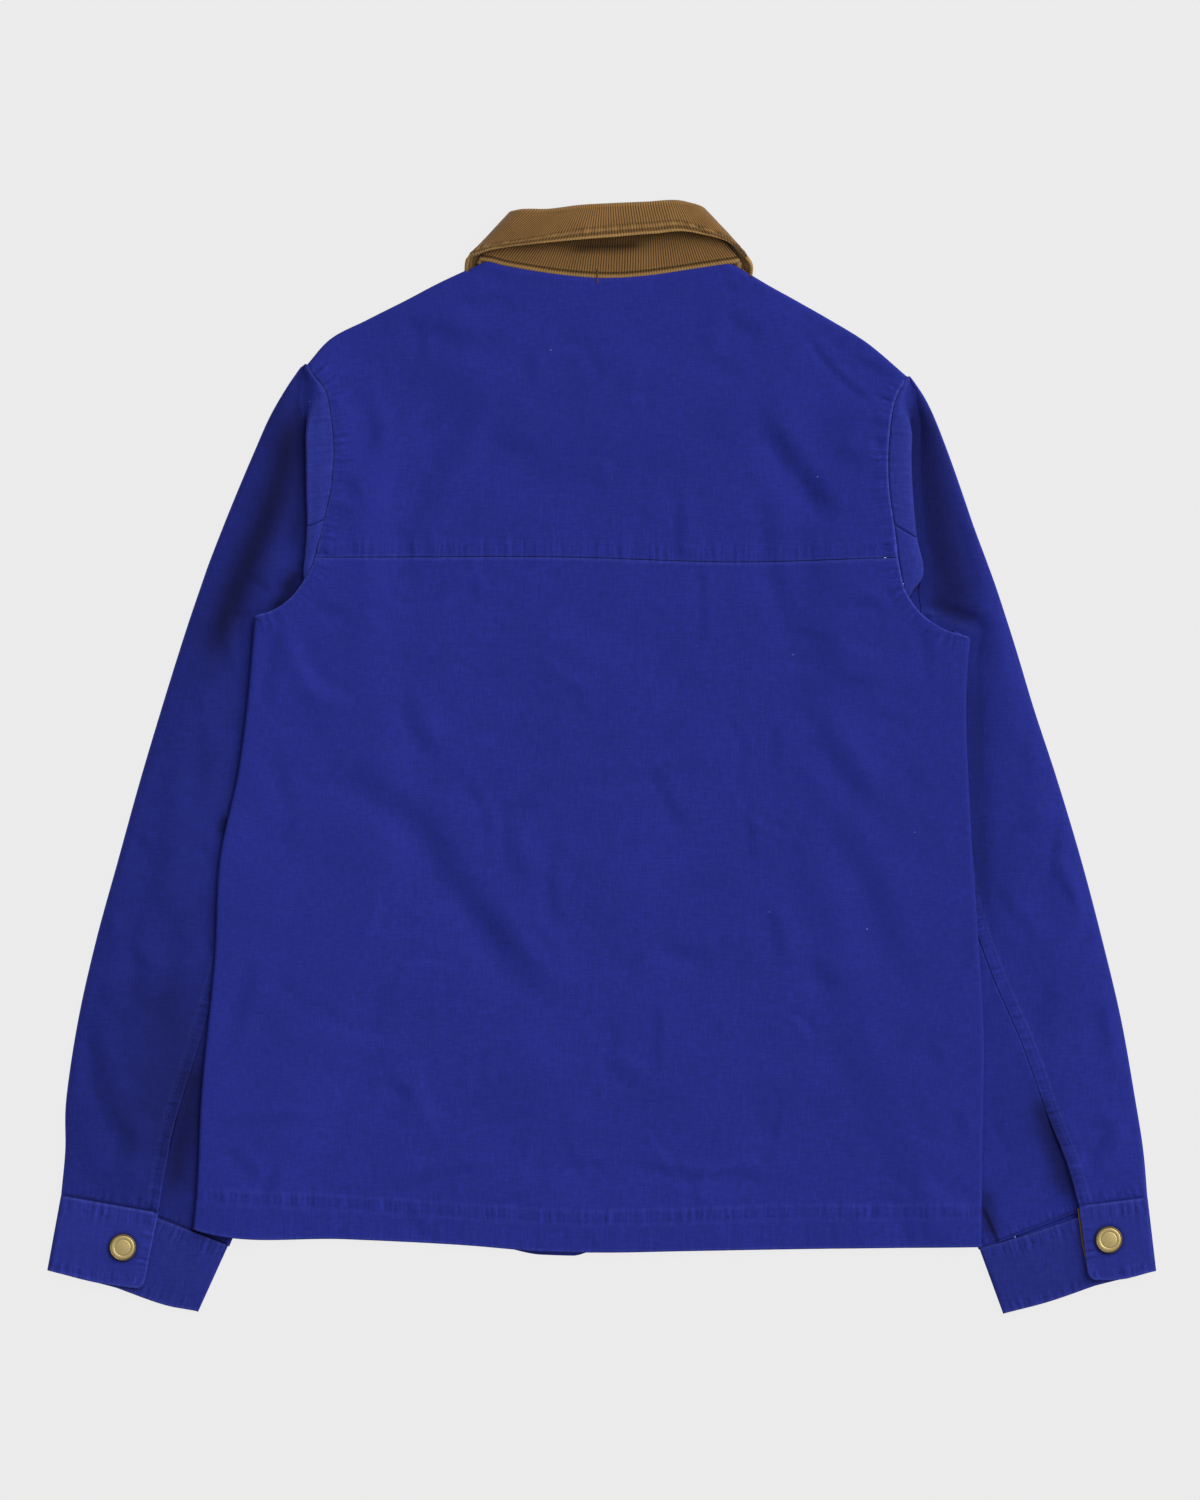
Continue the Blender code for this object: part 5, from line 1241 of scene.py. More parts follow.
class Sleeve:
    """Lines of one sleeve, each read at a station number."""

    def __init__(self, side, cap, arm, lap_z, back_line, sleeve_shade):
        self.side = side
        self.sleeve_shade = sleeve_shade
        self.lap_z = lap_z
        self.cap = cap
        self.cap_knots = np.arange(len(cap))
        self.arm_knots = np.arange(CAP_STATIONS, CAP_STATIONS + 1 + len(arm))
        self.seam = pairs(cap, "seam")
        self.fold = pairs(cap, "fold")
        self.rim = np.concatenate([pairs(cap, "rim"), pairs(arm, "rim")])
        tuck_end = self.fold[-1] - [side * 2.0, 0.0]
        self.back_seam = np.concatenate([[tuck_end], pairs(arm, "seam")])
        deep_end = self.fold[-1] - [side * self.tuck(CAP_STATIONS), 0.0]
        self.inner = np.concatenate([[deep_end], pairs(arm, "inner")])
        self.body_edge = np.asarray(back_line, dtype=float)

    def tuck(self, station):
        """How far the cloth is tucked in below the fold beside the armhole."""
        return 1.4 + 0.6 * np.clip(station, 0, CAP_STATIONS)

    def cap_line(self, values, station):
        """A line of the cap at a station."""
        return hermite(values, self.cap_knots, min(station, CAP_STATIONS))[0]

    def arm_line(self, values, station):
        """A line of the arm at a station."""
        return hermite(values, self.arm_knots, station)[0]

    def rim_at(self, station):
        """Outer rim in plan."""
        return hermite(self.rim, np.arange(len(self.rim)), station)[0]

    def seam_at(self, station):
        """Back seam in plan, below the cap's upper part."""
        if station <= CAP_STATIONS:
            hidden = self.tuck(station) + 2.0
            shown = soft((station - SEAM_AT_ARMHOLE) / 0.5)
            return self.cap_line(self.fold, station) - [self.side * (hidden + (2.0 - hidden) * shown), 0.0]
        return self.arm_line(self.back_seam, station)

    def inner_at(self, station):
        """Inner edge in plan, below the body."""
        if station <= CAP_STATIONS:
            return self.cap_line(self.fold, station) - [self.side * self.tuck(station), 0.0]
        return self.arm_line(self.inner, station)

    def front_at(self, station):
        """Front end of the upper sleeve: the front armhole, then the front seam."""
        inner, rim = self.arm_line(self.inner, max(station, CAP_STATIONS)), self.rim_at(station)
        seam = inner + (rim - inner) * FRONT_SEAM_SHARE
        armhole = front_armhole(self.cap, station)
        share = soft((station - 5.5) / 3.0)
        return armhole * (1 - share) + seam * share

    def edge_reach(self, x, y):
        """Distance of places in plan outward from the body's edge."""
        edge_x = np.interp(-y, -self.body_edge[:, 1], self.body_edge[:, 0])
        return (x - edge_x) * self.side

    def top_z(self, point, station):
        """Upper layer's middle surface at a place in plan."""
        rim = self.rim_at(station)
        reach, width = (self.edge_reach(*place) - CLEAR_OF_EDGE for place in (point, rim))
        share = float(np.clip(reach / max(width, 1.0), 0.0, 1.0))
        foot = TUCK_FOOT_Z + (SLEEVE_TOP_Z - TUCK_FOOT_Z) * soft((station - 6.0) / 1.5)
        puff = SLEEVE_PUFF * math.sin(math.pi * share**1.15)**0.8 * soft(station / 2.0)
        swollen = foot + (SLEEVE_RIM_Z - foot) * share + puff
        return swollen * (1 - at_cuff(station)) + self.lap_z * at_cuff(station)


# The left sleeve gets painted shade over its whole upper side.
left_sleeve = Sleeve(-1, CAP_LEFT, ARM_LEFT, CUFF_LEFT[0].z, EDGE_LEFT, 0.22)
right_sleeve = Sleeve(1, CAP_RIGHT, ARM_RIGHT, CUFF_RIGHT[0].z, EDGE_RIGHT, 0.0)
print("the left back seam meets the cuff at", left_sleeve.seam_at(CUFF_STATION).round(1))

# %% Folds of a sleeve
def rim_radius(sleeve, station):
    """Radius of the fold at the sleeve's outer rim."""
    top = SLEEVE_RIM_Z * (1 - at_cuff(station)) + sleeve.lap_z * at_cuff(station)
    return (top - SLEEVE_BOTTOM_Z) / 2


def half_turn(place, bulge, centre_z, start=90):
    """Points round a fold: `bulge` is its radius, negative where it bulges to the left."""
    for angle in np.linspace(start, -start, ARC_CELLS + 1)[1:]:
        turn = math.radians(angle)
        yield (place[0] + bulge * math.cos(turn), place[1], centre_z + abs(bulge) * math.sin(turn))


def head_smoothness(station):
    """At the sleeve's head the cloth runs down without a fold: 1 there, 0 where the fold has begun."""
    return 1 - soft((station - 1.1) / 1.5)


def tuck_points(sleeve, station):
    """Strip beside the armhole, fold, and the tuck below it, at one station."""
    seam = sleeve.cap_line(sleeve.seam, station)
    fold = sleeve.cap_line(sleeve.fold, station)
    fold = seam + (fold - seam) * (1 - 0.5 * np.clip((station - 6.2) / 0.8, 0, 1)**2)
    side = sleeve.side
    seam = seam + [side * SEAM_GAP / 2, 0.0]
    high = float(back_z(seam[0:1], seam[1:2])[0])
    low = TUCK_FOOT_Z
    middle = (high + low) / 2
    upper, lower = (high - middle) / 2, (middle - low) / 2
    crown = fold - [side * (upper + CANVAS / 2), 0.0]
    inner = crown - [side * sleeve.tuck(station), 0.0]
    points = [(*(seam + (crown - seam) * share), high) for share in even(STRIP_CELLS + 1)]
    points += half_turn(crown, side * upper, high - upper)
    points.append((*inner, middle))
    points += half_turn(inner, -side * lower, middle - lower)
    smooth = head_smoothness(station)
    if smooth == 0:
        return points
    run = min(abs(crown[0] - seam[0]) + 9.0, 0.6 * abs(sleeve.rim_at(station)[0] - seam[0]))
    eased = []
    for share, (x, y, z) in zip(even(len(points)), points):
        slid = (seam[0] + side * run * share, seam[1] + (y - seam[1]) * share,
                high + (low - high) * soft((share - 0.2) / 0.8))
        eased.append(tuple(np.array((x, y, z)) * (1 - smooth) + np.array(slid) * smooth))
    return eased


VENT_OFFSET = 0.95      # the vent's edges part by this much up and down, so that one lies on the other


def vent(station):
    """How far the vent has opened at a station: 0 closed, 1 open."""
    return soft((station - VENT_START) / 0.8)


print("radius of the left sleeve's rim:", round(rim_radius(left_sleeve, 10.0), 2), "mm")

# %% [markdown]
# ## The upper sleeves
# The upper sleeve is the outer half of the tube, from the armhole's strip over the rim to the front
# seam below. Its back edge is felled over the under sleeve, so it gets a doubled, gathered band.

# %% The upper sleeves
def top_creases(x, y):
    """Height of the creases and soft swells on a sleeve's upper side."""
    return relief(x, y, SLEEVE_CREASES) + unevenness(x, y, 7, height=0.35)


def upper_row(sleeve, station):
    """One row of the upper sleeve, from its inner end over the rim to its front end."""
    side = sleeve.side
    folded = station <= SEAM_AT_ARMHOLE
    if folded:
        points = tuck_points(sleeve, station)
        start = np.array(points[-1][:2])
    else:
        start = sleeve.seam_at(station)
        start = start + [side * SEAM_GAP / 2, 0.0]
        edge = (*start, sleeve.top_z(start, station) + VENT_OFFSET * vent(station))
        points = [edge] * TUCK_POINTS
    radius = rim_radius(sleeve, station)
    rim = sleeve.rim_at(station) - [side * (radius + CANVAS / 2), 0.0]
    for share in steps_along(TOP_CELLS, 6.0, 0.0, 1.0, 0.5)[1:]:
        place = start + (rim - start) * share
        z = sleeve.top_z(place, station) if share < 1 else SLEEVE_BOTTOM_Z + 2 * radius
        fade = (1 - share)**3
        z += fade * (points[TUCK_POINTS - 1][2] - z)
        points.append((*place, z))
    points += half_turn(rim, side * radius, SLEEVE_BOTTOM_Z + radius)
    finish = sleeve.front_at(station)
    armhole_z = float(front_z(finish[0:1], finish[1:2])[0])
    climb = (armhole_z - SLEEVE_BOTTOM_Z) * (1 - soft((station - 4.8) / 1.0))
    for share in even(BOTTOM_CELLS + 1)[1:]:
        place = rim + (finish - rim) * share
        points.append((*place, SLEEVE_BOTTOM_Z + climb * soft((share - 0.45) / 0.55)))
    return np.array(points)


print("points in a row of the upper sleeve:", len(upper_row(left_sleeve, 3.0)))

# %% Cutting the upper sleeves
def turned_sheet(flip, name, grid, wall, mat, keep, paint):
    """A sheet whose columns are put in the other order where they'd face down."""
    way = -1 if flip else 1
    keep = None if keep is None else keep[:, ::way]
    paint = {label: values[:, ::way] for label, values in paint.items()}
    return sheet(name, grid[:, ::way], wall, mat, keep, **paint)


def make_upper_sleeve(name, sleeve, mat):
    """Upper sleeve from the top of the armhole to the cuff."""
    stations = np.concatenate([
        np.linspace(0, SEAM_AT_ARMHOLE - HALF_GAP_STATION, 58),
        np.linspace(SEAM_AT_ARMHOLE + 0.03, 7.0, 23), DOWN_ARM[1:]])
    grid = np.array([upper_row(sleeve, station) for station in stations])
    tucked = TUCK_POINTS - 1
    armhole_rows = np.count_nonzero(stations <= SEAM_AT_ARMHOLE) - 1
    x, y = grid[..., 0], grid[..., 1]
    from_seam = np.hypot(x - x[:, tucked:tucked + 1], y - y[:, tucked:tucked + 1])
    rim_column = grid.shape[1] - 1 - BOTTOM_CELLS - ARC_CELLS
    columns = np.arange(grid.shape[1])
    on_top = (columns > tucked) & (columns <= rim_column)
    to_rim = np.hypot(x - x[:, rim_column:rim_column + 1], y - y[:, rim_column:rim_column + 1])
    free = smoothstep(from_seam / 10) * smoothstep(to_rim / 9)
    free = free * smoothstep((CUFF_STATION - stations) / 0.5)[:, None]
    height = top_creases(x, y) * free
    run = np.concatenate([[0.0], np.cumsum(np.linalg.norm(np.diff(grid[:, tucked, :2], axis=0), axis=1))])
    low = (stations > 7.2)[:, None]
    seam = felled(run[:, None], from_seam, SLEEVE_BAND, 51 + int(sleeve.side), 0.3, 0.45)
    height += np.where(low, seam * smoothstep((stations - 7.2) / 0.8)[:, None], 0.0)
    to_cuff = (CUFF_STATION - stations)[:, None] * MM_PER_STATION
    gathers = 0.6 * puckers(from_seam * 1.5, 61) * bell(to_cuff - 2, 9) * smoothstep((to_cuff - 1.5) / 4)
    height += gathers * smoothstep(from_seam / 4) * smoothstep(to_rim / 6)
    height -= 0.55 * (1 - smoothstep(to_cuff / 3.5))
    grid[..., 2] += height * on_top
    strip = (columns <= STRIP_CELLS) & (stations <= SEAM_AT_ARMHOLE)[:, None]
    bulge = 0.5 * np.sin(np.pi * np.clip(columns / STRIP_CELLS, 0, 1)) + 0.5 * unevenness(x, y, 8)
    bulge = bulge * smoothstep(columns / 3) * smoothstep((STRIP_CELLS - columns) / 3)
    grid[..., 2] += np.where(strip, bulge, 0.0)
    lowest = SLEEVE_BOTTOM_Z + CANVAS + 0.1
    grid[..., 2] = np.where(on_top, np.maximum(grid[..., 2], lowest), grid[..., 2])
    folded = np.array([1 - head_smoothness(station) for station in stations])[:, None]
    # A painted highlight on the crest of the fold beside the armhole, and the strip beside the seam painted
    # paler.
    fold_wear = folded * 0.35 * bell(columns - STRIP_CELLS - 2, 2.2)
    wear = np.where(stations[:, None] <= SEAM_AT_ARMHOLE, fold_wear + 0.16 * (columns <= STRIP_CELLS), 0.0)
    # The painted highlight along the right armpit's fold.
    wear = wear + np.where(low & on_top, shadows(x, y, SLEEVE_HIGHLIGHTS), 0.0)
    # Pale lines on the felled seam's edge and beside its topstitching: wear and painted highlight.
    lightened = 0.35 * bell(from_seam - 0.3, 0.7) + 0.2 * bell(from_seam - SLEEVE_BAND - 1.2, 0.9)
    wear = wear + np.where(low & on_top, lightened, 0.0)
    # A painted highlight round the sleeve's rolled outer rim.
    wear = wear + 0.25 * bell(columns - rim_column - ARC_CELLS / 2, 2.0)
    shade = shadows(x, y, SLEEVE_SHADOWS) * smoothstep((columns - STRIP_CELLS) / ARC_CELLS)
    shade = shade * (columns <= rim_column)
    # Painted shade: over the whole of the left sleeve, and a painted shadow along the cuff's edge.
    shade = np.clip(shade + sleeve.sleeve_shade * on_top + 0.45 * bell(to_cuff - 0.6, 0.9) * on_top, 0, 0.9)
    paint = dict(wear=wear, shade=shade, **strongest(
        (0.9 * bell(to_cuff - 5.0, 4.5) * on_top, from_seam),
        (0.8 * bell(from_seam - 3.5, 3.2) * (low & on_top), run[:, None] + 700.0),
        (0.25 * bell(columns, 3.0) * strip, run[:, None] + 1400.0)))
    tip = np.array(SHOULDER_TIPS[int(sleeve.side)])
    below_yoke = np.clip(1 - columns / STRIP_CELLS, 0, 1)
    closing = []
    for share in (0.95, 0.6, 0.3):
        row = grid[0].copy()
        row[:, :2] += (tip - row[:, :2]) * share
        closing.append(row)
    for share, row in zip((1.0, 1.0, 1.0, 1.0, 0.7, 0.3), closing + [grid[0], grid[1], grid[2]]):
        row[:, 0] -= sleeve.side * 1.8 * share * below_yoke
        row[:, 2] -= 1.1 * share * below_yoke
    grid = np.concatenate([closing, grid])
    paint = {label: np.concatenate([np.repeat(values[:1], 3, axis=0), values])
             for label, values in paint.items()}
    keep = all_cells(grid)
    keep[armhole_rows + 3:, :tucked] = False
    return turned_sheet(sleeve.side > 0, name, grid, CANVAS, mat, keep, paint)


upper_left_cloth = make_upper_sleeve("sleeve_upper_left_cloth", left_sleeve, CANVAS_BLUE)
upper_right_cloth = make_upper_sleeve("sleeve_upper_right_cloth", right_sleeve, CANVAS_BLUE)

# %% [markdown]
# ## The under sleeves
# The under sleeve is a narrow piece that closes the tube. It holds the lower end of the armhole's
# strip, and at its other end the vent, where its edge lies free below the upper sleeve's.

# %% The under sleeves
def under_row(sleeve, station):
    """One row of the under sleeve, to the back seam at its end."""
    side = sleeve.side
    seam = sleeve.seam_at(station) - [side * SEAM_GAP / 2, 0.0]
    opened = vent(station)
    lap = VENT_LAP * soft((station - VENT_START - 0.9) / 0.6)
    if station <= CAP_STATIONS:
        points = tuck_points(sleeve, station)
        start = np.array(points[-1][:2])
        start_z = points[-1][2]
    else:
        inner = sleeve.inner_at(station)
        top = SLEEVE_TOP_Z + 0.6 * soft((station - 15.0) / 1.0)
        radius = (top - SLEEVE_BOTTOM_Z) / 2
        start = inner + [side * (radius + CANVAS / 2), 0.0]
        front = sleeve.front_at(station) - [side * SEAM_GAP, 0.0]
        points = []
        for share in even(TUCK_POINTS - ARC_CELLS):
            points.append((*(front + (start - front) * share), SLEEVE_BOTTOM_Z))
        points += half_turn(start, -side * radius, SLEEVE_BOTTOM_Z + radius, start=-90)
        start_z = top
    for share in even(UNDER_TOP_CELLS + 1)[1:]:
        place = start + (seam - start) * share
        z = start_z
        if station > CAP_STATIONS:
            z = max(sleeve.top_z(place, station) - VENT_OFFSET * opened, SLEEVE_TOP_Z)
        z = z * (1 - at_cuff(station)) + UNDER_END_Z * at_cuff(station)
        points.append((*(place + [side * lap * share, 0.0]), z))
    return np.array(points)


print("points in a row of the under sleeve:", len(under_row(left_sleeve, 10.0)))

# %% Cutting the under sleeves
def make_under_sleeve(name, sleeve, mat):
    """Under sleeve: its strip beside the lower armhole, and the tube's inner part below the body."""
    stations = np.concatenate([np.linspace(SEAM_AT_ARMHOLE + HALF_GAP_STATION, 7.0, 25), DOWN_ARM[1:]])
    grid = np.array([under_row(sleeve, station) for station in stations])
    cap_rows = np.count_nonzero(stations <= CAP_STATIONS)
    tucked = TUCK_POINTS - 1
    tip = grid[cap_rows - 1, 0] + [sleeve.side * 1.0, -9.0, -3.0]
    ends = []
    for share, closing in ((0.25, 0.35), (0.5, 0.7), (0.75, 0.95)):
        row = grid[cap_rows - 1] + (grid[cap_rows] - grid[cap_rows - 1]) * share
        row[:tucked] = grid[cap_rows - 1, :tucked] + (tip - grid[cap_rows - 1, :tucked]) * closing
        ends.append(row)
    grid = np.concatenate([grid[:cap_rows], ends, grid[cap_rows:]])
    stations = np.concatenate([stations[:cap_rows], [CAP_STATIONS] * 3, stations[cap_rows:]])
    x, y = grid[..., 0], grid[..., 1]
    columns = np.arange(grid.shape[1])
    on_top = (columns > tucked) & (stations > 8.0)[:, None]
    free = smoothstep((stations - 8.0) / 1.0)[:, None] * smoothstep((columns - tucked) / 5)
    clear = smoothstep((sleeve.edge_reach(x, y) - 1.0) / 6)
    grid[..., 2] += np.where(on_top, top_creases(x, y) * free * clear * 0.5, 0.0)
    strip = (columns <= STRIP_CELLS) & (stations <= CAP_STATIONS)[:, None]
    bulge = 0.7 * np.sin(np.pi * np.clip(columns / STRIP_CELLS, 0, 1))
    bulge = bulge * smoothstep((7.0 - stations) / 0.8)[:, None]
    grid[..., 2] += np.where(strip, bulge, 0.0)
    # A painted highlight on the crest of the fold beside the armhole, and the strip painted paler.
    fold_wear = 0.35 * bell(columns - STRIP_CELLS - 2, 2.2)
    wear = np.where(stations[:, None] <= CAP_STATIONS, fold_wear + 0.16 * (columns <= STRIP_CELLS), 0.0)
    shade = shadows(x, y, SLEEVE_SHADOWS) * (columns > STRIP_CELLS + ARC_CELLS - 1)
    to_cuff = (CUFF_STATION - stations)[:, None] * MM_PER_STATION
    grid[..., 2] -= 0.4 * (1 - smoothstep(to_cuff / 3.5)) * on_top
    # Painted shade: over the whole of the left sleeve, and a painted shadow along the cuff's edge.
    shade = np.clip(shade + sleeve.sleeve_shade * on_top + 0.45 * bell(to_cuff - 0.6, 0.9) * on_top, 0, 0.9)
    keep = all_cells(grid)
    keep[cap_rows + 2, :tucked] = False
    keep[cap_rows - 1:cap_rows + 2, tucked - 1] = False
    keep[0, tucked - 1:] = False
    paint = dict(wear=wear, shade=shade, pull=0.9 * bell(to_cuff - 5.0, 4.5) * on_top,
                 run=np.broadcast_to(1.6 * columns, shade.shape))
    return turned_sheet(sleeve.side > 0, name, grid, CANVAS, mat, keep, paint)


under_left_cloth = make_under_sleeve("sleeve_under_left_cloth", left_sleeve, CANVAS_BLUE)
under_right_cloth = make_under_sleeve("sleeve_under_right_cloth", right_sleeve, CANVAS_BLUE)

# %% [markdown]
# ## The cuffs
# A cuff is a straight band of two plies, looped round the sleeve's end with its open end lapped on
# top and snapped shut. Its long edges are stitched, so both borders pucker, and the plies bulge a
# little between the rows of stitches.

# %% A band looped round
CUFF_CELLS = (48, 80, 40)
CUFF_DEPTH = 51.5
CUFF_ROWS = steps_along(CUFF_DEPTH, 2.0, 2.0, 1.5, 0.7)
WALE = 1.8              # from rib to rib of the corduroy


def cuff_points(table, rows):
    """A cuff's middle surface: its rows go down from the sleeve, its columns round the loop."""
    lap = [0, 1, 2]
    table_side = [3, 4, 5]
    below = [6, 7, 8]
    top = pairs(table, "top")
    end = pairs(table, "end")
    z = column(table, "z")
    ends = np.concatenate([top, end, z[:, None]], axis=1)
    stretches = []
    for numbers, cells in zip((lap, table_side, below), CUFF_CELLS):
        stretches.append(hermite(ends[numbers], np.arange(3), np.linspace(0, 2, cells + 1)))
    line = []
    for number, stretch in enumerate(stretches):
        line.extend(stretch)
        if number < 2:
            line.extend(loop_turn(stretch[-1], stretches[number + 1][0], stretch[-2]))
    line = np.array(line)
    line[:, 4] = np.maximum(line[:, 4], CUFF_WALL / 2)
    grid = []
    for share in rows:
        plan = line[:, 0:2] * (1 - share) + line[:, 2:4] * share
        grid.append(np.concatenate([plan, line[:, 4:5]], axis=1))
    return np.array(grid)


def loop_turn(high, low, before):
    """Points round the fold between two layers of a cuff, at both of its borders."""
    radius = abs(high[4] - low[4]) / 2
    middle = (high[4] + low[4]) / 2
    sign = np.sign(high[4] - low[4])
    out_top = (high[0:2] - before[0:2]) / np.linalg.norm(high[0:2] - before[0:2])
    out_end = (high[2:4] - before[2:4]) / np.linalg.norm(high[2:4] - before[2:4])
    points = []
    for angle in np.linspace(90, -90, ARC_CELLS + 2)[1:-1]:
        out = radius * math.cos(math.radians(angle))
        z = middle + sign * radius * math.sin(math.radians(angle))
        points.append(np.concatenate([high[0:2] + out_top * out, high[2:4] + out_end * out, [z]]))
    return points


def inset_cuff(table):
    """The cuff's table with both turned edges drawn in, so that the wall's outside is the outline."""
    rows = list(table)
    for high, low, before in ((2, 3, 1), (5, 6, 4)):
        radius = abs(rows[high].z - rows[low].z) / 2 + CUFF_WALL / 2
        out = np.array([rows[high].top_x - rows[before].top_x, rows[high].top_y - rows[before].top_y])
        out = out / np.linalg.norm(out) * radius
        for number in (high, low):
            row = rows[number]
            rows[number] = row._replace(top_x=row.top_x - out[0], top_y=row.top_y - out[1],
                                        end_x=row.end_x - out[0], end_y=row.end_y - out[1])
    return rows


def round_lap(grid, rows, table):
    """Round the lap's free corner by drawing in the lower rows of its first columns."""
    length = np.linalg.norm(grid[-1, 0, :2] - grid[0, 0, :2])
    inward = np.array([table[1].end_x - table[0].end_x, table[1].end_y - table[0].end_y])
    inward /= np.linalg.norm(inward)
    for number, share in enumerate(rows):
        left = (1 - share) * length
        if left < CUFF_CORNER:
            drawn = CUFF_CORNER - math.sqrt(max(CUFF_CORNER**2 - (CUFF_CORNER - left)**2, 0.0))
            for near in range(12):
                grid[number, near, :2] += inward * drawn * (1 - near / 12)
    return grid


print("rows down a cuff", len(CUFF_ROWS))

# %% The cuffs
def make_cuff(name, table, mat):
    """A cuff band, looped round with its lap on top."""
    turned = inset_cuff(table)
    grid = cuff_points(turned, CUFF_ROWS)
    depth = CUFF_DEPTH * CUFF_ROWS[:, None]
    around = np.concatenate([[0.0], np.cumsum(np.linalg.norm(np.diff(grid[0], axis=0), axis=1))])[None, :]
    depth = np.broadcast_to(depth, grid.shape[:2])
    left = CUFF_DEPTH - depth
    height = 0.28 * smoothstep((depth - 0.6) / 1.2)
    height += 0.30 * np.sin(np.pi * np.clip((depth - 9) / 34, 0, 1))**2
    height += 0.42 * puckers(around * 1.5, 71) * bell(depth - 6.5, 4.5)
    height += 0.40 * puckers(around * 1.5, 72) * bell(left - 4.0, 3.2)
    for row in (2.6, 8.6):
        height -= 0.22 * bell(left - row, 0.8) + 0.22 * bell(depth - row - 0.6, 0.8)
    height += 0.15 * puckers(depth + around * 0.3, 73) * bell(around - 6, 5)
    lap = np.arange(grid.shape[1])[None, :] <= CUFF_CELLS[0]
    below = np.arange(grid.shape[1])[None, :] >= grid.shape[1] - CUFF_CELLS[2] - 1
    top_side = (lap | below)
    height += 0.25 * unevenness(grid[..., 0], grid[..., 1], 74, 40.0, 9.0, 0.6)
    grid[..., 2] += np.where(lap, height, np.where(below, 0.5 * height, 0.0))
    grid = round_lap(grid, CUFF_ROWS, turned)
    # Wear and painted highlight: paler along the turned edges and the lap's end, less on the stretch along
    # the table, a little all over.
    wear = 0.45 * bell(depth - 0.5, 1.0) + 0.42 * bell(left - 0.3, 1.1) + 0.42 * bell(around, 0.9) * lap
    wear = np.clip(np.where(top_side, wear, 0.3 * wear) + 0.1, 0, 1)
    snap = SNAP_LEFT if table[0].top_x < 0 else SNAP_RIGHT
    from_snap = np.hypot(grid[..., 0] - snap[0], grid[..., 1] - snap[1]) - SNAP_RADIUS
    # Painted shade: a little all over, a line along the top edge, over the band below the lap, and a
    # painted shadow round the snap.
    shade = 0.05 + 0.22 * bell(depth, 0.5) + np.where(below, 0.12, 0.4 * bell(from_snap, 1.6))
    paint = dict(wear=wear, shade=shade, **strongest(
        (1.1 * bell(depth - 6.0, 4.5), around), (1.0 * bell(left - 4.5, 3.5), around + 700.0),
        (1.0 * bell(around - 4.0, 3.0) * lap, depth + 1400.0)))
    return turned_sheet(table[0].top_x < 0, name, grid, CUFF_WALL, mat, None, paint)


cuff_left_cloth = make_cuff("cuff_left_cloth", CUFF_LEFT, CANVAS_BLUE)
cuff_right_cloth = make_cuff("cuff_right_cloth", CUFF_RIGHT, CANVAS_BLUE)

# %% The brown facing
def make_facing(mat):
    """Brown facing below the right cuff's lap; it stands a little proud of the lap's edge."""
    start, middle = CUFF_RIGHT[0], CUFF_RIGHT[1]
    top, end = np.array([start.top_x, start.top_y]), np.array([start.end_x, start.end_y])
    across = np.array([middle.top_x, middle.top_y]) - top
    across /= np.linalg.norm(across)
    reaches = np.linspace(-FACING_PROUD, FACING_REACH, 25)
    grid = []
    for share in np.linspace(0.03, 1.004, 36):
        edge = top + (end - top) * share
        drawn = 5.0 * smoothstep((share - 0.86) / 0.16) + 1.3 * smoothstep((share - 0.45) / 0.4)
        grid.append([(*(edge + across * (reach + drawn)), FACING_Z) for reach in reaches])
    ribs = np.broadcast_to(reaches / WALE, (36, 25))
    return sheet("cuff_facing_cloth", np.array(grid), FACING_WALL, mat, wale=ribs, wear=0.2, shade=0.35)


facing_cloth = make_facing(CORDUROY_BROWN)

# %% [markdown]
# ## The collar
# The stand goes up from the neck seam and the fall rolls over it and comes down outside. Cut from
# corduroy, both show their ribs from the roll to the edge, because the cloth is cut with its ribs
# upright. The fall's free edge is turned and stitched, so it is thicker, ribbed across and worn
# pale, and the cloth between the edge and the topstitching is puckered.

# %% Lines round the neck
COLLAR_COLUMNS = 340
STAND_HEIGHT = 42.0
SEAM_ALLOWANCE = 1.6    # of the stand, turned down below the yoke's edge
LEAF_LENGTH = 20.0
FALL_EDGE = 3.0
FALL_STITCH = 7.3
STAND_SHADOWS = [
    Shadow([(566, 249), (590, 248), (620, 247), (646, 244)], 3.0, 0.75),
    Shadow([(500, 250), (560, 246), (620, 241), (700, 238), (735, 252)], 2.0, 0.3),
]


def collar_lines():
    """The collar's neck, roll and edge lines with the fall's turn and radius, round the ring."""
    values = np.array([list(row) for row in COLLAR], dtype=float)
    steps = np.linalg.norm(np.diff(values[:, 3:6], axis=0), axis=1) + 4.0
    knots = np.concatenate([[0.0], np.cumsum(steps)]) / steps.sum()
    at = np.interp(np.linspace(0, len(knots) - 1, COLLAR_COLUMNS + 1), np.arange(len(knots)), knots)
    return hermite(values, knots, at)


def ribs_along(line):
    """Rib number at each point of a line round the collar."""
    steps = np.linalg.norm(np.diff(line, axis=0), axis=1)
    return np.concatenate([[0.0], np.cumsum(steps)]) / WALE


print("the collar is", round(length_of(collar_lines()[:, 0:3])), "mm long at the neck seam")

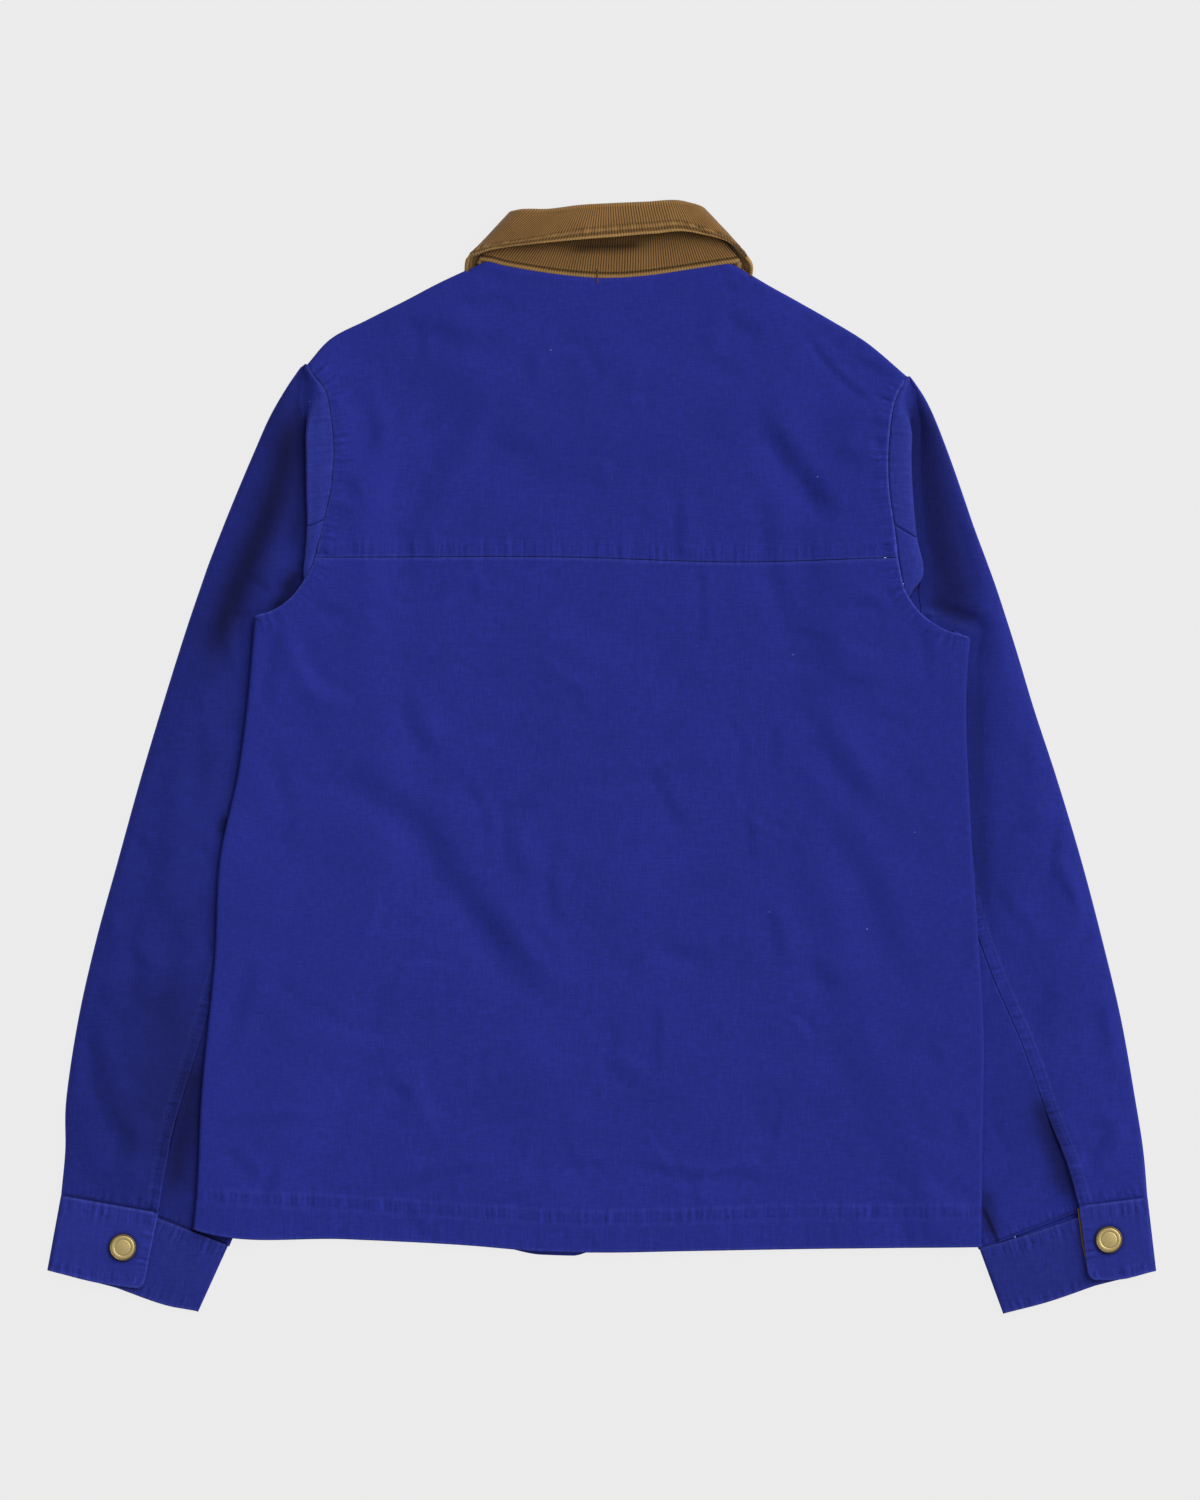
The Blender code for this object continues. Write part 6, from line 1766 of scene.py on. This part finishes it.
# %% The stand
def make_stand(mat):
    """Stand: from the neck seam to just below the roll."""
    lines = collar_lines()
    neck, roll = lines[:, 0:3], lines[:, 3:6]
    shares = steps_along(STAND_HEIGHT, 5.0, 0.0, 3.0, 0.7)
    grid = np.array([neck + (roll - neck) * share for share in shares])
    allowance = (neck - roll) / np.linalg.norm(neck - roll, axis=1)[:, None] * SEAM_ALLOWANCE
    tucked = neck + allowance - [0.0, 0.0, 1.4]
    ribs = np.broadcast_to(ribs_along(neck), grid.shape[:2])
    depth = shares[:, None] * np.linalg.norm(roll - neck, axis=1)[None]
    wear = 0.8 * bell(depth - 0.3, 1.0) + 0.25 * bell(depth - 3.4, 0.8)
    shade = 0.08 + 0.18 * smoothstep((depth - 10) / 14) + 0.8 * bell(depth - 2.7, 0.8)
    shade = 1 - (1 - shade) * (1 - shadows(grid[..., 0], grid[..., 1], STAND_SHADOWS))
    grid = swell(grid[::-1], (0.12 * puckers(ribs * WALE, 81) * bell(depth, 4))[::-1])
    grid = np.concatenate([grid, tucked[None]])
    ribs, wear, shade = (np.concatenate([part[::-1], part[:1]]) for part in (ribs, wear, shade))
    return sheet("collar_stand_cloth", grid, STAND_WALL, mat, wale=ribs, wear=wear, shade=shade)


collar_stand_cloth = make_stand(CORDUROY_BROWN)

# %% The fall
def make_fall(mat):
    """Fall: rolls over the stand's top and comes down outside it to its free edge."""
    lines = collar_lines()
    tangents = np.gradient(lines[:, 3:6], axis=0)
    tangents /= np.linalg.norm(tangents, axis=1, keepdims=True)
    leaf_shares = steps_along(LEAF_LENGTH, 0.0, 5.0, 1.1, 0.6)[1:]
    columns = []
    for row, tangent in zip(lines, tangents):
        neck, roll, edge, turn, radius = row[0:3], row[3:6], row[6:9], math.radians(row[9]), row[10]
        up = roll - neck
        up[2] *= 0.3
        up /= np.linalg.norm(up)
        outward = np.array([-up[1], up[0], 0.0]) * (-1 if roll[0] > 6 else 1)
        outward /= np.linalg.norm(outward)
        normal = math.cos(turn) * np.array([0, 0, 1.0]) + math.sin(turn) * outward
        gap = ROLL_GAP / max(np.linalg.norm(np.cross(tangent, up)), 0.3)
        run = gap + ROLL_RUN
        points = [roll + up * gap, roll + up * run]
        for angle in np.linspace(0, 180, 13)[1:]:
            swing = math.radians(angle)
            points.append(roll + up * (run + radius * math.sin(swing))
                          + normal * radius * (1 - math.cos(swing)))
        top = points[-1]
        bulge = normal * FALL_SWELL * max(0.0, math.cos(turn))
        for share in leaf_shares:
            points.append(top + (edge - top) * share + bulge * math.sin(math.pi * share))
        columns.append(points)
    grid = np.array(columns).swapaxes(0, 1)
    first = grid.shape[0] - len(leaf_shares)
    middle = grid[first + len(leaf_shares) // 2]
    ribs = ribs_along(middle)
    from_edge = np.linalg.norm(grid - grid[-1], axis=2)
    leaf = (np.arange(grid.shape[0]) >= first - 1)[:, None]
    height = 0.45 * smoothstep((FALL_EDGE - from_edge) / 1.0)
    height -= 0.35 * bell(from_edge - FALL_EDGE - 0.6, 0.7)
    height += 0.6 * puckers(ribs[None] * WALE, 91) * bell(from_edge - 5.4, 2.0)
    height -= 0.22 * bell(from_edge - FALL_STITCH, 0.8)
    height += 0.25 * unevenness(grid[..., 0], grid[..., 1], 92, 50.0, 8.0, 0.8)
    grid = swell(grid[::-1], (np.where(leaf, height, 0.0))[::-1])[::-1]
    grid[..., 2] = np.maximum(grid[..., 2], FALL_WALL / 2)
    gathered = puckers(ribs[None] * WALE * 1.6, 93)
    # Paler at the free edge by wear and painted highlight, with a painted highlight on the puckered band
    # before the topstitching, and a little elsewhere.
    wear = np.where(leaf, 0.75 * smoothstep((FALL_EDGE - from_edge) / 1.2)
                    + (0.3 + 0.25 * gathered) * bell(from_edge - 5.2, 1.7), 0.12)
    shade = np.where(leaf, 0.45 * bell(from_edge - FALL_EDGE - 0.6, 0.6)
                     + 0.35 * bell(from_edge - FALL_STITCH, 0.6), 0.0)
    ribs = np.broadcast_to(ribs, grid.shape[:2])
    return sheet("collar_fall_cloth", grid[::-1], FALL_WALL, mat,
                 wale=ribs[::-1], wear=wear[::-1], shade=shade[::-1])


collar_fall_cloth = make_fall(CORDUROY_BROWN)

# %% [markdown]
# ## The snap caps
# A snap cap is a thin brass disc drawn in a press: a domed centre, a shallow ring round it and a
# rim rolled over the back plate. A turned profile gives that, and fine enough to catch the light.

# %% The snap caps
SNAP_SIDES = 72


def cap_height(share):
    """Height of the cap's face, as a share of its whole height, at a share of its radius."""
    dome = 0.88 + 0.08 * math.cos(min(share / 0.56, 1.0) * math.pi / 2)
    ditch = 0.06 * math.exp(-((share - 0.60) / 0.035)**2)
    ring = 0.03 * math.exp(-((share - 0.74) / 0.09)**2)
    return dome - ditch + ring - 0.06 * soft((share - 0.82) / 0.05) * (share < 0.9)


def make_snap(name, place, base_z, mat):
    """A snap cap turned from its profile."""
    profile = [(share, cap_height(share)) for share in np.linspace(0.04, 0.86, 34)]
    rolled = [(0.93 + 0.07 * math.cos(turn), 0.52 + 0.30 * math.sin(turn))
              for turn in np.linspace(2.5, -1.4, 12)]
    profile = profile + rolled + [(0.9, 0.0)]
    points = [(0.0, 0.0, SNAP_HEIGHT * cap_height(0.0))]
    deep = [0.0]
    for share, level in profile:
        for number in range(SNAP_SIDES):
            turn = 2 * math.pi * number / SNAP_SIDES
            points.append((SNAP_RADIUS * share * math.cos(turn), SNAP_RADIUS * share * math.sin(turn),
                           SNAP_HEIGHT * level))
            # Painted shade: darker in the ditch, and a painted shadow along the rolled rim and round its
            # outside.
            ditch = 0.3 * math.exp(-((share - 0.60) / 0.04)**2)
            rim = 0.5 * math.exp(-((share - 0.87) / 0.03)**2)
            deep.append(ditch + rim + (0.85 if share > 0.90 else 0.0))
    faces = [(0, 1 + number, 1 + (number + 1) % SNAP_SIDES) for number in range(SNAP_SIDES)]
    for ring in range(len(profile) - 1):
        first = 1 + ring * SNAP_SIDES
        for number in range(SNAP_SIDES):
            after = (number + 1) % SNAP_SIDES
            faces.append((first + number, first + SNAP_SIDES + number,
                          first + SNAP_SIDES + after, first + after))
    last = 1 + (len(profile) - 1) * SNAP_SIDES
    faces.append(tuple(last + number for number in reversed(range(SNAP_SIDES))))
    return smooth_piece(name, np.array(points) + [*place, base_z], faces, mat, shade=np.clip(deep, 0, 1))


snap_left_cap = make_snap("snap_left_cap", SNAP_LEFT, CUFF_LEFT[0].z + CUFF_WALL / 2 + SEAM_GAP, BRASS)
snap_right_cap = make_snap("snap_right_cap", SNAP_RIGHT, CUFF_RIGHT[0].z + CUFF_WALL / 2 + SEAM_GAP, BRASS)

# %% [markdown]
# ## Stitches
# A lockstitch shows as a row of short dashes, each one thread going down through the cloth and up
# again. They repeat along a seam, so Geometry Nodes lays one small rounded dash after another on a
# line that was dropped onto the cloth, with a little chance in their length. The tree ends in
# Realize Instances, because an export drops instances.

# %% A tree that lays one row
PITCH = 3.4             # real rows have 7 to 8 stitches to the inch
STITCH = 2.7
THREAD = 0.55


def row_tree():
    """Geometry Nodes: a dash for each pitch along the mesh's edges."""
    tree = bpy.data.node_groups.new("row of stitches", "GeometryNodeTree")
    face = tree.interface
    face.new_socket("Rows", in_out="INPUT", socket_type="NodeSocketGeometry")
    sizes = {}
    for label, kind in (("Pitch", "Float"), ("Length", "Float"), ("Width", "Float"), ("Seed", "Int"),
                        ("Thread", "Material")):
        sizes[label] = face.new_socket(label, in_out="INPUT", socket_type="NodeSocket" + kind).identifier
    face.new_socket("Stitches", in_out="OUTPUT", socket_type="NodeSocketGeometry")
    given = add(tree, "NodeGroupInput").outputs
    curve = add(tree, "GeometryNodeMeshToCurve", {"Mesh": given["Rows"]}).outputs[0]
    dots = add(tree, "GeometryNodeResampleCurve", {"Curve": curve, "Length": given["Pitch"]},
               mode="LENGTH").outputs[0]
    ball = add(tree, "GeometryNodeMeshUVSphere", {"Segments": 6, "Rings": 5, "Radius": 0.5}).outputs[0]
    chance = add(tree, "FunctionNodeRandomValue", {2: 0.82, 3: 1.08, "Seed": given["Seed"]},
                 data_type="FLOAT")
    spread = next(s for s in chance.outputs if s.enabled)
    longer = maths(tree, "MULTIPLY", given["Length"], spread)
    flat = maths(tree, "MULTIPLY", given["Width"], 0.8)
    size = add(tree, "ShaderNodeCombineXYZ", {0: longer, 1: given["Width"], 2: flat}).outputs[0]
    way = add(tree, "GeometryNodeInputTangent").outputs[0]
    turn = add(tree, "FunctionNodeAlignRotationToVector", {"Vector": way}, axis="X").outputs[0]
    dashes = add(tree, "GeometryNodeInstanceOnPoints", {
        "Points": dots, "Instance": ball, "Rotation": turn, "Scale": size}).outputs[0]
    real = add(tree, "GeometryNodeRealizeInstances", {0: dashes}).outputs[0]
    smooth = add(tree, "GeometryNodeSetShadeSmooth", {0: real}).outputs[0]
    dyed = add(tree, "GeometryNodeSetMaterial", {0: smooth, "Material": given["Thread"]}).outputs[0]
    add(tree, "NodeGroupOutput", {0: dyed})
    return tree, sizes


ROW_TREE, ROW_SIZES = row_tree()
print("inputs of a row", list(ROW_SIZES))

# %% Rows on the cloth
def drop(piece, line, wall, sink=0.12):
    """Put a line in plan on top of a piece: where a ray from above meets the cloth."""
    steps = max(2, int(length_of(line) / 1.5))
    line = along(line, even(steps + 1))
    verts = [v.co for v in piece.data.vertices]
    tree = BVHTree.FromPolygons(verts, [tuple(p.vertices) for p in piece.data.polygons])
    rows, current = [], []
    for x, y in line:
        hit = tree.ray_cast(Vector((x * MM, y * MM, 0.06)), Vector((0, 0, -1)))[0]
        if hit is None:
            rows.append(current)
            current = []
        else:
            current.append((hit.x, hit.y, hit.z + (wall / 2 - sink) * MM))
    rows.append(current)
    return [row for row in rows if len(row) > 2]


def stitch(name, rows, mat, seed, pitch=PITCH, length=STITCH, width=THREAD):
    """Stitches along lines that lie on the cloth, as one plain mesh."""
    points, edges = [], []
    for row in rows:
        start = len(points)
        points += row
        edges += [(start + i, start + i + 1) for i in range(len(row) - 1)]
    mesh = bpy.data.meshes.new(name + " rows")
    mesh.from_pydata(points, edges, [])
    guide = placed(name + " rows", mesh)
    repeat = guide.modifiers.new("stitches", "NODES")
    repeat.node_group = ROW_TREE
    for label, value in (("Pitch", pitch * MM), ("Length", length * MM), ("Width", width * MM),
                         ("Seed", seed), ("Thread", mat)):
        repeat[ROW_SIZES[label]] = value
    graph = bpy.context.evaluated_depsgraph_get()
    made = bpy.data.meshes.new_from_object(guide.evaluated_get(graph))
    made.name = name
    guide.modifiers.clear()
    bpy.data.objects.remove(guide, do_unlink=True)
    print(name, "rows", len(rows), "triangles", sum(len(p.vertices) - 2 for p in made.polygons))
    return placed(name, made)


print("a stitch is", STITCH, "mm of each", PITCH, "mm")

# %% Which seams are stitched
def shifted(line, left):
    """A line in plan moved to its left."""
    line = along(line, even(80))
    return line + normals_of(line) * left


def across_cuff(stretch, share):
    """The line at a share of a cuff's depth, on one stretch of its table."""
    return pairs(stretch, "top") * (1 - share) + pairs(stretch, "end") * share


def blue_rows():
    """Every row of blue stitches, on the cloth."""
    rows = []
    rows += drop(yoke_cloth, yoke_seam(60, YOKE_BAND - 0.6), CANVAS)
    hem = np.stack([HEM_RIDGE[:, 0], HEM_RIDGE[:, 1] - HEM_STITCH], axis=1)
    rows += drop(back_cloth, hem, CANVAS)
    for cap, armpit, side in ((CAP_LEFT, ARMPIT_LEFT, -1), (CAP_RIGHT, ARMPIT_RIGHT, 1)):
        upper = armhole_line(cap, np.linspace(0.1, 5.7, 40), 0)
        lower = np.concatenate([armhole_line(cap, np.linspace(6.1, 7.0, 12), 0), armpit])
        rows += drop(yoke_cloth, shifted(upper, -side * (ARMHOLE_BAND - 0.6)), CANVAS)
        rows += drop(back_cloth, shifted(lower, -side * (ARMHOLE_BAND - 0.6)), CANVAS)
    for sleeve, piece in ((left_sleeve, upper_left_cloth), (right_sleeve, upper_right_cloth)):
        seam = np.array([sleeve.seam_at(s) for s in np.linspace(8.2, 15.8, 40)])
        rows += drop(piece, seam + [sleeve.side * (SLEEVE_BAND - 0.6), 0.0], CANVAS)
    for table, piece in ((CUFF_LEFT, cuff_left_cloth), (CUFF_RIGHT, cuff_right_cloth)):
        lap, below = table[:3], table[6:9]
        for stretch, shares in ((lap, (0.055, 0.20, 0.945)), (below, (0.055, 0.16, 0.945))):
            for share in shares:
                rows += drop(piece, shorter(across_cuff(stretch, share), 2.5), CUFF_WALL)
        side = np.array([across_cuff(lap, share)[0] for share in (0.055, 0.5, 0.86)])
        way = pairs(lap, "top")[1] - pairs(lap, "top")[0]
        for inset in (3.2, 6.6):
            rows += drop(piece, side + way / np.linalg.norm(way) * inset, CUFF_WALL)
    return rows


def shorter(line, cut):
    """A line without its first and last millimetres."""
    total = length_of(line)
    return along(line, np.linspace(cut / total, 1 - cut / total, 20))


def brown_rows():
    """Every row of brown stitches, on the collar."""
    lines = collar_lines()
    inner = (lines[:, 9] < 120)
    edge = lines[inner, 6:8]
    roll = lines[inner, 3:5]
    way = roll - edge
    way /= np.linalg.norm(way, axis=1, keepdims=True)
    neck = lines[(lines[:, 9] < 60), 0:2]
    up = lines[(lines[:, 9] < 60), 3:5] - neck
    up /= np.linalg.norm(up, axis=1, keepdims=True)
    rows = drop(collar_fall_cloth, edge + way * (FALL_EDGE + 0.6), FALL_WALL)
    rows += drop(collar_fall_cloth, edge + way * FALL_STITCH, FALL_WALL)
    rows += drop(collar_stand_cloth, (neck + up * 2.6)[4:-4], STAND_WALL)
    return rows


def tack_rows():
    """The small bar tack below the middle of the collar."""
    rows = drop(yoke_cloth, in_mm([(597, 279.5), (597, 283)]), CANVAS, 0.0)
    rows += drop(collar_stand_cloth, in_mm([(597, 270), (597, 277)]), STAND_WALL, 0.0)
    return rows


stitches_blue = stitch("stitches_blue", blue_rows(), THREAD_BLUE, 5)
stitches_brown = stitch("stitches_brown", brown_rows(), THREAD_BROWN, 6, pitch=3.0, length=2.3)
bar_tack = stitch("bar_tack", tack_rows(), THREAD_BROWN, 7, pitch=0.7, length=1.0, width=1.6)

# %% [markdown]
# ## What stands for what
# Each sheet replaces its solid and says how large it was cut. Nothing on a laid jacket moves by
# itself, so all of it rides on the one body.

# %% Attaching the pieces
CANVAS_SLOT = "cotton_canvas_blue"
CORDUROY_SLOT = "cotton_corduroy_brown"
SHEETS = [
    (yoke_cloth, "yoke", CANVAS_SLOT, (0.43, 0.24), 0.070, ["back_cloth"]),
    (back_cloth, "back_panel", CANVAS_SLOT, (0.55, 0.46), 0.233,
     ["front_left_cloth", "front_right_cloth", "sleeve_under_left_cloth", "sleeve_under_right_cloth"]),
    (front_left_cloth, "front_left", CANVAS_SLOT, (0.27, 0.60), 0.136, ["front_right_cloth"]),
    (front_right_cloth, "front_right", CANVAS_SLOT, (0.25, 0.60), 0.141, []),
    (upper_left_cloth, "sleeve_upper_left", CANVAS_SLOT, (0.25, 0.57), 0.094, []),
    (upper_right_cloth, "sleeve_upper_right", CANVAS_SLOT, (0.24, 0.56), 0.086, []),
    (under_left_cloth, "sleeve_under_left", CANVAS_SLOT, (0.13, 0.43), 0.040, ["front_left_cloth"]),
    (under_right_cloth, "sleeve_under_right", CANVAS_SLOT, (0.13, 0.43), 0.043, ["front_right_cloth"]),
    (cuff_left_cloth, "cuff_left", CANVAS_SLOT, (0.225, 0.0515), None, []),
    (cuff_right_cloth, "cuff_right", CANVAS_SLOT, (0.21, 0.0515), None, []),
    (facing_cloth, "cuff_facing_right", CORDUROY_SLOT, (0.024, 0.05), None, ["cuff_right_cloth"]),
    (collar_stand_cloth, "collar_stand", CORDUROY_SLOT, (0.40, 0.036), None, ["yoke_cloth"]),
    (collar_fall_cloth, "collar_fall", CORDUROY_SLOT, (0.45, 0.038), None, ["collar_stand_cloth"]),
]


def cloth_area(piece):
    """Area of a sheet's middle surface in square metres."""
    return sum(face.area for face in piece.data.polygons)


for piece, node, slot, flat, area, rests_on in SHEETS:
    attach(piece, "root")
    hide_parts(node)
    print(node, "area", round(cloth_area(piece), 4), "of", round(flat[0] * flat[1], 4))
    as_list(rests_on)
for piece, node in ((snap_left_cap, "snap_left"), (snap_right_cap, "snap_right")):
    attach(piece, "root")
    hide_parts(node)
for piece, slot in ((stitches_blue, CANVAS_SLOT), (stitches_brown, CORDUROY_SLOT),
                    (bar_tack, CORDUROY_SLOT)):
    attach(piece, "root")

# %% [markdown]
# ## Floor, light and camera
# The photograph was taken from straight above on a plain pale ground, with soft light from the
# upper right. One far, broad light there and a bright even sky give the same soft, even shading.

# %% The setting
FLOOR_Z = -0.0003
floor_mesh = bpy.data.meshes.new("floor")
corners = [(x, y, FLOOR_Z) for x, y in ((-3, -3), (3, -3), (3, 3), (-3, 3))]
floor_mesh.from_pydata(corners, [], [(0, 1, 2, 3)])
floor_material, floor_tree, floor_shader = new_material("pale floor", 0.9)
floor_shader.inputs["Base Color"].default_value = (0.02, 0.02, 0.02, 1.0)
floor_shader.inputs["Specular IOR Level"].default_value = 0.0
floor_shader.inputs["Emission Color"].default_value = (*linear("ECECEC"), 1.0)
floor_shader.inputs["Emission Strength"].default_value = 0.97
floor_mesh.materials.append(floor_material)
floor = placed("floor", floor_mesh)

KEY_TURN = math.radians(36)         # from the right, a little from the collar's end
KEY_HEIGHT = math.radians(38)
key = bpy.data.lights.new("key", "SUN")
key.energy = 3.2
key.angle = math.radians(60)        # as broad in the sky as a large softbox close by
key_object = placed("key", key)
key_object.location = (math.cos(KEY_HEIGHT) * math.cos(KEY_TURN), math.cos(KEY_HEIGHT) * math.sin(KEY_TURN),
                       math.sin(KEY_HEIGHT))
key_object.rotation_euler = Vector(key_object.location).to_track_quat("Z", "Y").to_euler()

world = bpy.data.worlds.new("soft sky")
world.use_nodes = True
world.node_tree.nodes["Background"].inputs["Color"].default_value = (1.0, 1.0, 1.0, 1.0)
world.node_tree.nodes["Background"].inputs["Strength"].default_value = 0.45
bpy.context.scene.world = world
bpy.context.scene.view_settings.view_transform = "Standard"

CAMERA_HEIGHT = 11.0                # 1500 px of the photograph are 0.99 m at a 400 mm lens
camera = bpy.data.cameras.new("camera")
camera.lens = 400.0
camera.sensor_width = 36.0
camera_object = placed("camera", camera)
camera_object.location = (-0.0005, 0.005, CAMERA_HEIGHT)
bpy.context.scene.camera = camera_object
